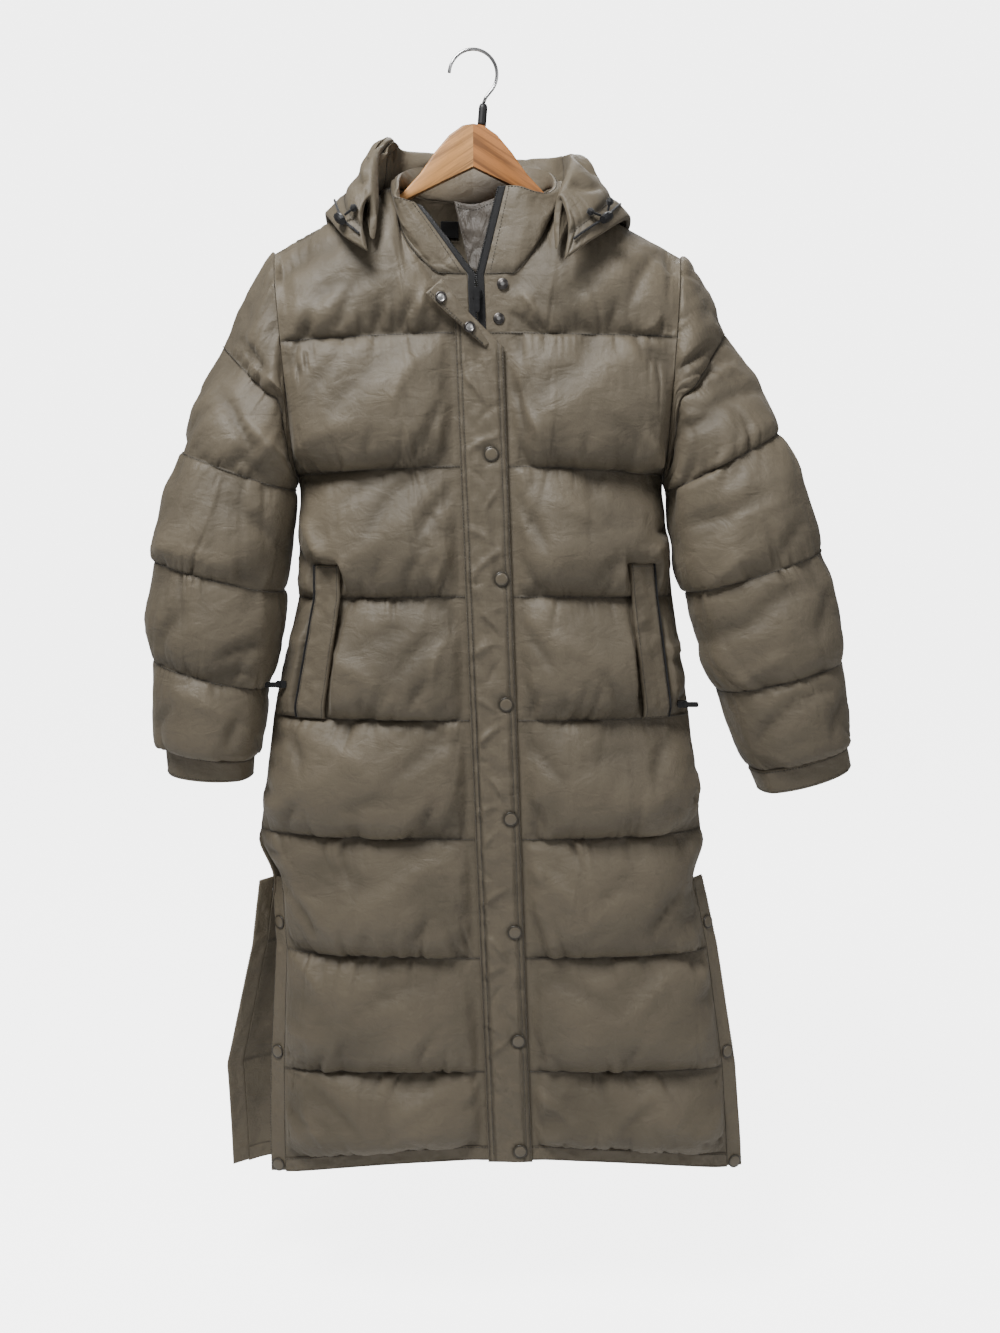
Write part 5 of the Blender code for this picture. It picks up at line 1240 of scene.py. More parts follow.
def wood_finish(name, colour):
    """Oiled pale hardwood: long grain along each arm, pores and soft growth bands."""
    made = Finish(name, Roughness=0.45, Coat_Weight=0.18, Coat_Roughness=0.3)
    grain = made.place("UV")
    bands = made.noise(made.stretched(grain, (5.0, 130.0, 1.0)), 1.0, 4.0, 0.6, 0.7)
    fibres = made.noise(made.stretched(grain, (40.0, 1900.0, 1.0)), 1.0, 3.0, 0.6)
    pores = made.noise(made.stretched(grain, (140.0, 2400.0, 1.0)), 1.0, 2.0, 0.5)
    base = made.blend(bands.above(0.38, 0.62), shade(colour, 0.5), shade(colour, 1.18))
    base = made.blend(fibres.above(0.45, 0.75) * 0.35, base, shade(colour, 0.6))
    base = made.blend(pores.above(0.62, 0.7) * 0.4, base, shade(colour, 0.4))
    normal = made.bump(fibres + pores * 0.6, 0.00014, 0.6)
    return made.feed(Base_Color=base, Roughness=0.38 + fibres * 0.2, Normal=normal)


def braid_finish(colour):
    """Braided round cord: two sets of crossed strands on the cord's own map."""
    made = Finish("cord_braid", Roughness=0.7, Sheen_Weight=0.3, Specular_IOR_Level=0.3)
    cut = made.place("UV")
    one = made.wave(cut, 420.0, "DIAGONAL")
    other = made.wave(made.stretched(cut, (-1.0, 1.0, 1.0)), 420.0, "DIAGONAL")
    strands = one * other
    base = made.blend(strands, shade(colour, 0.7), shade(colour, 2.6))
    return made.feed(Base_Color=base, Roughness=0.6 + strands * 0.2,
                     Normal=made.bump(strands, 0.0004, 0.9))


FINISHES = {}


def finish(name):
    """The named finish, made once from the panel's settings."""
    if name not in FINISHES:
        settings = bpy.context.scene.coat_dresser
        makers = {
            "shell": lambda: shell_finish(settings),
            "lining": lambda: lining_finish(settings),
            "tape": lambda: webbing_finish("zip_webbing", settings.tape_colour, 620.0),
            "label": lambda: webbing_finish("label_satin", settings.tape_colour, 1500.0, 0.5),
            # the thread is the shell's colour darkened to a third: painted shade of the stitch channels
            "thread": lambda: webbing_finish("sewing_thread", shade(settings.shell_colour, 0.34),
                                             1400.0),
            "trim": lambda: plastic_finish("trim_plastic", settings.tape_colour, 0.38),
            "hook_sleeve": lambda: plastic_finish("hook_sleeve_vinyl", settings.tape_colour, 0.5),
            "teeth": lambda: plastic_finish("zip_teeth", settings.tape_colour, 0.3),
            "metal": lambda: metal_finish("snap_metal", (0.13, 0.12, 0.115), 0.3, 900.0),
            "chrome": lambda: metal_finish("hook_chrome", (0.70, 0.70, 0.71), 0.16, 500.0),
            "enamel": lambda: painted_snap_finish(settings),
            "wood_right": lambda: wood_finish("hanger_wood_right", settings.wood_colour),
            "wood_left": lambda: wood_finish("hanger_wood_left",
                                             (0.42, 0.165, 0.045)),
            "cord": lambda: braid_finish(settings.tape_colour),
        }
        FINISHES[name] = makers[name]()
    return FINISHES[name]


# ---------------------------------------------------------------- small parts made many times
def stitches(name, rows, pitch=3.4, length=2.5, width=0.75, height=0.4):
    """Thread along rows of (points, normals): one spindle for each stitch, with two square rings
    between its pointed ends."""
    places, alongs, outs = [], [], []
    for points, normals in rows:
        steps = np.linalg.norm(np.diff(points, axis=0), axis=1)
        run = np.concatenate([[0.0], np.cumsum(steps)])
        marks = np.arange(pitch, run[-1] - pitch, pitch)
        spot = np.stack([np.interp(marks, run, points[:, k]) for k in range(3)], axis=-1)
        ahead = np.stack([np.interp(marks + 1.0, run, points[:, k]) for k in range(3)], axis=-1)
        out = unit(np.stack([np.interp(marks, run, normals[:, k]) for k in range(3)], axis=-1))
        places.append(spot + out * 0.1)
        alongs.append(unit(ahead - spot))
        outs.append(out)
    place, along, out = (np.concatenate(v) for v in (places, alongs, outs))
    side = unit(np.cross(along, out))
    ring = [(-0.32, s, h) for s, h in ((-1, -0.3), (1, -0.3), (0.7, 1), (-0.7, 1))]
    ring += [(0.32, s, h) for _, s, h in ring]
    table = np.array([(-0.5, 0, 0)] + ring + [(0.5, 0, 0)], float)
    points = (place[:, None] + along[:, None] * table[:, :1] * length
              + side[:, None] * table[:, 1:2] * width / 2.0 + out[:, None] * table[:, 2:] * height)
    faces = []
    for k in range(4):
        n = (k + 1) % 4
        faces += [(0, 1 + k, 1 + n), (9, 5 + n, 5 + k),
                  (1 + k, 5 + k, 5 + n), (1 + k, 5 + n, 1 + n)]
    return many(name, points, faces, finish("thread"))


def many(name, points, faces, material):
    """One mesh from copies of a small solid: points is copies x corners, in mm."""
    copies, corners = points.shape[:2]
    faces = np.array(faces)[None] + (np.arange(copies) * corners)[:, None, None]
    return solid(name, points.reshape(-1, 3) * MM, faces.reshape(-1, faces.shape[-1]), material,
                 points.reshape(-1, 3)[:, [0, 2]] * MM)


def blocks(name, places, along, across, out, size, material):
    """One mesh of small bars with chamfered tops: length along, width across and height out."""
    corners = np.array([(-1, -1, 0), (1, -1, 0), (1, 1, 0), (-1, 1, 0),
                        (-0.7, -0.8, 1), (0.7, -0.8, 1), (0.7, 0.8, 1), (-0.7, 0.8, 1)], float)
    points = (places[:, None] + along[:, None] * corners[:, :1] * size[0] / 2.0
              + across[:, None] * corners[:, 1:2] * size[1] / 2.0
              + out[:, None] * corners[:, 2:] * size[2])
    faces = [(3, 2, 1, 0), (4, 5, 6, 7), (0, 1, 5, 4), (1, 2, 6, 5), (2, 3, 7, 6), (3, 0, 4, 7)]
    return many(name, points, faces, material)


def turned(name, seats, profile, material, painted_shade_highlight_and_chrome, sides=40):
    """Round pieces turned about their own axes: a profile of (radius, height) pairs, first on the
    seat and last at the middle, swept round once for each (centre, direction). Points between the
    given pair of radii are stored for the finish: painted shade round the enamel caps' rims, the
    sockets' chrome middles and a painted highlight on the studs' middles."""
    turns = np.linspace(0.0, 2.0 * np.pi, sides, endpoint=False)
    radius, height = np.array(profile, float).T
    count = len(profile)
    all_points = []
    for centre, axis in seats:
        axis = unit(axis)
        side = unit(np.cross(axis, (0.0, 0.0, 1.0)))
        up = np.cross(side, axis)
        around = np.cos(turns)[:, None] * side + np.sin(turns)[:, None] * up
        rings = (np.asarray(centre) + around[None] * radius[:, None, None]
                 + axis * height[:, None, None])
        ends = np.asarray(centre) + axis * np.array([height[0], height[-1]])[:, None]
        all_points.append(np.concatenate([rings.reshape(-1, 3), ends]))
    ids = np.arange(count * sides).reshape(count, sides)
    here, after = ids, np.roll(ids, -1, axis=1)
    a, b = here[:-1], after[:-1]
    c, d = after[1:], here[1:]
    faces = np.concatenate([np.stack([b, a, d], -1).reshape(-1, 3),
                            np.stack([b, d, c], -1).reshape(-1, 3)])
    low, top = count * sides, count * sides + 1
    foot = np.stack([here[0], after[0], np.full(sides, low)], -1)
    cap = np.stack([after[-1], here[-1], np.full(sides, top)], -1)
    faces = np.concatenate([faces, foot, cap])
    piece = many(name, np.array(all_points), faces, material)
    inside = (radius >= painted_shade_highlight_and_chrome[0]) & (radius <= painted_shade_highlight_and_chrome[1])
    flags = np.concatenate([np.repeat(inside, sides), [0.0, inside[-1]]])
    paint(piece, "painted_shade_highlight_and_chrome", np.tile(flags, len(seats)))
    return piece


def bar(name, path, radius, sides, material, radii=None):
    """Round bar along a path in mm: a circle carried along it without twist, closed at both ends.
    Its map holds the distance round and along in metres."""
    path = np.asarray(path, float)
    along = unit(np.gradient(path, axis=0))
    side = np.zeros_like(path)
    guess = unit(np.cross(along[0], (0.31, 0.87, 0.17)))
    for k, direction in enumerate(along):
        guess = unit(guess - direction * np.dot(guess, direction))
        side[k] = guess
    up = np.cross(along, side)
    turns = np.linspace(0.0, 2.0 * np.pi, sides, endpoint=False)
    size = np.full(len(path), radius) if radii is None else np.asarray(radii, float)
    rings = path[:, None] + size[:, None, None] * (np.cos(turns)[None, :, None] * side[:, None]
                                                   + np.sin(turns)[None, :, None] * up[:, None])
    points = np.concatenate([rings.reshape(-1, 3), path[[0, -1]]])
    ids = np.arange(len(path) * sides).reshape(len(path), sides)
    after = np.roll(ids, -1, axis=1)
    a, b, c, d = ids[:-1], after[:-1], after[1:], ids[1:]
    first, last = len(path) * sides, len(path) * sides + 1
    faces = np.concatenate([
        np.stack([a, b, c], -1).reshape(-1, 3), np.stack([a, c, d], -1).reshape(-1, 3),
        np.stack([after[0], ids[0], np.full(sides, first)], -1),
        np.stack([ids[-1], after[-1], np.full(sides, last)], -1)])
    run = np.concatenate([[0.0], np.cumsum(np.linalg.norm(np.diff(path, axis=0), axis=1))])
    flat = np.stack(np.broadcast_arrays(turns[None] * radius, run[:, None]), -1).reshape(-1, 2)
    flat = np.concatenate([flat, [(0.0, run[0]), (0.0, run[-1])]]) * MM
    return solid(name, points * MM, faces, material, flat)


def paint(obj, name, values):
    """Stores one number per point for the finish to read."""
    layer = obj.data.attributes.new(name, "FLOAT", "POINT")
    count = len(obj.data.vertices)
    flat = np.asarray(values, np.float32).ravel()
    layer.data.foreach_set("value", np.resize(flat, count) if len(flat) < count else flat[:count])


def tucked(grid, reach, axis):
    """A strip's grid whose first and last rows or columns reach further out, under the seams."""
    grid = np.moveaxis(grid.copy(), axis, 0)
    first, last = unit(grid[0] - grid[1]), unit(grid[-1] - grid[-2])
    grid[0] += first * reach
    grid[-1] += last * reach
    return np.moveaxis(grid, 0, axis)


def fine_strip(inner, outer, down, across, rim=2.0, ruffle=None, wrap=False):
    """Fine faces of a flat strip. Both grids are refined by smooth curves along and straight lines
    across; the wall thins to a rounded rim over the last few mm, and ruffle moves both faces."""
    rows = np.linspace(0.0, inner.shape[0] - 1.0, down)
    if wrap:
        cols = np.arange(inner.shape[1] * across) / across
    else:
        cols = np.linspace(0.0, inner.shape[1] - 1.0, across)
    near = spline(spline(inner, rows), cols, 1, wrap)
    far = spline(spline(outer, rows), cols, 1, wrap)
    middle, half = (near + far) / 2.0, (far - near) / 2.0
    u, v = run_lengths(middle, 1), run_lengths(middle, 0)
    edge = np.minimum(v, v[-1:] - v)
    if not wrap:
        edge = np.minimum(edge, np.minimum(u, u[:, -1:] - u))
    round_off = np.sqrt(np.clip(1.0 - (1.0 - np.clip(edge / rim, 0.0, 1.0)) ** 2, 0.0, 1.0))
    half = half * np.clip(round_off, 0.12, 1.0)[..., None]
    if ruffle is not None:
        middle = middle + unit(far - near) * ruffle(u, v, edge, middle)[..., None]
    return middle + half, middle - half, (u, v)


def column_row(grid, column, offset=0.0):
    """Path down a fine grid at a column, with the face's normals."""
    normals = grid_normals(grid)
    index = int(round(column * (grid.shape[1] - 1)))
    return grid[:, index] + normals[:, index] * offset, normals[:, index]


def across_row(grid, row):
    """Path across a fine grid at a share of its rows, with the face's normals."""
    normals = grid_normals(grid)
    index = int(round(row * (grid.shape[0] - 1)))
    return grid[index], normals[index]


def folded(x, z, table):
    """Soft creases listed in a table: each row of the table is one, as its middle x and z, lean in
    degrees, length, width and height in mm (below 0 for a trough). Its height falls off as a bell
    across it and smoothly along it, and it bows by a tenth of its length."""
    total = np.zeros_like(x)
    for mid_x, mid_z, lean, length, width, height in table:
        turn = math.radians(lean)
        along = (x - mid_x) * math.cos(turn) + (z - mid_z) * math.sin(turn)
        over = (z - mid_z) * math.cos(turn) - (x - mid_x) * math.sin(turn)
        share = along / (length / 2.0)
        over = over + 0.1 * length * (share ** 2 - 0.3)
        fade = np.clip(1.0 - share ** 2, 0.0, 1.0) ** 1.5
        wide = width * (0.5 + 0.35 * (1.0 - share) / 2.0)
        total += 2.3 * height * np.exp(-np.abs(over / wide) ** 1.4) * fade
    return total


# ---------------------------------------------------------------- what the panel offers
class CoatSettings(bpy.types.PropertyGroup):
    """Colours and cloth behaviour of the whole coat."""
    shell_colour: FloatVectorProperty(
        name="Shell", description="Colour of the outer cloth", subtype="COLOR",
        default=(0.140, 0.116, 0.080), min=0.0, max=1.0)
    lining_colour: FloatVectorProperty(
        name="Lining", description="Colour of the cloth inside the neck", subtype="COLOR",
        default=(0.058, 0.046, 0.034), min=0.0, max=1.0)
    tape_colour: FloatVectorProperty(
        name="Trim", description="Colour of zip tape, cords and moulded parts", subtype="COLOR",
        default=(0.011, 0.011, 0.012), min=0.0, max=1.0)
    wood_colour: FloatVectorProperty(
        name="Wood", description="Colour of the hanger", subtype="COLOR",
        default=(0.62, 0.30, 0.10), min=0.0, max=1.0)
    gather_height: FloatProperty(
        name="Gathers", description="Height of the puckers along the seams",
        default=0.0062, min=0.0, max=0.01, unit="LENGTH", precision=4)
    crease_height: FloatProperty(
        name="Slack", description="Height of the slack cloth's soft folds",
        default=0.0042, min=0.0, max=0.01, unit="LENGTH", precision=4)


class StageSettings(bpy.types.PropertyGroup):
    """Camera and light round the coat."""
    camera_place: FloatVectorProperty(
        name="Camera", description="Where the camera stands", subtype="TRANSLATION",
        default=(0.0292, -1.433, -0.4578), unit="LENGTH")
    camera_tilt: FloatProperty(
        name="Tilt", description="Turn of the camera up from straight down",
        default=math.radians(81.5), unit="ROTATION")
    camera_lens: FloatProperty(
        name="Lens", description="Focal length", default=33.76, min=10.0, unit="CAMERA")
    key_power: FloatProperty(
        name="Main light", description="Power of the large light above", default=56.0, min=0.0,
        unit="POWER")
    ambient: FloatProperty(
        name="Ambient", description="Strength of the light from all round", default=0.2, min=0.0)
    surround: FloatProperty(
        name="Surround", description="Brightness of the bare surroundings", default=4.5, min=0.0)
    floor_drop: FloatProperty(
        name="Floor", description="Gap between the hem and the floor", default=0.16, min=0.0,
        unit="LENGTH")


def settings():
    return bpy.context.scene.coat_dresser


# ---------------------------------------------------------------- listed creases
# columns: x, z, lean in degrees, length, width, height (below 0 for a trough), in mm
FRONT_FOLDS = {
    "right": (
        (-128, -268, 62, 92, 9, -3.4), (-96, -280, 70, 70, 8, -3.0), (-70, -284, 66, 60, 7, -2.6),
        (-150, -262, 40, 80, 11, -3.0), (-176, -226, 24, 110, 12, -2.6), (-52, -272, 74, 50, 6, 2.2),
        (-175, -300, 62, 40, 7, -4.0), (-182, -330, 66, 64, 8, 3.4), (-158, -345, 48, 70, 9, -2.4),
        (-120, -352, 40, 110, 11, -2.2), (-72, -350, 58, 80, 8, 2.2), (-40, -392, 66, 90, 8, -2.6),
        (-150, -400, 14, 90, 12, 1.8), (-60, -425, 74, 46, 7, -2.6), (-110, -418, 80, 50, 8, -1.8),
        (-40, -490, 52, 100, 9, -3.2), (-84, -480, 48, 120, 10, -2.6), (-128, -478, 42, 110, 11, -2.2),
        (-168, -520, -58, 80, 10, 3.0), (-184, -548, -42, 70, 9, -3.2), (-150, -540, -34, 80, 9, 2.4),
        (-60, -545, 60, 90, 8, -2.8), (-100, -555, 74, 60, 8, -2.0), (-36, -560, 70, 60, 6, 2.4),
        (-52, -636, 40, 110, 10, -2.6), (-98, -628, 24, 100, 10, -2.0), (-132, -660, -30, 80, 9, 2.2),
        (-60, -690, 62, 70, 8, -2.4), (-40, -655, 76, 60, 6, 2.2), (-120, -702, 80, 36, 8, -2.2),
        (-60, -765, 34, 130, 11, -2.4), (-150, -758, -22, 110, 12, 2.2), (-196, -760, -60, 60, 9, -3.0),
        (-110, -812, 14, 120, 12, -2.0), (-52, -830, 66, 60, 7, -2.6), (-200, -830, 60, 60, 9, -2.4),
        (-70, -905, 28, 120, 11, 2.2), (-150, -900, -18, 90, 12, -2.0), (-58, -960, 58, 80, 8, -2.4),
        (-190, -950, -54, 80, 9, -2.8), (-120, -975, 74, 50, 8, -1.8), (-190, -1030, -44, 80, 9, 2.6),
        (-90, -1040, 22, 130, 12, -2.0), (-55, -1100, 60, 70, 8, -2.4), (-150, -1110, 70, 46, 8, -2.0),
        (-70, -1180, 30, 100, 10, 2.0), (-160, -1190, -30, 90, 10, -2.2), (-190, -1205, -50, 60, 8, 2.0),
    ),
    "left": (
        (52, -292, -34, 56, 6, -2.8), (60, -272, -52, 44, 6, 2.4), (74, -300, -68, 40, 6, -2.4),
        (110, -262, 22, 90, 11, -1.8), (176, -250, 62, 90, 11, -2.6), (150, -285, 76, 50, 9, -2.2),
        (190, -300, 50, 50, 9, 2.8), (46, -372, -70, 100, 7, -3.4), (60, -392, -58, 80, 7, 2.6),
        (90, -350, 30, 90, 11, -2.0), (160, -400, -36, 70, 10, -2.2), (120, -420, 80, 40, 8, -1.8),
        (54, -432, -74, 44, 6, -2.8), (196, -420, -60, 60, 9, 3.0), (60, -500, -52, 90, 9, -3.0),
        (110, -490, -28, 100, 11, 2.0), (150, -545, 40, 70, 9, -2.4), (190, -540, 56, 70, 9, 3.0),
        (62, -560, -60, 60, 7, -2.6), (140, -505, 12, 80, 11, -1.8), (64, -632, -46, 90, 9, -2.6),
        (110, -640, -22, 80, 10, 2.0), (146, -680, -60, 60, 9, -2.4), (60, -690, -64, 60, 7, -2.2),
        (100, -702, 76, 34, 8, -2.0), (70, -760, -40, 110, 10, -2.6), (140, -765, 16, 120, 12, -2.0),
        (205, -765, 58, 70, 9, -3.0), (70, -830, -60, 60, 8, -2.4), (170, -835, 70, 44, 8, -2.0),
        (80, -905, -30, 110, 11, 2.2), (160, -915, 20, 90, 12, -1.8), (210, -950, 52, 70, 9, -2.6),
        (70, -965, -60, 70, 8, -2.4), (120, -1040, -20, 120, 12, -2.0), (200, -1045, 40, 80, 9, 2.4),
        (72, -1105, -62, 60, 8, -2.4), (180, -1110, 66, 50, 8, -2.0), (90, -1180, -28, 90, 10, 2.0),
        (190, -1190, 34, 80, 9, -2.4),
    ),
}
BACK_FOLDS = (
    (-150, -240, 42, 120, 12, -3.0), (-90, -270, 70, 70, 9, -2.4), (20, -262, 84, 50, 9, -2.0),
    (120, -240, -38, 110, 12, -2.8), (170, -290, -64, 60, 9, 2.8), (60, -285, -72, 50, 8, -2.2),
    (-170, -370, 56, 100, 11, -3.2), (-60, -380, 18, 140, 13, -2.0), (70, -400, -14, 130, 13, -2.0),
    (170, -380, -52, 100, 10, 3.0), (-120, -500, 34, 120, 12, -2.4), (10, -520, -10, 120, 12, 1.8),
    (130, -500, -36, 110, 11, -2.4), (-190, -540, -50, 70, 9, -3.0), (195, -540, 50, 70, 9, -3.0),
    (-80, -640, 22, 150, 13, -2.2), (60, -650, -26, 130, 12, -2.2), (-180, -690, 62, 60, 9, 2.6),
    (180, -680, -60, 70, 9, -2.6), (-40, -770, -16, 150, 13, -2.0), (110, -780, 24, 120, 12, 2.0),
    (-160, -790, 48, 90, 10, -2.6), (-100, -910, 20, 130, 12, -2.2), (40, -920, -22, 130, 13, -2.0),
    (170, -930, -46, 80, 10, -2.6), (-200, -960, 52, 70, 9, 2.6), (-60, -1060, -14, 140, 13, -2.0),
    (90, -1080, 26, 120, 12, -2.2), (-190, -1100, 44, 80, 10, -2.4), (30, -1210, -18, 120, 11, 2.0),
    (-130, -1220, 28, 100, 11, -2.2), (160, -1220, -34, 90, 10, -2.2),
)
SLEEVE_FOLDS = {
    "right": (
        (-256, -262, -52, 90, 10, -3.2), (-232, -330, -50, 90, 8, -4.2), (-216, -352, -54, 70, 7, 3.6),
        (-252, -400, -62, 110, 9, -4.0), (-228, -420, -58, 90, 8, 3.6), (-238, -448, -56, 60, 8, -3.4),
        (-300, -400, 42, 90, 11, -2.4), (-290, -350, 70, 60, 9, -2.6), (-320, -452, 76, 40, 9, -2.4),
        (-240, -505, -48, 90, 10, -2.8), (-300, -540, -16, 110, 12, 1.8), (-250, -566, -60, 50, 9, -3.0),
        (-340, -560, 66, 50, 9, -2.2), (-262, -640, 20, 60, 9, -3.4), (-330, -620, 56, 70, 10, -2.2),
        (-268, -668, 8, 50, 8, -2.8), (-300, -700, -34, 90, 11, 2.0), (-340, -720, 60, 60, 9, -2.2),
        (-275, -735, 70, 50, 8, -2.4),
    ),
    "left": (
        (262, -258, 48, 90, 10, -3.0), (232, -330, 40, 70, 8, -4.0), (258, -352, 30, 80, 8, 3.2),
        (280, -372, 22, 90, 9, -3.6), (240, -400, 24, 70, 8, -3.2), (300, -430, 46, 90, 10, -2.6),
        (262, -452, 32, 80, 9, 3.2), (300, -480, 30, 90, 9, -3.6), (256, -498, 20, 60, 8, -3.4),
        (340, -520, 60, 80, 10, -2.4), (290, -545, 44, 90, 9, 2.8), (330, -590, 34, 110, 10, -3.0),
        (290, -620, 28, 80, 9, -3.0), (380, -600, 70, 70, 10, -2.2), (320, -660, 40, 80, 9, 2.6),
        (360, -700, 30, 90, 10, -2.4), (330, -730, 64, 60, 8, -2.6), (400, -720, 70, 60, 9, -2.0),
    ),
}
HOOD_FOLDS = (      # share of the way round and share from the neck to the edge, by 1000
    (110, 640, 60, 260, 30, -3.0), (190, 560, 80, 300, 26, -3.4), (235, 600, 96, 260, 24, 2.8),
    (290, 520, 70, 240, 30, -3.0), (400, 640, 30, 300, 34, -2.8), (500, 560, -12, 320, 34, -2.6),
    (600, 640, -30, 300, 32, -2.8), (700, 520, -72, 240, 28, -3.2), (765, 600, -92, 280, 24, 3.0),
    (815, 560, -84, 260, 24, -3.2), (890, 640, -60, 260, 30, -3.0), (330, 850, 8, 200, 26, 2.4),
    (660, 850, -8, 220, 26, -2.6), (840, 300, 70, 160, 20, -2.6), (160, 300, -70, 160, 20, -2.6),
    (450, 250, 60, 160, 24, -2.2), (560, 270, -60, 160, 24, -2.2),
)

MADE = {}       # fine grids that later pieces are laid on


def panels():
    """The three body panels' coarse grids, as the CAD has them."""
    if "fronts" not in MADE:
        MADE["fronts"] = {side: front_panel(side) for side in ("right", "left")}
        MADE["back"] = back_panel()
    return MADE["fronts"], MADE["back"]


def collar():
    fronts, back = panels()
    return collar_grids(fronts["left"], fronts["right"], back)


def seam_thread(name, outer, baffles, body="coat"):
    """Stitching down in the seams of a quilted piece."""
    normals = grid_normals(outer)
    rows = [(outer[k * BAFFLE_ROWS], normals[k * BAFFLE_ROWS]) for k in range(1, baffles)]
    return dress(stitches(name, rows), body, "shell")


def seam_shade_of(share, fold):
    """How much painted shade a point gets, from 0 to 1: most in the seams and at the bottom of pleats.
    """
    near = np.minimum(share, 1.0 - share)[:, None]
    return np.clip(np.exp(-(near / 0.02) ** 2) + np.clip(-fold / 9.0, 0.0, 0.6), 0.0, 1.0)


class CoatOperator(bpy.types.Operator):
    """Base for the pieces: each makes its own and raises an error when it can't."""
    bl_options = {"REGISTER", "UNDO"}

    def execute(self, context):
        self.make(context.scene.coat_dresser)
        return {"FINISHED"}


class COAT_OT_stage(CoatOperator):
    """Camera, floor, backdrop and soft light"""
    bl_idname = "coat.stage"
    bl_label = "Stage"

    def make(self, _):
        stage = bpy.context.scene.coat_stage
        camera = bpy.data.cameras.new("camera")
        camera.lens, camera.sensor_width, camera.sensor_fit = stage.camera_lens, 36.0, "AUTO"
        eye = bpy.data.objects.new("camera", camera)
        eye.location = stage.camera_place
        eye.rotation_euler = (stage.camera_tilt, 0.0, 0.0)
        bpy.context.scene.collection.objects.link(eye)
        bpy.context.scene.camera = eye
        floor_z = CAD_BOX[0][2] - stage.floor_drop
        points = np.array([(x, y, floor_z) for y in (-14.0, 14.0) for x in (-14.0, 14.0)])
        floor = Finish("floor_paint", Roughness=0.95, Specular_IOR_Level=0.1)
        fibre = floor.noise(floor.place(), 40.0, 3.0, 0.6)
        floor.feed(Base_Color=floor.blend(fibre, (0.86, 0.86, 0.855), (0.9, 0.9, 0.895)))
        self.brighten(floor, "Material Output", "Surface", stage.surround, floor.shader.outputs[0])
        solid("floor", points, [(0, 1, 3, 2)], floor.material)
        world = bpy.data.worlds.new("studio")
        world.use_nodes = True
        sky = world.node_tree.nodes["Background"]
        sky.inputs["Color"].default_value = (1.0, 1.0, 1.0, 1.0)
        sky.inputs["Strength"].default_value = stage.ambient
        around = Finish.__new__(Finish)
        around.nodes, around.links = world.node_tree.nodes, world.node_tree.links
        self.brighten(around, "World Output", "Surface", stage.surround, sky.outputs[0])
        bpy.context.scene.world = world
        self.light("key", (-0.6, -1.0, 1.1), (0.0, 0.0, -0.5), stage.key_power, 0.8)
        self.light("fill", (1.7, -1.5, 0.2), (0.0, 0.0, -0.7), stage.key_power * 0.14, 1.4)
        self.light("rim", (0.3, 1.6, 1.6), (0.0, 0.0, -0.4), stage.key_power * 0.35, 1.2)

    @staticmethod
    def brighten(made, output, socket, strength, lit):
        """Adds plain white to what is seen directly, so that the surroundings stay near white
        without lighting the coat."""
        path = made.nodes.new("ShaderNodeLightPath")
        glow = made.nodes.new("ShaderNodeEmission")
        seen = Wire(made, path.outputs["Is Camera Ray"]) * strength
        made.links.new(seen.socket, glow.inputs["Strength"])
        both = made.nodes.new("ShaderNodeAddShader")
        made.links.new(lit, both.inputs[0])
        made.links.new(glow.outputs[0], both.inputs[1])
        made.links.new(both.outputs[0], made.nodes[output].inputs[socket])

    @staticmethod
    def light(name, place, target, power, size):
        lamp = bpy.data.lights.new(name, "AREA")
        lamp.shape, lamp.size, lamp.energy = "DISK", size, power
        obj = bpy.data.objects.new(name, lamp)
        obj.location = place
        aim = Vector(target) - Vector(place)
        obj.rotation_euler = aim.to_track_quat("-Z", "Y").to_euler()
        bpy.context.scene.collection.objects.link(obj)


class COAT_OT_hood_cords(CoatOperator):
    """Drawcords in the hood's edge, their locks and ends"""
    bl_idname = "coat.hood_cords"
    bl_label = "Hood cords"

    def make(self, _):
        inner, outer = hood_grids()
        for side, (start, end, row, _, tips) in HOOD_CORDS.items():
            columns = np.linspace(start, end, 13)
            base = np.array([on_grid(outer, row, c) for c in columns])
            under = np.array([on_grid(inner, row, c) for c in columns])
            route = base + unit(base - under) * (CORD_RADIUS + CORD_LIFT)
            route = spline(route, np.linspace(0.0, 12.0, 61))
            cord = bar("hood_cord_" + side + "_braid", route, CORD_RADIUS, 14, finish("cord"))
            names = ["cord_lock_" + side]
            names += [f"cord_end_{side}_{k}" for k in range(1, len(tips) + 1)]
            dress(cord, "coat", "cord", "hood_cord_" + side)
            tuple(route[0] * MM)
            route * MM
        for name, material in (("cord_lock", "trim"), ("cord_end", "cord")):
            for node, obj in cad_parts.items():
                if node.startswith(name):
                    recoat(obj, finish(material))


def recoat(obj, material):
    """Gives a CAD node's object a finish in place of its plain one."""
    for slot in obj.material_slots:
        slot.material = material


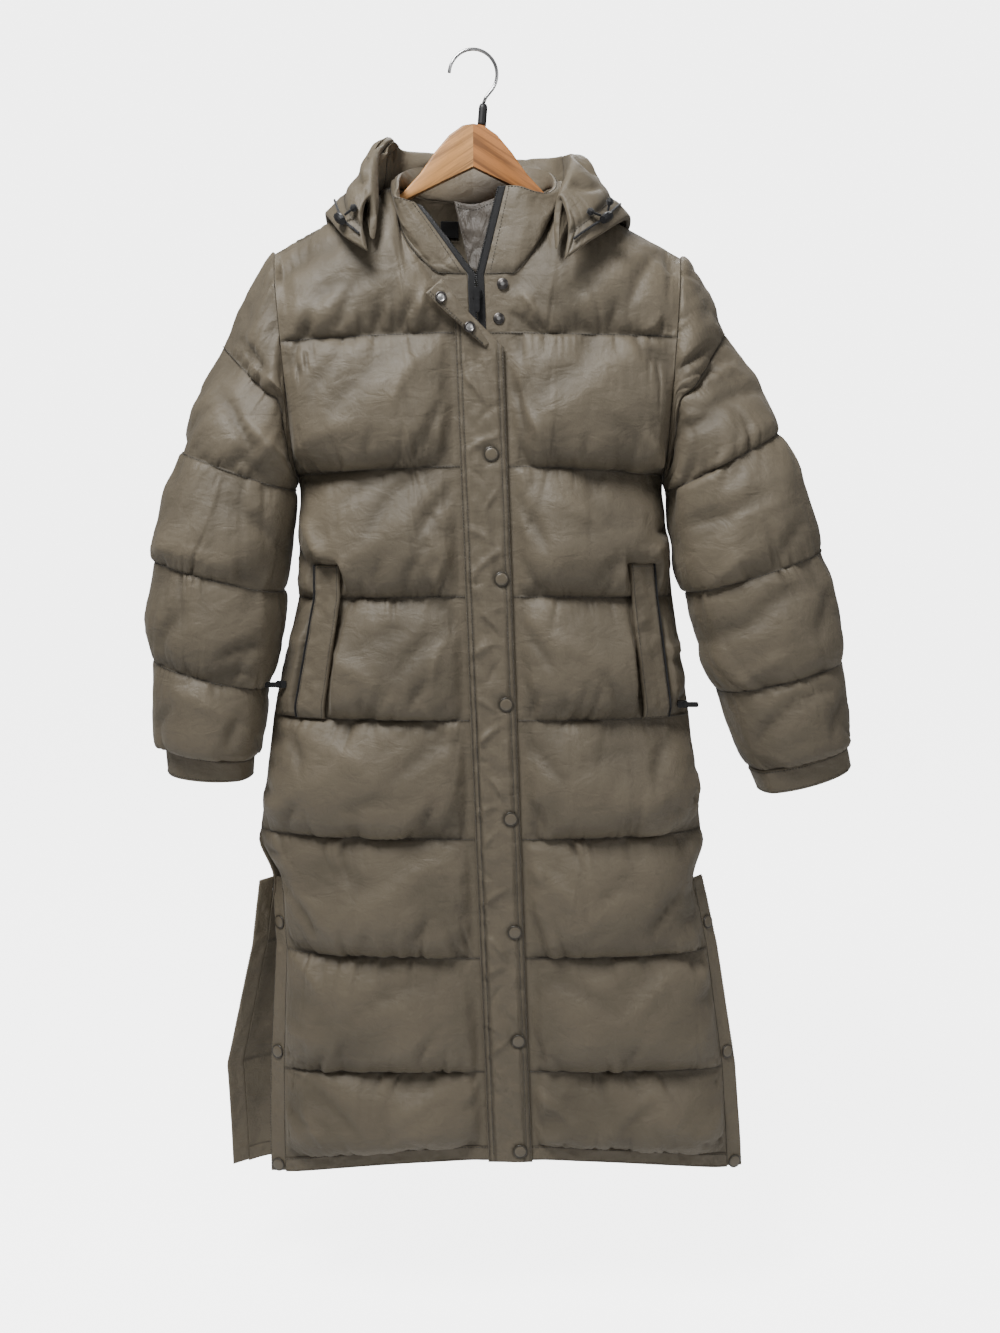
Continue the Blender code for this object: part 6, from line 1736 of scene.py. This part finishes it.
def quilted(name, node, grids, column_shares, folds, seed, thread=True, wells=None):
    """One quilted panel: fine wall, creases, paint and seam thread."""
    inner, _, normal = grids
    baffles = (inner.shape[0] - 1) // (len(ROW_SHARES) - 1)
    heights = [YOKE_LOFT] + [BODY_LOFT] * (baffles - 1)
    outer, lining, fold = padded_wall(
        inner, normal, column_shares, heights, baffles, seed, settings(),
        lambda base: folded(base[..., 0], base[..., 2], folds), bed=wells)
    share = fine_rows(baffles)[1]
    piece = closed_mesh(name, outer, lining, finish("shell"))
    # painted shade in the seams and at the bottom of pleats
    paint(piece, "painted_shade", seam_shade_of(share, fold))
    stain = np.exp(-(((outer[..., 0] + 46.0) / 9.0) ** 2 + ((outer[..., 2] + 812.0) / 14.0) ** 2))
    if node == "front_right":
        paint(piece, "mark", stain * (lattice_noise(outer[..., 0] / 5.0, outer[..., 2] / 7.0,
                                                    seed + 31) * 0.5 + 0.6))
    # lighter colour on the crests of the raised folds
    paint(piece, "fold_crest", np.clip(fold / 4.0 - 0.2, 0.0, 1.0))
    dress(piece, "coat", "shell", node)
    MADE[name] = outer
    if thread:
        seam_thread(name + "_stitching", outer, baffles)
    return piece


class COAT_OT_fronts(CoatOperator):
    """The two quilted fronts"""
    bl_idname = "coat.fronts"
    bl_label = "Fronts"

    def make(self, _):
        fronts, _back = panels()
        lofts = np.array([c[2] for c in FRONT_COLUMNS])
        for side in ("right", "left"):
            shares = lofts[::-1] if side == "right" else lofts
            cols = [c if side == "left" else len(FRONT_COLUMNS) - 1 - c for c in WELT_COLUMNS]

            def bed(filling, place, columns, cols=cols):
                per_baffle = len(ROW_SHARES) - 1
                top = WELT_TOP[0] * per_baffle + ROW_SHARES.index(WELT_TOP[1])
                foot = WELT_END[0] * per_baffle + per_baffle
                inside = smooth_step((place - top + 0.35) / 0.35)
                inside = inside * smooth_step((foot + 0.1 - place) / 0.3)
                low, high = min(cols), max(cols)
                beside = smooth_step((columns - low + 0.4) / 0.4)
                beside = beside * smooth_step((high + 0.4 - columns) / 0.4)
                held = inside[:, None] * beside[None]
                return filling * (1.0 - held) + np.minimum(filling, WELT_BED) * held

            quilted("front_" + side + "_quilted", "front_" + side, fronts[side], shares,
                    FRONT_FOLDS[side], 11 if side == "right" else 47, wells=bed)


class COAT_OT_back(CoatOperator):
    """The quilted back"""
    bl_idname = "coat.back"
    bl_label = "Back"

    def make(self, _):
        _fronts, back = panels()
        quilted("back_quilted", "back", back, np.array([c[1] for c in BACK_COLUMNS]), BACK_FOLDS,
                83)


class COAT_OT_sleeves(CoatOperator):
    """Quilted sleeves and their plain cuffs"""
    bl_idname = "coat.sleeves"
    bl_label = "Sleeves"

    def make(self, settings):
        fronts, back = panels()
        for side, seed in (("right", 131), ("left", 173)):
            inner, coarse, (turn, facing) = sleeve(side, fronts[side], back)
            normal = unit(coarse - inner)
            normal[1:] = grid_normals(inner, wrap=True)[1:]
            order = np.arange(len(turn))
            if side == "left":
                order = np.concatenate([[0], order[:0:-1]])
            around = turn[order]
            toward = ((1.0 - np.cos(around)) / 2.0) ** 2
            outward = ((1.0 + np.cos(around)) / 2.0) ** 2
            shares = 1.0 - 0.65 * toward - 0.5 * outward
            baffles = (inner.shape[0] - 1) // (len(ROW_SHARES) - 1)
            per_baffle = len(ROW_SHARES) - 1
            ends = inner[::per_baffle]
            room = np.linalg.norm(ends[1:] - ends[:-1], axis=-1)
            room = np.concatenate([np.repeat(room, per_baffle, axis=0), room[-1:]])
            lofts = np.minimum(SLEEVE_LOFT * shares, 0.3 * room) / SLEEVE_LOFT
            heights = [SLEEVE_LOFT * 1.25] * baffles
            outer, lining, fold = padded_wall(
                inner, normal, lofts, heights, baffles, seed, settings,
                lambda base, side=side: self.folds(base, side), wrap=True)
            number, share, _ = fine_rows(baffles)
            sign = -1.0 if side == "right" else 1.0
            beside = sign * outer[0, :, 0] + 0.15 * ARMHOLE_GAP
            near = number < ARMHOLE_BAFFLES
            edge = np.maximum(sign * outer[near, :, 0], beside)
            outer[near, :, 0] = sign * edge
            name = "sleeve_" + side + "_quilted"
            piece = closed_mesh(name, outer, lining, finish("shell"), wrap=True)
            # painted shade in the seams and at the bottom of pleats
            paint(piece, "painted_shade", seam_shade_of(share, fold))
            # lighter colour on the crests of the raised folds
            paint(piece, "fold_crest", np.clip(fold / 4.0 - 0.2, 0.0, 1.0))
            dress(piece, "coat", "shell", "sleeve_" + side)
            seam_thread(name + "_stitching", outer, baffles)
            self.cuff(side, turn, facing, order)

    @staticmethod
    def folds(base, side):
        """Listed folds on the sleeve's front, and their mirrored like on its back."""
        front = smooth_step(0.5 - (base[..., 1] + 10.0) / 40.0)
        mirrored = [(x, z - 34.0, -lean, length, width, height)
                    for x, z, lean, length, width, height in SLEEVE_FOLDS[side][::-1]]
        return (folded(base[..., 0], base[..., 2], SLEEVE_FOLDS[side]) * front
                + folded(base[..., 0], base[..., 2], mirrored) * (1.0 - front))

    def cuff(self, side, turn, facing, order):
        """Band round the wrist: a fine tube of cloth, wavy between its two rows of stitching."""
        first, last = (oval_ring(row, turn, facing)[order] for row in CUFF_RINGS[side])
        inner = np.array([first, first * 0.5 + last * 0.5, last])
        outer = inner + grid_normals(inner, wrap=True) * BAND_WALL

        def ruffle(u, v, edge, _middle):
            return 1.1 * lattice_noise(u / 11.0, v / 30.0, 5) * np.clip(edge / 4.0, 0.0, 1.0)

        far, near, _ = fine_strip(inner, outer, 15, 8, rim=2.5, ruffle=ruffle, wrap=True)
        piece = closed_mesh("cuff_" + side + "_band", far, near, finish("shell"), wrap=True)
        dress(piece, "coat", "shell", "cuff_" + side)
        normals = grid_normals(far, wrap=True)
        rows = [(far[k], normals[k]) for k in (2, 12)]
        dress(stitches("cuff_" + side + "_stitching", rows), "coat", "shell")


class COAT_OT_collar(CoatOperator):
    """Padded stand collar"""
    bl_idname = "coat.collar"
    bl_label = "Collar"

    def make(self, settings):
        inner, outer = collar()
        rows = np.linspace(0.0, inner.shape[0] - 1.0, 40)
        cols = np.linspace(0.0, inner.shape[1] - 1.0, (inner.shape[1] - 1) * 12 + 1)
        near, far = (spline(spline(g, rows), cols, 1) for g in (inner, outer))
        out = unit(far - near)
        u, v = run_lengths(far, 1), run_lengths(far, 0)
        top, foot = v, v[-1:] - v
        calm = np.clip(np.minimum(top, foot) / 9.0, 0.0, 1.0)
        calm = calm * np.clip(np.minimum(u, u[:, -1:] - u) / 9.0, 0.0, 1.0)
        fold = gathers(u, foot, 211, 2.2) + gathers(u + 90.0, top, 219, 1.4)
        fold += creases(u, v, 223, 2.4)
        far = far + out * (fold * calm)[..., None]
        near = near + out * (0.3 * fold * calm)[..., None]
        piece = closed_mesh("collar_padded", far, near, finish("shell"))
        # painted shade along the neck seam at the collar's foot
        paint(piece, "painted_shade", np.exp(-(foot / 7.0) ** 2))
        dress(piece, "coat", "shell", "collar")
        normals = grid_normals(far)
        picked = [(far[2], normals[2]), (far[-2], normals[-2])]
        picked += [(far[:, 4], normals[:, 4]), (far[:, -5], normals[:, -5])]
        dress(stitches("collar_stitching", picked), "coat", "shell")


class COAT_OT_hood(CoatOperator):
    """Folded-back hood with its seams, tucks and rolled edge"""
    bl_idname = "coat.hood"
    bl_label = "Hood"

    def make(self, settings):
        inner, outer = hood_grids()
        rows = np.linspace(0.0, inner.shape[0] - 1.0, 81)
        cols = np.linspace(0.0, inner.shape[1] - 1.0, 281)
        near, far = (spline(spline(g, rows), cols, 1) for g in (inner, outer))
        middle, out = (near + far) / 2.0, unit(far - near)
        across, down = np.meshgrid(np.linspace(0, 1, 281), np.linspace(0, 1, 81))
        u, v = run_lengths(middle, 1), run_lengths(middle, 0)
        seams = np.ones_like(across)
        for place in HOOD_SEAMS:
            seams *= 1.0 - np.exp(-(((across - place) * u[:, -1:]) / 5.0) ** 2)
        seams *= 1.0 - np.exp(-(((down - HOOD_BRIM) * v[-1:]) / 4.0) ** 2)
        rim = np.minimum(np.minimum(u, u[:, -1:] - u), np.minimum(v, v[-1:] - v))
        round_off = np.sqrt(np.clip(1.0 - (1.0 - np.clip(rim / 3.5, 0.0, 1.0)) ** 2, 0.0, 1.0))
        half = (1.3 + 2.4 * seams) * np.clip(round_off, 0.15, 1.0)
        fold = folded(across * 1000.0, down * 1000.0, HOOD_FOLDS)
        fold += gathers(u, v, 301, 1.3) + gathers(u, np.abs(down - HOOD_BRIM) * v[-1:], 307, 1.8)
        fold += creases(u, v, 311, 2.6)
        fold = fold * np.clip(rim / 8.0, 0.0, 1.0) * (0.4 + 0.6 * seams)
        middle = middle + out * fold[..., None]
        far, near = middle + out * half[..., None], middle - out * half[..., None]
        piece = closed_mesh("hood_folded", far, near, finish("shell"))
        # painted shade in the hood's seams and along the brim's seam
        paint(piece, "painted_shade", np.clip(1.0 - seams, 0.0, 1.0))
        dress(piece, "coat", "shell", "hood")
        MADE["hood"] = far
        normals = grid_normals(far)
        picked = []
        for place in HOOD_SEAMS:
            k = int(round(place * 280))
            picked += [(far[2:-2, k - 2], normals[2:-2, k - 2])]
        row = int(round(HOOD_BRIM * 80))
        picked += [(far[row, 3:-3], normals[row, 3:-3])]
        dress(stitches("hood_stitching", picked), "coat", "shell")


HOOD_SEAMS = (0.29, 0.71)       # share of the way round where the middle panel starts and ends
HOOD_BRIM = 0.82                # share of the way to the edge where the brim is sewn on


class COAT_OT_bands(CoatOperator):
    """Bands along the side slits and the hems"""
    bl_idname = "coat.bands"
    bl_label = "Bands and hems"

    def make(self, settings):
        fronts, back = panels()
        bands = {
            "slit_band_front_right": slit_band(fronts["right"], 0, 1, HEM_HEIGHT),
            "slit_band_front_left": slit_band(fronts["left"], -1, -2, HEM_HEIGHT),
            "slit_band_back_left": slit_band(back, 0, 1, HEM_HEIGHT),
            "slit_band_back_right": slit_band(back, -1, -2, HEM_HEIGHT),
        }
        for seed, (node, pair) in enumerate(bands.items(), start=401):
            inner, outer = (tucked(grid, 1.1, 1) for grid in pair)
            far, near, _ = fine_strip(inner, outer, 150, 13, rim=1.8, ruffle=ruffled(0.9, seed))
            piece = closed_mesh(node + "_cloth", far, near, finish("shell"))
            dress(piece, "coat", "shell", node)
            rows = [column_row(far, share) for share in (0.12, 0.88)]
            dress(stitches(node + "_stitching", rows), "coat", "shell")
        hems = {"hem_front_right": fronts["right"], "hem_front_left": fronts["left"],
                "hem_back": back}
        for seed, (node, grids) in enumerate(hems.items(), start=421):
            inner, outer = (tucked(tucked(grid, 1.1, 0), 1.1, 1) for grid in hem_band(grids))
            far, near, _ = fine_strip(inner, outer, 13, 160, rim=1.8, ruffle=ruffled(1.2, seed))
            piece = closed_mesh(node + "_cloth", far, near, finish("shell"))
            dress(piece, "coat", "shell", node)
            rows = [across_row(far, share) for share in (0.15, 0.85)]
            dress(stitches(node + "_stitching", rows), "coat", "shell")


def ruffled(height, seed, wide=11.0, tall=16.0):
    """Waves in a strip: random heights that die out towards its rims."""
    def ruffle(u, v, edge, _middle):
        waves = lattice_noise(u / wide, v / tall, seed) + 0.6 * lattice_noise(u / 5.0, v / 7.0,
                                                                             seed + 1)
        return height * waves * np.clip(edge / 3.5, 0.0, 1.0)
    return ruffle


class COAT_OT_placket(CoatOperator):
    """Storm flap over the zip and its turned-out corner"""
    bl_idname = "coat.placket"
    bl_label = "Placket"

    def make(self, settings):
        inner, outer = placket_grids()

        snaps = [np.mean(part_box(n), axis=0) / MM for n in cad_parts
                 if n.startswith("placket_snap")]

        def puckers(u, v, edge, middle):
            wide = u[:, -1:]
            lines = np.ones_like(u)
            for off in PLACKET_LINES:
                for place in (off, wide - off):
                    lines = lines * (1.0 - 0.85 * np.exp(-((u - place) / 1.6) ** 2))
            for snap in snaps:
                gap = np.hypot(middle[..., 0] - snap[0], middle[..., 2] - snap[2])
                lines = lines * (1.0 - np.exp(-(gap / 11.0) ** 4))
            free = lattice_noise((u + v * 0.5) / 17.0, (v - u * 0.8) / 26.0, 501)
            small = lattice_noise(u / 9.0 + 4.0, v / 12.0, 503)
            pulls = np.exp(-np.minimum(u, wide - u) / 11.0) * np.abs(
                lattice_noise(u / 40.0, (v + u * 0.6) / 9.0, 507))
            placed = folded(middle[..., 0], middle[..., 2], PLACKET_FOLDS)
            return (1.7 * (1.0 + free) * np.clip(edge / 12.0, 0.0, 1.0) + 0.9 * small
                    + 3.0 * pulls + placed) * lines * np.clip(edge / 4.0, 0.0, 1.0)

        far, near, _ = fine_strip(inner, outer, 330, 41, rim=1.8, ruffle=puckers)
        piece = closed_mesh("placket_flap", far, near, finish("shell"))
        # painted shade along the rows of stitching and in a ring round each snap
        line_shade = np.zeros(far.shape[:2])
        u = run_lengths(far, 1)
        for off in PLACKET_LINES:
            for place in (off, u[:, -1:] - off):
                line_shade += 1.3 * np.exp(-((u - place) / 1.7) ** 2)
        for snap in snaps:
            gap = np.hypot(far[..., 0] - snap[0], far[..., 2] - snap[2])
            line_shade += 1.3 * np.exp(-((gap - 8.8) / 1.5) ** 2)
        paint(piece, "painted_shade", np.clip(line_shade, 0.0, 1.0))
        dress(piece, "coat", "shell", "placket")
        width = float(u[:, -1].mean())
        rows = [column_row(far, share) for off in PLACKET_LINES
                for share in (off / width, 1.0 - off / width)]
        rows = [(p[3:-3], n[3:-3]) for p, n in rows]
        dress(stitches("placket_stitching", rows), "coat", "shell")
        inner, outer = corner_grids()
        far, near, _ = fine_strip(inner, outer, 60, 31, rim=1.8, ruffle=ruffled(0.7, 521, 14, 14))
        piece = closed_mesh("placket_corner_turned", far, near, finish("shell"))
        dress(piece, "coat", "shell", "placket_corner")
        rows = [column_row(far, 0.13), column_row(far, 0.24)]
        dress(stitches("placket_corner_stitching", rows), "coat", "shell")
        MADE["corner"] = far


PLACKET_LINES = (3.0, 9.5)      # rows of stitching from each of the placket's long edges
PLACKET_FOLDS = (
    (2, -362, -52, 46, 4, 1.3), (18, -386, 34, 52, 4, -0.9), (8, -421, 28, 60, 5, 1.5),
    (2, -452, -38, 40, 4, -0.9), (20, -480, 58, 44, 4, 1.1), (6, -517, -24, 50, 5, 1.2),
    (14, -548, 42, 62, 5, 1.7), (2, -571, 12, 34, 3, -1.0), (18, -612, -46, 46, 4, 1.2),
    (6, -646, 36, 54, 5, 1.4), (22, -668, 62, 44, 4, -0.9), (10, -702, -30, 48, 4, 1.2),
    (14, -742, 44, 66, 5, 1.8), (4, -771, 8, 36, 4, -1.1), (24, -798, -58, 46, 4, 1.3),
    (8, -829, 30, 56, 5, 1.5), (16, -862, 52, 50, 4, 1.2), (10, -899, -34, 46, 4, -1.0),
    (18, -931, 40, 64, 5, 1.8), (8, -957, 14, 36, 4, 1.1), (26, -988, -50, 52, 4, 1.3),
    (14, -1022, 34, 58, 5, 1.6), (24, -1049, 66, 48, 4, -1.0), (14, -1083, -22, 44, 4, 1.2),
    (22, -1117, 46, 66, 5, 1.8), (30, -1146, -64, 44, 4, 1.2), (18, -1171, 26, 46, 4, -1.0),
)


class COAT_OT_pockets(CoatOperator):
    """Pocket welts with their stitching and zips"""
    bl_idname = "coat.pockets"
    bl_label = "Pockets"

    def make(self, settings):
        fronts, _back = panels()
        for seed, side in enumerate(("right", "left"), start=541):
            inner, outer = welt_grids(side, fronts[side])
            far, near, _ = fine_strip(inner, outer, 110, 17, rim=3.0, ruffle=ruffled(1.0, seed))
            piece = closed_mesh("pocket_welt_" + side + "_cloth", far, near, finish("shell"))
            dress(piece, "coat", "shell", "pocket_welt_" + side)
            rows = [column_row(far, 0.14), column_row(far, 0.86), across_row(far, 0.03),
                    across_row(far, 0.97)]
            dress(stitches("pocket_welt_" + side + "_stitching", rows), "coat", "shell")
            for node in ("pocket_slider_" + side, "pocket_pull_" + side):
                recoat(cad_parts[node], finish("trim"))
            self.zip_beside(side, far, near)

    def zip_beside(self, side, far, near):
        """Narrow tape that shows beside the welt's outer edge."""
        column = 0 if side == "right" else -1
        inward = 1 if side == "right" else -2
        out = unit(far - near)[:, column]
        away = unit(near[:, column] - near[:, inward])
        base = near[:, column] + away * 0.4
        grid = np.stack([base, base + away * 2.6], axis=1)
        if side == "right":
            grid = grid[:, ::-1]
        face = grid + out[:, None] * 0.9
        upper, under, _ = fine_strip(grid, face, 110, 7, rim=0.5)
        tape = closed_mesh("pocket_zip_tape_" + side, upper, under, finish("tape"))
        dress(tape, "coat", "zip_tape")


class COAT_OT_front_zip(CoatOperator):
    """Front zip: tapes, teeth, slider and pull tab"""
    bl_idname = "coat.front_zip"
    bl_label = "Front zip"

    def make(self, settings):
        fronts, _back = panels()
        grids = collar()
        for side in ("right", "left"):
            inner, outer = tape_grids(side, fronts[side], grids)
            far, near, _ = fine_strip(inner, outer, 330, 7, rim=0.7)
            piece = closed_mesh("zip_tape_" + side + "_woven", far, near, finish("tape"))
            dress(piece, "coat", "zip_tape", "zip_tape_" + side)
            edge = 0 if side == "left" else -1
            line, out = far[:, edge], unit(far - near)[:, 3]
            across = unit(far[:, edge] - far[:, 3])
            run = run_lengths(line, 0)
            marks = np.arange(2.0, run[-1] - 2.0, 2.0) + (0.0 if side == "left" else 1.0)
            place, across, out = (np.stack([np.interp(marks, run, v[:, k]) for k in range(3)], -1)
                                  for v in (line, across, out))
            place = place - across * 0.6 - out * 0.2
            along = unit(np.gradient(place, axis=0))
            teeth = blocks("zip_teeth_" + side, place, across, along, unit(out), (2.6, 1.1, 1.3),
                           finish("teeth"))
            dress(teeth, "coat", "zip_tape")
        for node in ("zip_slider", "zip_pull"):
            recoat(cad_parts[node], finish("trim"))


class COAT_OT_neck(CoatOperator):
    """Zip guard and plain label inside the neck"""
    bl_idname = "coat.neck"
    bl_label = "Inside the neck"

    def make(self, settings):
        inner, outer = guard_grids(collar())
        far, near, _ = fine_strip(inner, outer, 60, 25, rim=1.4, ruffle=ruffled(1.5, 571, 9, 14))
        piece = closed_mesh("zip_guard_cloth", far, near, finish("lining"))
        dress(piece, "coat", "lining", "zip_guard")
        dress(stitches("zip_guard_stitching", [column_row(far, 0.12), across_row(far, 0.1)]),
              "coat", "shell")
        inner, outer = label_grids(panels()[1])
        far, near, _ = fine_strip(inner, outer, 21, 23, rim=0.8, ruffle=ruffled(0.15, 577, 8, 8))
        piece = closed_mesh("neck_label_woven", far, near, finish("label"))
        dress(piece, "coat", "label", "neck_label")


SNAP_CAP = ((8.2, 0.0), (8.2, 0.9), (7.9, 1.35), (7.2, 1.55), (6.7, 1.35), (6.3, 1.5),
            (5.6, 1.95), (4.0, 2.15), (2.0, 2.2), (0.6, 2.2))
SOCKET_RING = ((6.0, 0.0), (6.0, 1.3), (5.6, 1.85), (4.9, 2.1), (4.3, 1.9), (3.9, 1.2),
               (3.6, 0.8), (3.0, 0.95), (1.6, 1.35), (0.4, 1.45))
STUD = ((6.0, 0.0), (6.0, 0.8), (5.4, 1.25), (3.9, 1.3), (3.3, 1.5), (3.1, 2.0), (2.6, 2.2),
        (1.2, 2.2), (0.3, 2.15))


class COAT_OT_snaps(CoatOperator):
    """Press snaps: enamelled caps, metal sockets and studs"""
    bl_idname = "coat.snaps"
    bl_label = "Snaps"

    def make(self, settings):
        # last column: radii that the finish paints: painted shade round the enamel caps' rims, the
        # sockets' chrome middles and a painted highlight on the studs' middles
        groups = (("placket_snap", SNAP_CAP, "enamel", "shell", (6.6, 8.4)),
                  ("slit_snap", SNAP_CAP, "enamel", "shell", (6.6, 8.4)),
                  ("snap_socket", SOCKET_RING, "metal", "snap_metal", (0.0, 3.7)),
                  ("snap_stud", STUD, "metal", "snap_metal", (0.0, 1.3)))
        for prefix, profile, material, slot, painted_shade_highlight_and_chrome in groups:
            nodes = sorted(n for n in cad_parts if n.startswith(prefix))
            seats = [self.seat(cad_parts[n]) for n in nodes]
            piece = turned(prefix + "_caps", seats, profile, finish(material), painted_shade_highlight_and_chrome)
            dress(piece, "coat", slot, *nodes)
        self.back_sockets()

    @staticmethod
    def seat(obj):
        """Centre of a CAD snap's flat back and the way it faces: the flat cap whose corners lie
        furthest out is the back."""
        count = len(obj.data.vertices)
        points = np.empty(count * 3)
        obj.data.vertices.foreach_get("co", points)
        points = np.unique(points.reshape(-1, 3).round(7), axis=0) / MM
        middle = points.mean(axis=0)
        spread = np.linalg.svd(points - middle)[2]
        axis = spread[2] if abs(spread[2][1]) > 0.3 else spread[0]
        axis = axis if axis[1] < 0.0 else -axis
        height = (points - middle) @ axis
        back = points[height < height.min() + 0.05]
        return back.mean(axis=0), axis

    def back_sockets(self):
        """Sockets on the back slit bands, which meet the front bands' caps when closed."""
        _fronts, back = panels()
        for side, column, inward in (("left", 0, 1), ("right", -1, -2)):
            inner, outer = slit_band(back, column, inward, HEM_HEIGHT)
            far, near, _ = fine_strip(inner, outer, 150, 13, rim=1.8)
            line, out = far[:, 6], unit(far - near)[:, 6]
            seats = []
            for z in SLIT_SNAP_Z[side]:
                k = int(np.argmin(np.abs(line[:, 2] - z)))
                seats.append((line[k] + out[k] * 1.1, out[k]))
            piece = turned("back_slit_socket_" + side, seats, SOCKET_RING, finish("metal"),
                           (0.0, 3.7))
            dress(piece, "coat", "snap_metal")


class COAT_OT_hanger(CoatOperator):
    """Wooden hanger with its hook"""
    bl_idname = "coat.hanger"
    bl_label = "Hanger"

    def make(self, settings):
        for side in ("right", "left"):
            node = "hanger_arm_" + side
            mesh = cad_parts[node].data.copy()
            mesh.name = node + "_wood"
            work = bmesh.new()
            work.from_mesh(mesh)
            bmesh.ops.remove_doubles(work, verts=work.verts, dist=1e-5)
            bmesh.ops.dissolve_limit(work, angle_limit=math.radians(2.0), verts=work.verts,
                                     edges=work.edges)
            edges = [e for e in work.edges if e.calc_face_angle(0.0) > math.radians(60.0)
                     and min(abs(v.co.x) for v in e.verts) > 0.0008]
            bmesh.ops.bevel(work, geom=edges, offset=0.0026, segments=4, profile=0.55,
                            affect="EDGES", clamp_overlap=True)
            bmesh.ops.recalc_face_normals(work, faces=work.faces)
            work.to_mesh(mesh)
            work.free()
            mesh.materials.clear()
            mesh.materials.append(finish("wood_" + side))
            points = np.empty(len(mesh.vertices) * 3)
            mesh.vertices.foreach_get("co", points)
            points = points.reshape(-1, 3)
            points[np.abs(points[:, 0]) < 0.0009, 0] *= 0.1
            mesh.vertices.foreach_set("co", points.ravel())
            lean = math.radians(-32.0 if side == "left" else 32.0)
            along = points[:, 0] * math.cos(lean) + points[:, 2] * math.sin(lean)
            up = points[:, 2] * math.cos(lean) - points[:, 0] * math.sin(lean)
            loops = np.empty(len(mesh.loops), np.int32)
            mesh.loops.foreach_get("vertex_index", loops)
            layer = mesh.uv_layers.new(name="grain")
            flat = np.stack([along + (3.0 if side == "left" else 0.0), up + points[:, 1] * 0.35], -1)
            layer.data.foreach_set("uv", flat[loops].astype(np.float32).ravel())
            mesh.polygons.foreach_set("use_smooth", np.ones(len(mesh.polygons), bool))
            obj = bpy.data.objects.new(mesh.name, mesh)
            bpy.context.scene.collection.objects.link(obj)
            obj.data.set_sharp_from_angle(angle=math.radians(38.0))
            dress(obj, "coat", "wood", node)
        turns = np.radians(np.linspace(HOOK_TURNS[0], HOOK_TURNS[1], 81))
        arc = np.stack([HOOK_RADIUS * np.cos(turns), 0.0 * turns,
                        HOOK_CENTRE_Z + HOOK_RADIUS * np.sin(turns)], axis=-1)
        foot = np.array([(HOOK_FOOT[0] + 2.6, 0.0, HOOK_FOOT[1] + 6.0),
                         (HOOK_FOOT[0], 0.0, HOOK_FOOT[1])])
        route = np.concatenate([arc, foot])
        dress(bar("hook_wire", route, HOOK_WIRE, 20, finish("chrome")), "coat", "hook", "hook")
        top = np.array([HOOK_FOOT[0], 0.0, HOOK_FOOT[1] - HOOK_WIRE / 2.0])
        low = np.array([SLEEVE_FOOT[0], 0.0, SLEEVE_FOOT[1]])
        steps = np.linspace(0.0, 1.0, 12)[:, None]
        radii = HOOK_SLEEVE_RADIUS * np.array([0.72, 0.93, 1, 1, 1, 1, 1, 1, 1, 1, 1, 1.0])
        sleeve_piece = bar("hook_sleeve_moulded", top * (1.0 - steps) + low * steps,
                           HOOK_SLEEVE_RADIUS, 28, finish("hook_sleeve"), radii)
        dress(sleeve_piece, "coat", "hook_sleeve", "hook_sleeve")


class COAT_PT_panel(bpy.types.Panel):
    """Lists the coat's pieces and settings"""
    bl_idname = "COAT_PT_panel"
    bl_label = "Coat"
    bl_space_type = "VIEW_3D"
    bl_region_type = "UI"
    bl_category = "Coat"

    def draw(self, context):
        for group, names in ((context.scene.coat_dresser, COAT_NAMES),
                             (context.scene.coat_stage, STAGE_NAMES)):
            for name in names:
                self.layout.prop(group, name)
        for operator in OPERATORS:
            self.layout.operator(operator.bl_idname)


COAT_NAMES = ("shell_colour", "lining_colour", "tape_colour", "wood_colour", "gather_height",
              "crease_height")
STAGE_NAMES = ("camera_place", "camera_tilt", "camera_lens", "key_power", "ambient", "surround",
               "floor_drop")
OPERATORS = (
    COAT_OT_stage, COAT_OT_hood_cords, COAT_OT_hanger, COAT_OT_fronts, COAT_OT_back,
    COAT_OT_sleeves, COAT_OT_collar, COAT_OT_hood, COAT_OT_bands, COAT_OT_placket,
    COAT_OT_pockets, COAT_OT_front_zip, COAT_OT_neck, COAT_OT_snaps,
)
CLASSES = (CoatSettings, StageSettings) + OPERATORS + (COAT_PT_panel,)


def register():
    for cls in CLASSES:
        bpy.utils.register_class(cls)
    bpy.types.Scene.coat_dresser = PointerProperty(type=CoatSettings)
    bpy.types.Scene.coat_stage = PointerProperty(type=StageSettings)


def unregister():
    del bpy.types.Scene.coat_stage
    del bpy.types.Scene.coat_dresser
    for cls in reversed(CLASSES):
        bpy.utils.unregister_class(cls)


def main():
    register()
    for operator in OPERATORS:
        group, name = operator.bl_idname.split(".")
        getattr(getattr(bpy.ops, group), name)()


if __name__ == "__main__":
    main()
